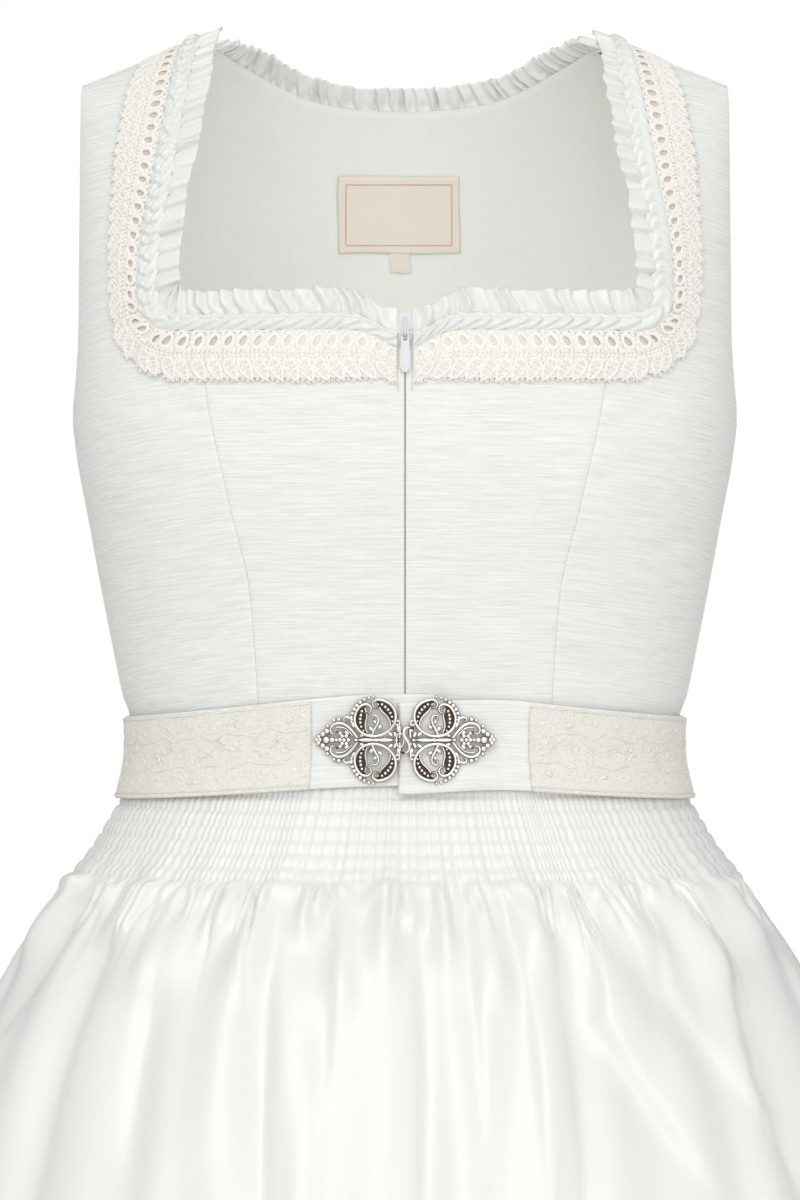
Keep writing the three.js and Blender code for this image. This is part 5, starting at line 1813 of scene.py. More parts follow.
@dataclass
class NeckLace:
    """Crocheted lace along the neck: a rib, a row of eyelets, a braided band and leaves with picots."""

    start: float = 9.5
    nominal: float = 22.0
    eyelet_pitch: float = 7.2
    leaf_pitch: float = 7.4
    stitch_pitch: float = 2.2
    lay: float = 1.0
    relief: float = 0.6
    lean: float = 0.3
    eyelet_row: float = 4.8
    band_row: float = 11.0
    leaf_row: float = 17.0
    net_width: float = 20.0
    open_from: float = 45.0
    open_to: float = 92.0

    def across(self, along: Array, wide: Array) -> Array:
        """Distance across the course of a distance on the flat lace."""
        return self.start + wide / self.nominal * (lace_reach(along) - self.start)

    def eyelets(self) -> Work:
        """One eyelet of the inner row, bound with thread, and the knots beside it."""
        work = Work()
        turn = even_turns(14)
        x, y = 2.6 * np.cos(turn), 3.1 * np.sin(turn)
        loop = np.stack([x + self.lean * y, self.eyelet_row + y, 0.9 + 0.5 * np.cos(turn)], axis=-1)
        work.cord(loop, 1.15, 6, closed=True)
        for y_knot, size in ((1.6, 1.2), (3.4, 0.9), (5.2, 1.0), (7.0, 0.95), (8.2, 1.2)):
            aside = self.eyelet_pitch / 2 + self.lean * (y_knot - self.eyelet_row)
            work.pad(aside, y_knot, 1.7 * size, 0.95 * size, 1.9, 50.0, 0.15)
        return work

    def band(self) -> Work:
        """One repeat of the braided band: two crossing rows of close stitches."""
        work = Work()
        for y, turn in ((9.1, 38.0), (10.9, -38.0), (12.6, 34.0)):
            work.pad(0.0, y, 1.7, 0.95, 1.7, turn, 0.25)
        return work

    def leaf(self) -> Work:
        """One leaf of the outer edge: bound outline, ribbed veins and a fringe of picots."""
        work = Work()
        lean = math.radians(-34.0)
        cos, sin = math.cos(lean), math.sin(lean)
        length, half, picot = 9.6, 3.1, 0.75
        origin = np.array([1.4, 12.4])

        def spot(a: Array, b: Array) -> Array:
            """Turns distances out along and across the leaf into the lace's own."""
            return np.stack([origin[0] + a * sin + b * cos, origin[1] + a * cos - b * sin], axis=-1)

        turn = even_turns(18)
        a = length * 0.5 * (1.0 - np.cos(turn))
        b = half * np.sin(turn) * (1.0 - 0.35 * (a / length))
        outline = np.column_stack([spot(a, b), np.full(len(turn), 0.85)])
        work.cord(outline, 0.95, 6, closed=True)
        for step in np.linspace(0.18, 0.84, 4):
            wide = half * math.sin(math.pi * step) * 0.62
            for hand in (-1, 1):
                middle = spot(np.array(length * step), np.array(hand * wide * 0.62))
                work.pad(*map(float, middle), wide * 0.8, 0.85, 1.5, 34.0 - hand * 24.0, 0.2, 6)
        for angle in (-72.0, -36.0, 0.0, 36.0, 72.0):
            aim = math.radians(angle)
            a0 = length * (0.62 + 0.38 * math.cos(aim))
            b0 = half * 0.92 * math.sin(aim)
            ring = even_turns(7)
            loop = spot(a0 + math.cos(aim) * 0.7 + picot * np.cos(ring) * 0.9,
                        b0 + math.sin(aim) * 0.9 + picot * np.sin(ring) * 0.8)
            work.cord(np.column_stack([loop, np.full(len(ring), 0.7)]), 0.42, 5, closed=True)
        return work

    def rib(self, wide: float, radius: float, sway: float, off: float) -> tuple[Array, Array]:
        """A cord that runs the whole way along the lace.

        Args:
            wide: Its place across the flat lace.
            radius: Its radius.
            sway: How far it sways to either side.
            off: Height of its middle.

        Returns:
            Its points and faces.
        """
        work = Work()
        along = np.arange(0.3, FRONT_NECK_COURSE.length - 0.6, 1.1)
        y = wide + sway * np.sin(2 * math.pi * along / 3.1)
        work.cord(np.stack([along, y, np.full(len(along), off)], axis=-1), radius, 6)
        points, faces = work.merged()
        points[:, 1] = self.across(points[:, 0], points[:, 1])
        return points, faces

    def ground(self, places: Array) -> Grid:
        """The net under it all, with painted beige shade in the eyelets, and a waved outer edge.

        Args:
            places: Where the eyelets are along the lace.

        Returns:
            The net's grid.
        """
        along = np.linspace(0.2, FRONT_NECK_COURSE.length - 0.6, 460)
        s, share = np.meshgrid(along, np.linspace(0.0, 1.0, 20))
        wide = self.net_width * share + 0.7 * share * np.sin(2 * math.pi * s / self.leaf_pitch)
        up = wide - self.eyelet_row
        gap = np.abs((s - self.lean * up)[..., None] - places).min(axis=-1)
        inside = 1.0 - smoothstep(np.hypot(gap / 2.0, up / 2.5), 0.55, 1.15)
        open_work = smoothstep(s, self.open_from, self.open_to)
        # Painted shade in the eyelets: faint near the zip, strong towards the strap.
        hole_shade = inside * mix(0.12, 0.85, open_work)
        across = self.across(s, wide)
        raised = mix(mix(0.25, 0.0, open_work), mix(0.06, 0.22, open_work), smoothstep(wide, 7.0, 11.0))
        raised = raised - 0.4 * inside * open_work
        return Grid(FRONT_NECK_COURSE.at(s, across, self.lay + raised)[::-1], hole_shade=hole_shade[::-1])

    def build(self, side: Side) -> None:
        """Makes the lace of one side.

        Args:
            side: Which side.
        """
        course = FRONT_NECK_COURSE
        start, end = 0.6, course.length - 1.4
        ribs = ((0.5, 0.55, 0.12, 0.95), (8.0, 0.5, 0.25, 1.1), (13.4, 0.42, 0.3, 1.0))
        parts = [self.rib(*rib) for rib in ribs]
        holes = np.zeros(0)
        for work, wide, pitch in ((self.leaf(), self.leaf_row, self.leaf_pitch),
                                  (self.band(), self.band_row, self.stitch_pitch),
                                  (self.eyelets(), self.eyelet_row, self.eyelet_pitch)):
            level = float(self.across(np.array(course.length * 0.5), np.array(wide)))
            places, stretch = course.marks(level, pitch, start, end)
            holes = places + 0.1 * pitch * np.sin(places * 0.83 + wide)
            parts.append(work.repeated(holes, stretch, self.across))
        points, faces = joined_work(parts)
        points[:, 0] = np.clip(points[:, 0], 0.2, course.length - 0.2)
        uneven = 0.35 * np.sin(points[:, 0] * 0.9 + 2.0 * np.sin(points[:, 1] * 0.6))
        relief = self.relief * mix(0.62, 1.0, smoothstep(points[:, 0], self.open_from, self.open_to))
        laid = course.at(points[:, 0], points[:, 1] + uneven, self.lay - 0.2 + relief * points[:, 2])
        flip = side is Side.RIGHT
        if flip:
            laid = laid * MIRRORED
        node = f"neck_lace_{side.value}"
        threads = finished(worked_object(f"{node}_threads", laid, faces, flip), LaceThread())
        sheeted(self.ground(holes).on_side(side), f"{node}_ground", 0.4, NetGround(), node)


@dataclass
class Trims:
    """All that borders the neck: frills, braids and lace."""

    def build(self) -> None:
        """Makes the trims of both sides and the back."""
        for side, seed, crumple, teeth, wave, wider in ((Side.LEFT, 11, 0.03, 3.4, 1.0, 0.0),
                                                        (Side.RIGHT, 23, 0.14, 2.0, 0.85, 2.2)):
            frill = Frill(FRONT_NECK_COURSE, f"neck_frill_{side.value}", seed, 0.15,
                          FRONT_NECK_COURSE.length - 2.0, slant=5.0 * side.sign, teeth=teeth,
                          strap_wave=wave, wider=wider)
            frill.build(side, f"neck_braid_{side.value}_ribbon")
            Braid().build(side, seed + 5, crumple)
            NeckLace().build(side)
        back = Frill(BACK_NECK_COURSE, "neck_frill_back", 41, 0.5, BACK_NECK_COURSE.length - 0.5,
                     inward=1, pitch=6.0, base=-2.6, reach=10.4, root=-3.0, wave=4.2, slant=3.4, overlap=1.5,
                     uneven=0.6, taper=0.0)
        back.build(Side.LEFT, "back_centre_cloth")


# ---- skirt, apron and belt


@dataclass
class Skirt:
    """The gathered skirt of slub cloth, in a front and a back."""

    wall: float = 1.0
    side_fold: float = 0.7
    gather_pitch: float = 5.2
    waist_radius: float = 140.0
    fine_from: float = -110.0
    seam_share: float = 0.9998
    covered_fold: float = 0.6
    covered_press: float = 0.3
    covered_gap: float = 0.6
    fade_from: float = 12.0
    fade_to: float = 88.0

    def heights(self, rows: int, top_rows: int) -> Array:
        """Heights of the rows, closer under the belt, from the hem up."""
        low = np.linspace(SKIRT.hem, self.fine_from, rows)
        return np.concatenate([low, np.linspace(self.fine_from, SKIRT.top, top_rows)[1:]])

    def gathers(self, angle: Array, z: Array, seed: int) -> Array:
        """Small pleats let into the waist seam, which die out below it at uneven lengths.

        Args:
            angle: Angles in degrees from the front.
            z: Heights.
            seed: Picks the unevenness.

        Returns:
            How far they stand out.
        """
        count = 2 * math.pi * self.waist_radius / self.gather_pitch
        phase = angle / 360.0 * count
        jitter = np.sin(phase * 0.71 + seed) + 0.6 * np.sin(phase * 1.93 + 2.1 * seed)
        fade = 1.0 - smoothstep(-z, 18.0, 95.0 + 30.0 * np.sin(phase * 0.37 + seed))
        held = smoothstep(-z, 9.0, 24.0)
        return 1.15 * held * fade * np.sin(2 * math.pi * phase + 1.3 * jitter)

    def front_grid(self) -> Grid:
        """The front: the apron's folds, shallower and further in, then its own at the sides."""
        z_rows = self.heights(54, 26)
        last = SKIRT.apron_valleys.last
        column, z = np.meshgrid(np.linspace(0.0, last, int(last) * 9 + 1), z_rows)
        angle, fold = SKIRT.fold(SKIRT.apron_valleys, column, z, 0.5)
        edge = SKIRT.valley_angles(SKIRT.apron_valleys, z_rows)
        share, z_side = np.meshgrid(np.linspace(0.0, 1.0, 15), z_rows)
        bump = self.side_fold * np.sin(math.pi * share) ** 1.4 * SKIRT.depth(z_side)
        left = mix(-90.0, edge[:, :1], share)
        right = mix(edge[:, -1:], 90.0, share)
        angles = np.concatenate([left[:, :-1], angle, right[:, 1:]], axis=1)
        folds = np.concatenate([bump[:, :-1], fold, bump[:, 1:]], axis=1)
        heights = np.broadcast_to(z_rows[:, None], angles.shape)
        limit = edge[:, -1:] - self.fade_from
        cover = 1.0 - smoothstep(np.abs(angles), limit, self.fade_to)
        pressed = self.covered_press * SKIRT.depth(heights) + self.covered_gap
        offset = self.covered_fold * folds - pressed * cover
        offset = offset + self.gathers(angles, heights, 1) * 0.5 * (1.0 - cover)
        return Grid(lifted(SKIRT.point, angles * self.seam_share, heights, offset), 90.0)

    def back_grid(self) -> Grid:
        """The back, gathered into the waist all the way."""
        z_rows = self.heights(56, 34)
        last = SKIRT.skirt_valleys.last
        column, z = np.meshgrid(np.linspace(0.0, last, int(last) * 26 + 1), z_rows)
        angle, fold = SKIRT.fold(SKIRT.skirt_valleys, column, z, 0.6)
        ripple = SKIRT.depth(z) * 0.07 * np.sin(angle * 0.61 + 1.7 * np.sin(angle * 0.083))
        offset = fold + ripple + self.gathers(angle, z, 2) - 0.4
        seamed = 180.0 + (angle - 180.0) * self.seam_share
        return Grid(lifted(SKIRT.point, seamed, z, offset), 90.0)

    def build(self) -> None:
        """Makes both halves of the skirt."""
        for name, grid in (("skirt_front", self.front_grid()), ("skirt_back", self.back_grid())):
            sheeted(grid, f"{name}_cloth", self.wall, SlubCloth(), name)


@dataclass
class Apron:
    """The satin apron: smocked flat in rows under the belt, then let out into soft folds."""

    wall: float = 0.7
    tuck: float = 7.0
    off: float = 2.1
    spread: float = 7.0
    spread_length: float = 120.0
    rows: tuple[float, ...] = (-26.7, -33.6, -40.6, -47.4, -54.1, -60.9, -67.4)
    tucks: int = 92
    tuck_seed: int = 71
    per_tuck: int = 5
    puff: float = 0.75
    let_out: float = 67.0
    softness: float = 1.0
    crisp: float = 0.28
    split: float = -92.0
    under_belt: float = -24.0
    squeeze: float = 2.0
    settle: float = 1.6
    creases: tuple[tuple[tuple[tuple[float, float], ...], float, float], ...] = (
        (((-82, -68), (-85, -84), (-80, -108), (-75, -150)), 3.0, 3.4),
        (((-70, -68), (-67, -108), (-70, -150)), 2.6, 4.4),
        (((-61, -68), (-56, -106), (-52.5, -198), (-53, -290)), 4.0, 5.0),
        (((-47, -70), (-45, -100), (-38.6, -200)), 3.4, 5.4),
        (((-28, -70), (-22.6, -145), (-18.7, -260)), 4.4, 4.6),
        (((-16.5, -69), (-13.5, -120), (-13, -170)), 3.2, 4.0),
        (((2.7, -69), (3.4, -150), (2.4, -280)), 4.4, 4.2),
        (((13, -69), (12, -120), (11, -190)), 3.2, 3.4),
        (((22, -69), (20, -140), (18, -230)), 3.6, 4.4),
        (((31, -70), (27.5, -140), (24, -250)), 3.4, 4.6),
        (((39, -68), (31, -131), (44, -226)), 4.8, 4.4),
        (((50, -68), (45, -120), (57, -210)), 3.8, 4.6),
        (((63, -68), (55, -161), (57.5, -240)), 3.4, 4.6),
        (((75, -68), (79, -90), (69, -160)), 3.0, 4.0),
    )
    billows: tuple[tuple[float, float, float, float, float], ...] = (
        (-75, -98, 5, 15, 7.5), (-57, -90, 3.6, 12, 6.6), (-45, -108, 4.6, 20, 8.0), (-37, -87, 2.6, 9, 5.6),
        (-29, -102, 3.6, 18, 8.0), (-21, -87, 2.6, 9, 6.0), (-12, -112, 4, 22, 7.4), (-4, -98, 3.2, 18, 8.5),
        (2, -85, 2.2, 8, 5.4), (8, -94, 3.0, 14, 7.4), (17, -108, 3.4, 20, 6.6), (26, -93, 3.6, 15, 7.4),
        (33, -86, 2.4, 9, 5.6), (37, -126, 4.6, 26, 5.6), (46, -96, 3.6, 15, 7.2), (57, -106, 4.6, 18, 7.0),
        (70, -94, 4.6, 14, 6.4), (-63, -180, 8, 40, 3.4), (-30, -190, 6, 42, 4.4), (22, -195, 6, 38, 4.2),
    )

    def phase(self, column: Array) -> Array:
        """Number of tucks up to a place across the apron, uneven as gathers are."""
        last = SKIRT.apron_valleys.last
        return uneven_phase(last, last / self.tucks, self.tuck_seed)(column)

    def smocking(self, column: Array, z: Array) -> Array:
        """Relief of the smocked band: small puffs between the rows of gathering stitches.

        Args:
            column: Places across, counted in valleys.
            z: Heights.

        Returns:
            How far it stands out.
        """
        phase = self.phase(column)
        round_puff = np.abs(np.cos(math.pi * phase)) ** 0.8
        lean = 0.25 * np.sin(2 * math.pi * phase * 0.37)
        drawn = sum(bell(z - row - lean, 0.95) for row in self.rows)
        inside = smoothstep(-z, 19.0, 23.0) * (1.0 - smoothstep(-z, 66.0, 76.0))
        fuller = 0.7 + 0.5 * np.sin(phase * 0.9) ** 2
        band = 1.0 - smoothstep(-z, self.let_out, self.let_out + 3.0)
        return inside * self.puff * (fuller * (round_puff - 0.5) * 1.3 - drawn * band * 1.3)

    def gathers(self, column: Array, z: Array) -> Array:
        """Short uneven gathers let out of the last row of stitches, each puffed and soon run out.

        Args:
            column: Places across, counted in valleys.
            z: Heights.

        Returns:
            How far they stand out.
        """
        phase = self.phase(column)
        grouped = phase / 2.9 + 0.6 * np.sin(phase * 0.83) + 0.3 * np.sin(phase * 1.71 + 0.03 * z)
        length = 15.0 + 11.0 * np.sin(phase * 0.57 + 1.0) * np.sin(phase * 0.21 + 0.4)
        below = -z - self.let_out
        lean = 0.35 * np.sin(phase * 0.44) * np.clip(below / 20.0, 0.0, 2.0)
        fade = smoothstep(below, -1.0, 7.0) * np.exp(-np.maximum(below - 5.0, 0.0) / length)
        strength = 0.7 + 0.5 * np.sin(phase * 1.13 + 2.0)
        buckled = 1.1 * smoothstep(below, -1.0, 4.0) * np.exp(-np.maximum(below, 0.0) / 11.0)
        cross = buckled * np.sin(below * 0.38 + 2.6 * np.sin(phase * 0.71) + 1.4 * np.sin(phase * 1.33))
        puffed = np.abs(np.sin(math.pi * (grouped + lean))) ** 0.8 * 1.5 - 0.5
        return cross + 4.0 * fade * strength * puffed

    def offset(self, column: Array, angle: Array, z: Array, fold: Array) -> Array:
        """How far the apron stands off the skirt's form.

        Args:
            column: Places across, counted in valleys.
            angle: Their angles.
            z: Their heights.
            fold: How far the folds stand out there.

        Returns:
            The offsets in millimetres.
        """
        away = self.off + self.spread * smoothstep(SKIRT.shirring_end - z, 0.0, self.spread_length)
        lower = smoothstep(-z, 200.0, 420.0)
        slow = lower * 2.2 * np.sin(angle * 0.33 + 0.6 * np.sin(z * 0.011)) * np.sin(z * 0.006 + angle * 0.05)
        relief = self.smocking(column, z) + self.gathers(column, z)
        total = away + fold * mix(0.3, 1.0, smoothstep(-z, 190.0, 420.0)) + slow
        wide, low = self.squeeze, 1.0 / self.squeeze
        for number, (path, depth, width) in enumerate(self.creases):
            crisp = self.crisp if number % 3 else 1.0 / self.crisp
            squeezed = Crease(tuple((a * wide, h * low) for a, h in path), depth,
                              width * wide / max(crisp, 1.0), crisp)
            total = total + squeezed.offset(angle * wide, z * low)
        for place, height, width, long, depth in self.billows:
            steep = np.where(z > height, 2.0 * long, 0.8 * long)
            total = total + depth * np.exp(-(((angle - place) / width) ** 2) - ((z - height) / steep) ** 2)
        floor = 0.6 * fold + 0.9
        return floor + np.logaddexp(0.0, (total - floor) * self.settle) / self.settle + relief

    def surface(self, columns: Array, heights: Callable[[Array], Array], rows: int) -> Array:
        """Points of a band of the apron.

        Args:
            columns: Places across, counted in valleys.
            heights: Gives the heights of the rows from the angle under the belt.
            rows: How many rows.

        Returns:
            Rows of points.
        """
        top_angle, _ = SKIRT.fold(SKIRT.apron_valleys, columns, np.full(columns.shape, -20.0), 0.0)
        z = np.stack([heights(top_angle)[row] for row in range(rows)])
        column = np.broadcast_to(columns, z.shape)
        angle, fold = SKIRT.fold(SKIRT.apron_valleys, column, z, self.softness)
        return lifted(SKIRT.point, angle, z, self.offset(column, angle, z, fold))

    def build(self) -> None:
        """Makes the apron: a fine band for the smocking and a coarser one below, sewn into one cloth."""
        fine = np.linspace(0.0, SKIRT.apron_valleys.last, self.tucks * self.per_tuck + 1)
        low_z = np.concatenate([np.linspace(SKIRT.apron_hem, -300.0, 34),
                                np.linspace(-300.0, self.split, 46)[1:]])
        band_z = np.linspace(self.split, self.under_belt, 50)
        low = self.surface(fine[::2], lambda angle: low_z[:, None] + 0.0 * angle, len(low_z))

        def band_heights(angle: Array) -> Array:
            """Heights of the band's rows: even, then drawn together under the belt."""
            middle, half = BELT.line(angle)
            tops = mix(self.under_belt, (middle - half + self.tuck)[None], np.linspace(0.0, 1.0, 6)[1:, None])
            return np.vstack([band_z[:, None] + 0.0 * angle, tops])

        band = self.surface(fine, band_heights, len(band_z) + 5)
        low[-1] = band[0, ::2]
        points = np.vstack([low[:-1].reshape(-1, 3), band.reshape(-1, 3)])
        low_threads, band_threads = Grid(low).threads(), Grid(band).threads()
        band_threads[..., 1] += low_threads[-1, :, 1].mean()
        threads = np.vstack([low_threads[:-1].reshape(-1, 2), band_threads.reshape(-1, 2)])
        index = np.arange(low[:-1, :, 0].size).reshape(low[:-1, :, 0].shape)
        upper = index.size + np.arange(band[..., 0].size).reshape(band.shape[:2])
        faces = quads_between(index) + quads_between(upper)
        for number, (first, second) in enumerate(zip(index[-1, :-1], index[-1, 1:])):
            faces.append([first, second, *upper[0, 2 * number:2 * number + 3][::-1]])
        apron = walled(made_object("apron_cloth", placed(points), faces), threads, self.wall)
        finished(apron, Satin(name="apron_satin", tint="#ebece8", gloss=1.0), ["apron"])
        low_cut, band_cut = Cut.of(low), Cut.of(band)
        cut = Cut(low_cut.width, low_cut.length + band_cut.length, low_cut.area + band_cut.area)
        sewn(apron, cut)


@dataclass
class Belt:
    """The belt: a folded band of slub cloth whose ends cross, with lace over it all but the very front."""

    lace_from_x: float = -41.0
    lace_to_x: float = 52.0
    lace_half: float = 21.0
    scallop: float = 11.5
    motif_pitch: float = 30.0
    cord_wave: float = 21.0
    shares: tuple[float, ...] = (-1.0, -0.985, -0.95, -0.9, -0.8, -0.6, -0.35, 0.0,
                                 0.35, 0.6, 0.8, 0.9, 0.95, 0.985, 1.0)

    def lace_angles(self) -> tuple[float, float]:
        """Angles between which the lace lies, from the wearer's right of the clasp round the back."""
        front = BELT.rings.rows[1][2]
        start = math.degrees(math.asin(self.lace_from_x / front))
        end = -360.0 + math.degrees(math.asin(self.lace_to_x / front))
        return start, end

    def band_grid(self) -> Grid:
        """The band, its edges rolled, from the end on top to the one below."""
        angle, share = np.meshgrid(np.linspace(BELT.over_end, BELT.under_end, 420), self.shares)
        roll = -0.55 * smoothstep(np.abs(share), 0.93, 1.0)
        cord = 0.22 * bell(np.abs(share) - 0.95, 0.03)
        ends = np.minimum(angle - BELT.over_end, BELT.under_end - angle)
        ends_roll = -0.5 * (1.0 - smoothstep(ends, 0.0, 0.9))
        soft = 0.25 * np.sin(np.radians(angle) * 9.0 + 2.0 * share) * (1.0 - share**2)
        return Grid(BELT.on(angle, share, BELT.wall + roll + cord + ends_roll + soft))

    def course(self) -> Course:
        """The line round the belt that its lace follows, counted from the lace's last angle."""
        start, end = self.lace_angles()

        def place(step: Array, across: Array, off: Array) -> Array:
            """A point by its angle past the lace's end, the height from the middle and the distance off."""
            return BELT.on(end + step, across / BELT.half_height, BELT.wall + 0.3 + off)

        return Course(place, start - end)

    def ground_grid(self, course: Course) -> Grid:
        """The net on the band, its upper edge waved in scallops, with patches of painted shade where its
        holes lie.

        Args:
            course: The line that the lace follows.

        Returns:
            The net's grid.
        """
        s, share = np.meshgrid(np.linspace(0.0, course.length, 360), np.linspace(-1.0, 1.0, 19))
        wave = 0.6 * np.abs(np.sin(math.pi * s / self.scallop)) - 0.5 + 0.3 * np.sin(s * 0.9)
        top = self.lace_half - 0.1 + wave
        across = np.where(share > 0, share * top, share * self.lace_half)
        relief = 0.25 * np.sin(s * 0.31 + 2.0 * share) * np.sin(share * 5.0 + s * 0.12)
        # Painted shade: soft darker patches along the middle of the lace, where its open holes lie.
        shade = 0.3 * bell(share - 0.1 + 0.1 * np.sin(s * 0.27), 0.16) * (0.5 + 0.5 * np.sin(s * 0.62)) ** 2
        return Grid(course.at(s, across, 0.55 + relief), hole_shade=shade)

    def motif(self) -> Work:
        """One repeat of the lace's pattern: a blossom, a spray of leaves on a stem and small knots."""
        work = Work()
        for number in range(6):
            turn = math.radians(60.0 * number + 12.0)
            x, y = -8.0 + 3.0 * math.cos(turn), 3.0 * math.sin(turn)
            work.pad(x, y, 2.1, 1.5, 0.62, math.degrees(turn), 0.3)
        foot, reach, swing = -4.0, 19.0, 2.6
        stem = np.linspace(0.0, 1.0, 12)
        path = np.stack([foot + reach * stem, swing * np.sin(stem * 2 * math.pi), np.full(12, 0.45)], axis=-1)
        work.cord(path, 0.4, 5)
        for place, hand in ((0.16, 1), (0.4, -1), (0.62, 1), (0.86, -1)):
            x = foot + reach * place
            y = swing * math.sin(place * 2 * math.pi) + hand * 2.5
            work.pad(x + 1.0, y, 2.9, 1.4, 0.6, hand * 44.0, 0.3, point=0.5)
        for x, y, turn in ((-9.0, 12.0, 20.0), (-2.0, 14.0, -35.0), (5.0, 12.4, 30.0),
                           (11.5, 14.2, -20.0), (-7.0, -13.0, -25.0), (0.5, -14.5, 35.0),
                           (7.5, -12.8, -30.0), (13.5, -15.0, 15.0)):
            work.pad(x, y, 2.7, 1.5, 0.5, turn, 0.3, point=0.4)
        return work

    def build(self) -> None:
        """Makes the band and its lace."""
        sheeted(self.band_grid(), "belt_band_cloth", BELT.wall - 0.3, SlubCloth(), "belt_band")
        course = self.course()
        ground_grid = self.ground_grid(course)
        # Its dark tone is painted shade in the net's holes.
        net = NetGround(name="belt_net", light="#ebe8e0", dark="#d8d3c6", mesh=1.15)
        ground = finished(ground_grid.cloth("belt_lace_ground", 0.5), net, ["belt_lace"])
        places, stretch = course.marks(0.0, self.motif_pitch, 1.0, course.length - 1.0)
        flips = np.where(np.arange(len(places)) % 2 == 0, 1.0, -1.0)
        parts = [self.motif().repeated(places, stretch, lambda along, wide: wide, flips)]
        for wide, radius, sway in ((-21.3, 0.85, 0.0), (20.0, 0.5, 0.0), (-7.8, 0.42, 1.1), (7.8, 0.48, 1.3)):
            cord = Work()
            along = np.arange(0.5, course.length - 0.4, 1.9)
            turn = 2 * math.pi * along / self.cord_wave + wide
            wave = sway * (np.sin(turn) + 0.5 * np.sin(along * 0.53))
            cord.cord(np.stack([along, wide + wave, np.full(len(along), 0.5)], axis=-1), radius, 6)
            parts.append(cord.merged())
        points, faces = joined_work(parts)
        points[:, 0] = np.clip(points[:, 0], 0.1, course.length - 0.1)
        laid = course.at(points[:, 0], points[:, 1], points[:, 2])
        thread = LaceThread(name="belt_thread", light="#efece4", dark="#e0dbcf")
        threads = finished(worked_object("belt_lace_threads", laid, faces), thread)
        sewn(ground, Cut.of(ground_grid.points))


# ---- label, zip and clasp


@dataclass(frozen=True)
class Seat:
    """Where a hard piece sits: its origin and its three directions, in millimetres above the belt."""

    origin: Array
    right: Array
    up: Array
    out: Array

    def matrix(self) -> Matrix:
        """The seat as a matrix of the frame, for pieces modelled in metres."""
        rows = np.eye(4)
        rows[:3] = np.column_stack([self.right, self.up, self.out, placed(self.origin)])
        return Matrix(rows.tolist())


def seated(piece: Piece, seat: Seat) -> Piece:
    """Moves a piece modelled at the origin to its seat, and applies that to its mesh."""
    alone(piece).matrix_world = seat.matrix()
    bpy.ops.object.transform_apply(location=True, rotation=True, scale=True)
    return piece


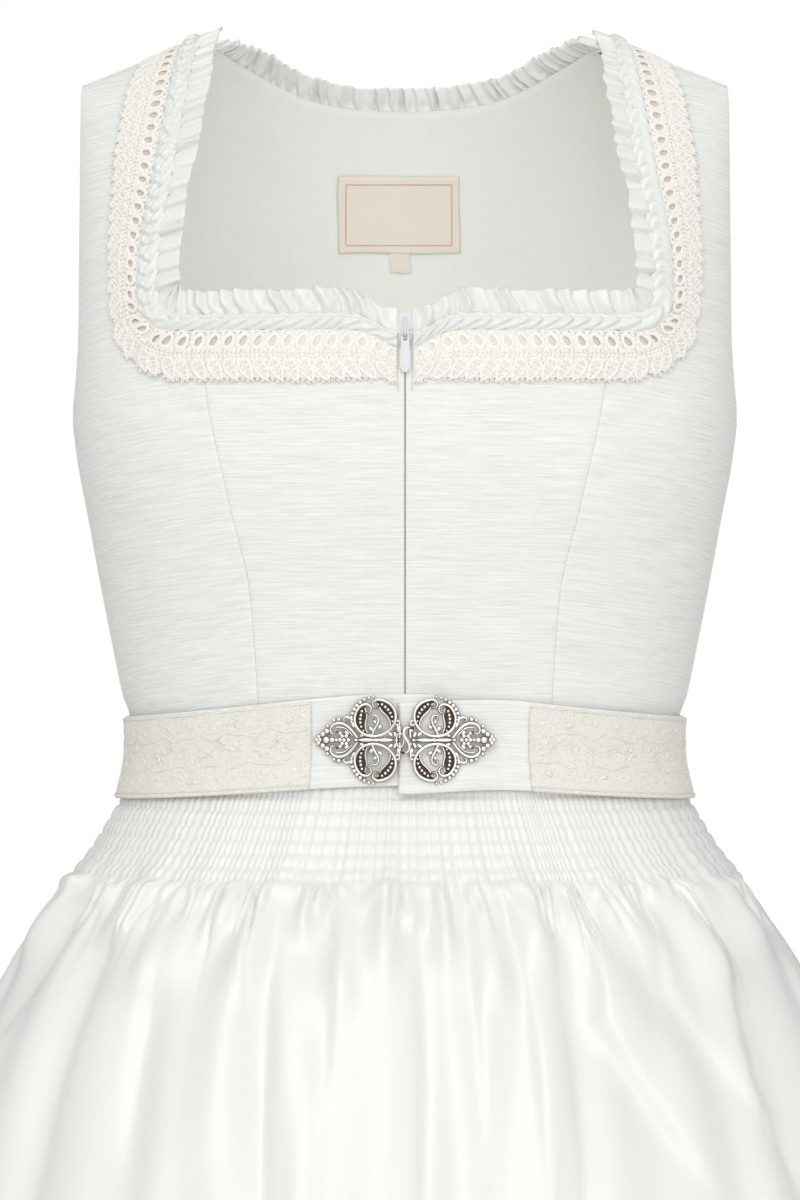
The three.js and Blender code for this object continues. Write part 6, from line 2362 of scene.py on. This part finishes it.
class Cast:
    """Gathers the shapes of a casting, in millimetres on its own plane, and fuses them into one piece."""

    def __init__(self) -> None:
        """Starts with nothing."""
        self.shapes: list[Piece] = []

    def keep(self, shape: Piece, low: float, high: float) -> Piece:
        """Keeps a shape, and notes on its points how far they stand out of the recesses.

        Args:
            shape: The new shape, a mesh in metres.
            low: Height in millimetres at which the metal is dark.
            high: Height at which it is bright.

        Returns:
            The shape.
        """
        alone(shape)
        bpy.ops.object.transform_apply(location=True, rotation=True, scale=True)
        bpy.ops.object.shade_smooth()
        heights = np.empty(len(shape.data.vertices) * 3)
        shape.data.vertices.foreach_get("co", heights)
        share = np.clip((heights[2::3] / MM - low) / (high - low), 0.0, 1.0)
        layer = shape.data.attributes.new("relief", "FLOAT", "POINT")
        layer.data.foreach_set("value", share)
        self.shapes.append(shape)
        return shape

    def wire(self, path: Sequence[tuple[float, float, float]], thick: float | Sequence[float], steps: int = 5,
             closed: bool = False) -> None:
        """Adds a drawn wire along a smooth path.

        Args:
            path: Its points.
            thick: Its radius, or one for each point.
            steps: Points between two points of the path.
            closed: Whether it is a loop.
        """
        deselected()
        bpy.ops.curve.primitive_nurbs_path_add(location=(0.0, 0.0, 0.0))
        curve = bpy.context.object
        curve.data.splines.clear()
        spline = curve.data.splines.new("NURBS")
        spline.points.add(len(path) - 1)
        radii = [thick] * len(path) if isinstance(thick, float) else list(thick)
        for point, place, radius in zip(spline.points, path, radii):
            point.co = (place[0] * MM, place[1] * MM, place[2] * MM, 1.0)
            point.radius = radius
        spline.order_u = 3
        spline.use_endpoint_u = not closed
        spline.use_cyclic_u = closed
        spline.resolution_u = steps
        curve.data.dimensions = "3D"
        curve.data.bevel_depth = MM
        curve.data.bevel_resolution = 2
        curve.data.use_fill_caps = True
        bpy.ops.object.convert(target="MESH")
        middle = float(np.mean([place[2] for place in path]))
        size = float(np.mean(radii))
        self.keep(bpy.context.object, middle + 0.5 * size, middle + 0.94 * size)

    def pearl(self, x: float, y: float, radius: float, base: float = 0.6, squash: float = 1.0,
              long: float = 1.0, turn: float = 0.0, dark: bool = False) -> None:
        """Adds a pearl or, drawn long, a petal or leaf.

        Args:
            x: Its place along the casting.
            y: Its place up the casting.
            radius: Its radius.
            base: Height of its middle.
            squash: Its height as a share of its width.
            long: Its length as a share of its width.
            turn: Degrees that its length is turned.
            dark: Whether it is a recess, dark all over.
        """
        deselected()
        bpy.ops.mesh.primitive_uv_sphere_add(segments=14, ring_count=9, radius=radius * MM,
                                             location=(x * MM, y * MM, base * MM))
        shape = bpy.context.object
        shape.scale = (long, 1.0, squash)
        shape.rotation_euler = (0.0, 0.0, math.radians(turn))
        lift = 10.0 if dark else 0.0
        self.keep(shape, base + 0.3 * radius * squash + lift, base + 0.85 * radius * squash + lift)

    def ring(self, x: float, y: float, radius: float, thick: float, base: float) -> None:
        """Adds a round ring of wire.

        Args:
            x: Its place along the casting.
            y: Its place up the casting.
            radius: Its radius.
            thick: The wire's radius.
            base: Height of its middle.
        """
        deselected()
        bpy.ops.mesh.primitive_torus_add(major_segments=20, minor_segments=8, major_radius=radius * MM,
                                         minor_radius=thick * MM, location=(x * MM, y * MM, base * MM))
        self.keep(bpy.context.object, base + 0.1 * thick, base + 0.95 * thick)

    def fused(self, name: str, mirror: bool) -> Piece:
        """Fuses the shapes.

        Args:
            name: The piece's name.
            mirror: Whether the casting is turned over to the other side.

        Returns:
            The piece.
        """
        deselected()
        for shape in self.shapes:
            shape.select_set(True)
        bpy.context.view_layer.objects.active = self.shapes[0]
        bpy.ops.object.join()
        piece = bpy.context.object
        piece.name = name
        piece.data.name = name
        if mirror:
            piece.scale = (-1.0, 1.0, 1.0)
            bpy.ops.object.transform_apply(location=True, rotation=True, scale=True)
        with editing():
            bpy.ops.mesh.normals_make_consistent(inside=False)
        return piece


@dataclass
class Clasp:
    """The belt's clasp: two mirrored castings of open scrollwork, hooked together in the middle."""

    half_space: float = 0.6
    stand_off: float = 0.2
    length: float = 43.0
    scroll_x: float = 13.6
    scroll_rise: float = 10.6
    scroll: float = 8.7
    tilt: float = 0.3
    deck: float = 0.6
    rim_from: float = 62.0
    rim_to: float = -248.0
    rim_wire: float = 0.74
    blossom_x: float = 28.6

    def seat(self, side: Side) -> Seat:
        """Where a half sits on the belt, tilted with the belt's curve.

        Args:
            side: Which half.

        Returns:
            Its seat.
        """
        layers = BELT.wall + (BELT.wall + BELT.layer_gap if side is Side.LEFT else 0.0)
        spots = np.array([-1.0, 0.0, 1.0])
        near = float(lifted(BELT.point, np.zeros(3), spots, 2 * BELT.wall + BELT.layer_gap)[:, 1].min())
        angle = side.sign * math.degrees(math.asin(self.length / BELT.rings.rows[1][2]))
        tip = float(lifted(BELT.point, np.full(3, angle), spots, layers)[:, 1].min())
        tilt = side.sign * math.atan2(tip - near, self.length)
        return Seat(
            np.array([side.sign * self.half_space, near - self.stand_off, BELT.middle]),
            np.array([math.cos(tilt), math.sin(tilt), 0.0]),
            np.array([0.0, 0.0, 1.0]),
            np.array([math.sin(tilt), -math.cos(tilt), 0.0]),
        )

    def scroll_point(self, degrees: float, out: float, hand: int) -> tuple[float, float]:
        """A point at an angle round a scroll, and a distance from its middle.

        Args:
            degrees: The angle.
            out: The distance.
            hand: 1 above the stem, -1 below it.

        Returns:
            Its place along and up the casting.
        """
        turn = math.radians(degrees)
        along, aside = out * 1.16 * math.cos(turn), out * math.sin(turn)
        cos, sin = math.cos(self.tilt), math.sin(self.tilt)
        rise = self.scroll_rise + aside * cos - along * sin
        return self.scroll_x + along * cos + aside * sin, hand * rise

    def curl(self, degrees: float, way: int, radius: float, hand: int, turns: float = 0.8,
             count: int = 9) -> list[tuple[float, float]]:
        """A shrinking curl that leaves a scroll's rim inwards.

        Args:
            degrees: Where on the rim it starts.
            way: 1 where the rim was followed anticlockwise, -1 clockwise.
            radius: The curl's first radius.
            hand: 1 above the stem, -1 below it.
            turns: How far it winds.
            count: How many points it has.

        Returns:
            The curl's points.
        """
        middle = self.scroll_point(degrees, self.scroll - radius, 1)
        points = []
        for step in range(1, count + 1):
            share = step / count
            turn = math.radians(degrees + way * 360.0 * turns * share)
            size = radius * (1.0 - 0.62 * share)
            rise = middle[1] + size * math.sin(turn)
            points.append((middle[0] + size * math.cos(turn) * 1.1, hand * rise))
        return points

    @staticmethod
    def crescent(first: float, last: float, share: float) -> tuple[float, float]:
        """Angle and swelling of a crescent at a share of the way along it."""
        return first + (last - first) * share, math.sin(math.pi * (0.1 + 0.86 * share**0.75)) ** 0.8

    def scrollwork(self, cast: Cast, hand: int) -> None:
        """Adds one great scroll: a rim with a curl at each end, an engraved crescent, studs and pearls.

        Args:
            cast: The casting.
            hand: 1 above the stem, -1 below it.
        """
        start, end = self.rim_from, self.rim_to
        arc = [start + (end - start) * step / 22 for step in range(23)]
        rim = [self.scroll_point(angle, self.scroll, hand) for angle in arc]
        head = self.curl(start, 1, 3.1, hand)[::-1]
        tail = self.curl(end, -1, 2.6, hand)
        path = [(x, y, self.deck + 0.5) for x, y in head + rim + tail]
        ends, middle = [0.42 + 0.3 * step / 9 for step in range(len(head))], [self.rim_wire] * len(rim)
        cast.wire(path, ends + middle + ends[::-1], steps=4)
        for first, last, wide in ((64.0, -50.0, 2.5), (-246.0, -132.0, 2.3)):
            inner = []
            for step in range(13):
                angle, swell = self.crescent(first, last, step / 12)
                x, y = self.scroll_point(angle, self.scroll - wide * swell, hand)
                cast.pearl(x, y, max(wide * swell, 0.4), self.deck - 0.1, 0.25, dark=True)
                edge = self.scroll_point(angle, self.scroll - 2.0 * wide * swell - 0.1, hand)
                inner.append((*edge, self.deck + 0.3))
            cast.wire(inner, 0.42, steps=2)
            for step in range(1, 7):
                angle, swell = self.crescent(first, last, step / 7)
                x, y = self.scroll_point(angle, self.scroll - wide * swell, hand)
                cast.pearl(x, y, 0.36 + 0.5 * swell, self.deck + 0.5)
        for step in range(9):
            share = step / 8
            x, y = self.scroll_point(101.0 - 92.0 * share, self.scroll + 1.35, hand)
            cast.pearl(x, y, 0.78 + 0.42 * math.sin(math.pi * share), self.deck + 0.2)
        twig = ((1.6, -8.4), (0.4, -5.2), (-1.6, -2.4), (-1.4, 0.8), (1.0, 1.6), (1.9, -0.2), (0.6, -1.0))
        sprig = [(self.scroll_x + x, hand * (self.scroll_rise + y), self.deck + 0.1) for x, y in twig]
        cast.wire(sprig, [0.7, 0.66, 0.6, 0.56, 0.52, 0.5, 0.46], steps=3)
        for x, y, size in ((2.0, -5.3, 0.95), (-2.2, -4.4, 0.9), (0.2, -1.9, 0.75)):
            cast.pearl(self.scroll_x + x, hand * (self.scroll_rise + y), size, self.deck, 0.7, 1.6,
                       hand * (40.0 if x > 0 else -30.0))

    def tip(self, cast: Cast, hand: int) -> None:
        """Adds the outer leaf outline with its curl, sprays and pearls.

        Args:
            cast: The casting.
            hand: 1 above the stem, -1 below it.
        """
        heart = ((22.2, 1.0), (24.8, 4.8), (28.6, 7.9), (32.6, 8.2), (35.3, 5.9), (35.0, 3.1), (32.6, 2.7),
                 (31.6, 4.3))
        cast.wire([(x, hand * y, self.deck + 0.4) for x, y in heart],
                  [0.66, 0.72, 0.76, 0.74, 0.68, 0.6, 0.52, 0.42])
        inner = ((24.6, 2.2), (27.0, 5.0), (30.0, 6.3), (32.4, 6.0))
        cast.wire([(x, hand * y, self.deck) for x, y in inner], 0.42)
        vine = ((24.4, 9.4), (26.4, 11.0), (28.6, 10.8), (29.0, 9.0), (27.4, 8.6))
        cast.wire([(x, hand * y, self.deck + 0.2) for x, y in vine], [0.7, 0.7, 0.62, 0.55, 0.46])
        for x, y, size, long, turn in (
            (24.2, 7.2, 1.05, 1.7, 60.0), (31.2, 9.9, 1.2, 1.0, 0.0), (33.5, 9.3, 0.95, 1.0, 0.0),
            (36.9, 4.2, 1.5, 1.0, 0.0), (36.6, 6.6, 0.95, 1.0, 0.0), (38.9, 2.7, 1.45, 1.0, 0.0),
            (41.0, 1.5, 1.2, 1.0, 0.0), (27.4, 3.4, 0.95, 1.6, 35.0), (30.6, 3.2, 0.9, 1.3, -20.0),
        ):
            cast.pearl(x, hand * y, size, self.deck, 0.8, long, hand * turn)

    def stem(self, cast: Cast) -> None:
        """Adds what lies on the middle line: the turned stem, blossom, end pearls and foot leaves.

        Args:
            cast: The casting.
        """
        profile = ((2.2, 0.5), (3.4, 1.15), (4.4, 0.6), (6.2, 0.9), (9.4, 1.3), (12.4, 0.8), (13.4, 1.3),
                   (14.4, 0.8), (17.4, 1.25), (20.6, 0.9), (22.2, 0.6), (23.2, 1.2), (24.2, 0.5))
        cast.wire([(x, 0.0, self.deck) for x, _ in profile], [radius for _, radius in profile], steps=4)
        for number in range(6):
            turn = 60.0 * number
            x = self.blossom_x + 2.0 * math.cos(math.radians(turn))
            y = 2.0 * math.sin(math.radians(turn))
            cast.pearl(x, y, 1.1, self.deck + 0.1, 0.75, 1.2, turn)
        cast.pearl(self.blossom_x, 0.0, 1.2, self.deck + 0.7)
        for x, radius in ((32.4, 1.0), (34.4, 1.5), (37.2, 1.9), (40.2, 1.1), (42.0, 1.1)):
            cast.pearl(x, 0.0, radius, self.deck + 0.2, 0.8)
        for hand in (-1, 1):
            for x, y, turn in ((4.0, 2.6, 62.0), (6.4, 2.9, 36.0), (2.6, 5.2, 84.0), (19.8, 2.4, -30.0),
                               (16.2, 2.2, 25.0)):
                cast.pearl(x, hand * y, 0.92, self.deck, 0.75, 1.9, hand * turn)
            cast.ring(3.0, hand * 8.2, 1.1, 0.5, self.deck)
            bar = [(2.0, hand * 1.2, self.deck), (1.5, hand * 4.0, self.deck), (2.0, hand * 7.2, self.deck)]
            cast.wire(bar, 0.75)

    def build(self) -> None:
        """Makes both halves."""
        for side in Side:
            cast = Cast()
            for hand in (-1, 1):
                self.scrollwork(cast, hand)
                self.tip(cast, hand)
            self.stem(cast)
            high = self.deck + 0.9
            if side is Side.LEFT:
                hook = ((3.4, 5.4, 1.2), (1.2, 6.6, high), (-1.5, 5.2, high + 0.3),
                        (-1.4, 2.0, high + 0.4), (0.9, -0.9, high + 0.4), (1.5, -4.4, high + 0.3),
                        (-0.8, -6.8, high), (-2.8, -5.4, 1.4))
                cast.wire(hook, [0.6, 0.75, 0.8, 0.8, 0.8, 0.75, 0.65, 0.5], steps=6)
            else:
                eye = [(1.6 + 1.9 * math.cos(t), 3.4 * math.sin(t), high - 0.3) for t in even_turns(12)]
                cast.wire(eye, 0.55, steps=4, closed=True)
            mirror = side is Side.RIGHT
            half = seated(cast.fused(f"clasp_{side.value}_cast", mirror), self.seat(side))
            finished(half, AntiqueSilver(), [f"clasp_{side.value}"])


@dataclass
class Zip:
    """The front zip: coil and tape behind the placket, an enamelled slider and its drop-shaped pull."""

    width: float = 24.0
    tape_wall: float = 0.5
    tooth: float = 1.45
    behind: float = 2.7
    pull_length: float = 19.0
    pull_drop: float = 1.2
    pull_out: float = 2.9
    pull_wall: float = 1.1
    slider_wall: float = 1.4
    slider_width: float = 5.6
    slider_length: float = 12.6
    trim_gap: float = 0.5
    edge: float = 0.3

    @property
    def top(self) -> float:
        """Height of the zip's upper end, at the neck."""
        return BODICE.neck_front - BODICE.neck_dip

    def seat(self, up: float = 0.0, out: float = 0.0) -> Seat:
        """Where the slider sits at the top of the zip, moved up and out of there.

        Args:
            up: How far up along the zip.
            out: How far off the cloth.

        Returns:
            The seat.
        """
        top, low = (BODICE.at(Face.FRONT, np.array(0.0), np.array(z), 0.0)
                    for z in (self.top, self.top - self.pull_length))
        rise = (top - low) / np.linalg.norm(top - low)
        face = np.array([0.0, -rise[2], rise[1]])
        return Seat(top + rise * up + face * out, np.array([1.0, 0.0, 0.0]), rise, face)

    def coil(self) -> None:
        """Makes the tape and the interlocked coil."""
        z = np.linspace(BODICE.waist_seam + 0.5, self.top - 1.5, 60)
        across, height = np.meshgrid(np.linspace(-self.width / 2, self.width / 2, 7), z)
        tape_grid = Grid(BODICE.at(Face.FRONT, across, height, -self.behind))
        tape = finished(tape_grid.cloth("zip_tape", self.tape_wall), ZipCoil(), ["zip_chain"])
        work = Work()
        for hand in (-1, 1):
            work.pad(0.0, hand * 0.55, 0.6, 0.85, 0.7, 0.0)
        places = np.arange(z[0] + 1.0, z[-1] - 2.0, self.tooth)
        points, faces = work.repeated(places, np.ones(len(places)), lambda along, wide: wide)
        laid = BODICE.at(Face.FRONT, points[:, 1], points[:, 0], points[:, 2] - (self.behind + 0.05))
        teeth = finished(worked_object("zip_coil", laid, faces, True), ZipCoil())
        sewn(tape, Cut.of(tape_grid.points))

    def slider(self) -> None:
        """Makes the slider: a waisted body with a bridge over it."""
        deselected()
        bpy.ops.mesh.primitive_cube_add(size=1.0, location=(0.0, 0.0, 0.0))
        body = bpy.context.object
        body.name = "zip_slider_body"
        body.scale = (self.slider_width * MM, self.slider_length * MM, self.slider_wall * MM)
        body.location = (0.0, 1.3 * MM, (self.trim_gap + self.slider_wall / 2) * MM)
        bpy.ops.object.transform_apply(location=True, rotation=True, scale=True)
        with editing():
            bpy.ops.mesh.subdivide(number_cuts=3)
        for vertex in body.data.vertices:
            share = (vertex.co.y / MM + 5.0) / self.slider_length
            vertex.co.x *= 0.62 + 0.38 * float(smoothstep(share, 0.0, 0.8))
        bevel = body.modifiers.new("edges", "BEVEL")
        bevel.width = 0.45 * MM
        bevel.segments = 3
        applied(body)
        cast = Cast()
        cast.keep(body, 0.0, 1.0)
        front = self.trim_gap + self.slider_wall
        arch = ((-3.2, -0.2), (-3.2, 1.6), (-1.8, 2.7), (2.2, 2.7), (4.8, 1.8), (5.8, -0.2))
        cast.wire([(0.0, y, front + rise) for y, rise in arch], [0.7, 0.62, 0.55, 0.55, 0.62, 0.75])
        slider = seated(cast.fused("zip_slider_cast", False), self.seat())
        finished(slider, Enamel(), ["zip_slider"])

    def pull(self) -> None:
        """Makes the pull tab: a drop of cast metal with an eye for the bridge."""
        deselected()
        bpy.ops.curve.primitive_bezier_circle_add(location=(0.0, 0.0, 0.0))
        outline = bpy.context.object
        outline.name = "zip_pull_drop"
        half, tip = 2.65, -0.9 - self.pull_length
        corners = (
            ((0.0, 0.5), (-1.2, 0.5), (1.2, 0.5)),
            ((1.8, -1.0), (1.8, 0.2), (1.8, -2.6)),
            ((half, tip + 5.4), (half - 0.1, tip + 9.0), (half + 0.05, tip + 2.4)),
            ((0.0, tip + 0.1), (1.7, tip + 0.1), (-1.7, tip + 0.1)),
            ((-half, tip + 5.4), (-half - 0.05, tip + 2.4), (-half + 0.1, tip + 9.0)),
            ((-1.8, -1.0), (-1.8, -2.6), (-1.8, 0.2)),
        )
        spline = outline.data.splines[0]
        spline.bezier_points.add(len(corners) - len(spline.bezier_points))
        hole = outline.data.splines.new("BEZIER")
        hole.use_cyclic_u = True
        eye = (((0.0, -0.6), (-0.7, -0.6), (0.7, -0.6)), ((1.0, -2.6), (1.0, -1.2), (1.0, -4.0)),
               ((0.0, -4.5), (0.7, -4.5), (-0.7, -4.5)), ((-1.0, -2.6), (-1.0, -4.0), (-1.0, -1.2)))
        hole.bezier_points.add(len(eye) - 1)
        for line, places in ((spline, corners), (hole, eye)):
            for point, (at, before, after) in zip(line.bezier_points, places):
                point.handle_left_type = point.handle_right_type = "FREE"
                point.co = (at[0] * MM, at[1] * MM, 0.0)
                point.handle_left = (before[0] * MM, before[1] * MM, 0.0)
                point.handle_right = (after[0] * MM, after[1] * MM, 0.0)
        outline.data.dimensions = "2D"
        outline.data.fill_mode = "BOTH"
        outline.data.resolution_u = 10
        outline.data.extrude = (self.pull_wall / 2 - self.edge) * MM
        outline.data.bevel_depth = self.edge * MM
        outline.data.bevel_resolution = 3
        outline.data.offset = -self.edge * MM
        bpy.ops.object.convert(target="MESH")
        drop = bpy.context.object
        with editing():
            bpy.ops.mesh.remove_doubles(threshold=1e-6)
            bpy.ops.mesh.normals_make_consistent(inside=False)
        bpy.ops.object.shade_smooth_by_angle(angle=math.radians(50.0))
        seated(drop, self.seat(-self.pull_drop, self.pull_out))
        finished(drop, Enamel(), ["zip_pull"], PULL_BODY)

    def build(self) -> None:
        """Makes the zip."""
        self.coil()
        self.slider()
        self.pull()


@dataclass
class Label:
    """The woven label and the size tab, both plain, sewn to the lining of the back."""

    middle: float = -3.0
    width: float = 63.0
    top: float = 285.0
    height: float = 39.5
    off: float = -5.9
    wall: float = 0.5
    frame: float = 4.2
    turned: float = 1.4
    tab_aside: float = 0.6
    tab_width: float = 11.0
    tab_top: float = 246.0
    tab_height: float = 10.4

    def strip(self, middle: float, width: float, top: float, height: float, off: float, curl: float) -> Grid:
        """A strip of label cloth on the back.

        Args:
            middle: Its middle across the back.
            width: Its width.
            top: Height of its upper edge.
            height: How tall it is.
            off: How far it lies off the form.
            curl: How far its surface waves.

        Returns:
            The strip's grid.
        """
        share_x = np.concatenate([[0.0, 0.02, 0.05], np.linspace(0.08, 0.92, 26), [0.95, 0.98, 1.0]])
        share_z = np.concatenate([[0.0, 0.03, 0.07], np.linspace(0.12, 0.88, 16), [0.93, 0.97, 1.0]])
        u, v = np.meshgrid(share_x, share_z)
        x = middle + width * (u - 0.5) + 0.35 * np.sin(v * 5.0 + 1.0) * (np.abs(u - 0.5) > 0.4)
        z = top - height * (1.0 - v) + 0.3 * np.sin(u * 7.0) * (np.abs(v - 0.5) > 0.38)
        edge = np.minimum(np.minimum(u, 1 - u) * width, np.minimum(v, 1 - v) * height)
        puff = -0.45 * smoothstep(edge, 0.0, 1.6) + curl * np.sin(u * 9.0 + v * 2.0)
        return Grid(BODICE.at(Face.BACK, x, z, off + puff))

    def line(self, inset: float, radius: float) -> tuple[Array, Array]:
        """A rectangle of couched thread, inset from the label's edge.

        Args:
            inset: How far it lies inside the edge.
            radius: The thread's radius.

        Returns:
            Its points and faces.
        """
        work = Work()
        right, top = self.width / 2 - inset, self.height / 2 - inset
        corners = [(-right, -top), (right, -top), (right, top), (-right, top), (-right, -top)]
        path = []
        for start, end in zip(corners[:-1], corners[1:]):
            for share in np.linspace(0.0, 1.0, 24, endpoint=False):
                path.append((mix(start[0], end[0], share), mix(start[1], end[1], share), 0.0))
        work.cord(np.array(path), radius, 5, closed=True)
        return work.merged()

    def stitched(self, name: str, inset: float, radius: float, raised: float,
                 thread: Thread) -> Piece:
        """Makes a rectangle of thread on the label.

        Args:
            name: The piece's name.
            inset: How far it lies inside the label's edge.
            radius: The thread's radius.
            raised: How far it stands off the label.
            thread: Its finish.

        Returns:
            The piece.
        """
        points, faces = self.line(inset, radius)
        laid = BODICE.at(Face.BACK, self.middle + points[:, 0], self.top - self.height / 2 + points[:, 1],
                         self.off - raised - points[:, 2])
        return finished(worked_object(name, laid, faces), thread)

    def build(self) -> None:
        """Makes the label, its stitched frame and the tab."""
        grid = self.strip(self.middle, self.width, self.top, self.height, self.off, 0.06)
        cloth = finished(grid.cloth("label_cloth", self.wall), LabelCloth(), ["label"])
        frame = self.stitched("label_frame", self.frame, 0.26, 0.5, Thread())
        hem = self.stitched("label_stitching", self.turned, 0.18, 0.42,
                            Thread(name="cream_thread", tint="#efe9df"))
        sewn(cloth, Cut.of(grid.points))
        tab = self.strip(self.middle + self.tab_aside, self.tab_width, self.tab_top, self.tab_height,
                         self.off + 0.1, 0.0)
        sheeted(tab, "size_tab_cloth", self.wall, LabelCloth(), "size_tab")


# ---- studio


@dataclass(frozen=True)
class Studio:
    """A pale floor, soft light all round and the camera in front of the dress.

    The lens draws a millimetre at the dress's axis image_scale units large, in a picture that is image_height
    units tall.
    """

    camera_x: float = -2.4
    camera_distance: float = 2500.0
    camera_height: float = 68.0
    image_scale: float = 2.016
    sensor: float = 36.0
    image_height: float = 1200.0
    floor_radius: float = 1.9
    ambient_front: float = 0.78
    ambient_back: float = 0.36
    key: float = 25.0
    fill: float = 9.8
    inside: float = 0.12

    def surround(self) -> None:
        """A white surround that lights the dress most from the front, and is plain white to the eye."""
        world = bpy.data.worlds.new("studio")
        bpy.context.scene.world = world
        world.use_nodes = True
        tree = world.node_tree
        tree.nodes.clear()
        way = add_node(tree, "ShaderNodeTexCoord").outputs["Generated"]
        parts = add_node(tree, "ShaderNodeSeparateXYZ", links={"Vector": way})
        front, high = (
            add_node(tree, "ShaderNodeMapRange",
                     {"From Min": -reach, "From Max": reach, "To Min": start, "To Max": end},
                     {"Value": parts.outputs[axis]})
            for axis, reach, start, end in (("Y", 0.9, self.ambient_front, self.ambient_back),
                                            ("Z", 1.0, 0.7, 1.3))
        )
        both = add_node(tree, "ShaderNodeMath", {"operation": "MULTIPLY"},
                        {0: front.outputs["Result"], 1: high.outputs["Result"]})
        seen = add_node(tree, "ShaderNodeLightPath").outputs["Is Camera Ray"]
        strength = add_node(tree, "ShaderNodeMath", {"operation": "MAXIMUM"}, {0: both.outputs[0], 1: seen})
        light = add_node(tree, "ShaderNodeBackground", {"Color": (1.0, 1.0, 1.0, 1.0)},
                         {"Strength": strength.outputs[0]})
        add_node(tree, "ShaderNodeOutputWorld", links={"Surface": light.outputs["Background"]})

    def build(self) -> None:
        """Sets the camera, floor, world and lights."""
        scene = bpy.context.scene
        scene.view_settings.view_transform = "Standard"
        scene.view_settings.look = "None"
        data = bpy.data.cameras.new("camera")
        data.sensor_width = self.sensor
        data.lens = self.image_scale * self.camera_distance * self.sensor / self.image_height
        data.clip_end = 30.0
        camera = bpy.data.objects.new("camera", data)
        camera.location = placed([self.camera_x, -self.camera_distance, self.camera_height])
        camera.rotation_euler = (math.pi / 2, 0.0, 0.0)
        scene.collection.objects.link(camera)
        scene.camera = camera
        self.surround()
        self.light("key", (-700, -2600, 2000), (0, 0, 60), 2300, self.key)
        self.light("fill", (900, -2500, 300), (0, 0, 40), 1700, self.fill)
        self.light("inside", (0, -30, 60), (0, 75, 260), 110, self.inside)
        deselected()
        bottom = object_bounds()[0][2]
        bpy.ops.mesh.primitive_circle_add(vertices=96, radius=self.floor_radius, fill_type="NGON",
                                          location=(0.0, 0.0, bottom - 0.002))
        floor = bpy.context.object
        floor.name = "floor"
        material = bpy.data.materials.new("floor_paint")
        material.use_nodes = True
        surface = material.node_tree.nodes["Principled BSDF"]
        surface.inputs["Base Color"].default_value = colour("#f2f2f0")
        surface.inputs["Roughness"].default_value = 0.9
        floor.data.materials.append(material)
        floor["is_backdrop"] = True

    def light(self, name: str, place: tuple[float, float, float], aim: tuple[float, float, float],
              size: float, power: float) -> None:
        """Adds a square soft light, placed and aimed in millimetres above the belt.

        Args:
            name: The light's name.
            place: Where it is.
            aim: What it is aimed at.
            size: Its edge.
            power: Its power in watts.
        """
        data = bpy.data.lights.new(name, "AREA")
        data.shape = "SQUARE"
        data.size = size * MM
        data.energy = power
        lamp = bpy.data.objects.new(name, data)
        start, end = placed(place), placed(aim)
        lamp.location = start
        way = end - start
        flat = math.hypot(way[0], way[1])
        pitch, heading = math.atan2(way[2], flat), math.atan2(way[1], way[0])
        lamp.rotation_euler = (math.pi / 2 + pitch, 0.0, heading - math.pi / 2)
        bpy.context.scene.collection.objects.link(lamp)


def main() -> None:
    """Builds the dress in order and stages it."""
    logging.basicConfig(level=logging.INFO, format="%(message)s", force=True)
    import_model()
    deselected()
    for assembly in (Studio(), Bodice(), Skirt(), Apron(), Belt(), Trims(), Label(), Zip(), Clasp()):
        assembly.build()


if __name__ == "__main__":
    main()
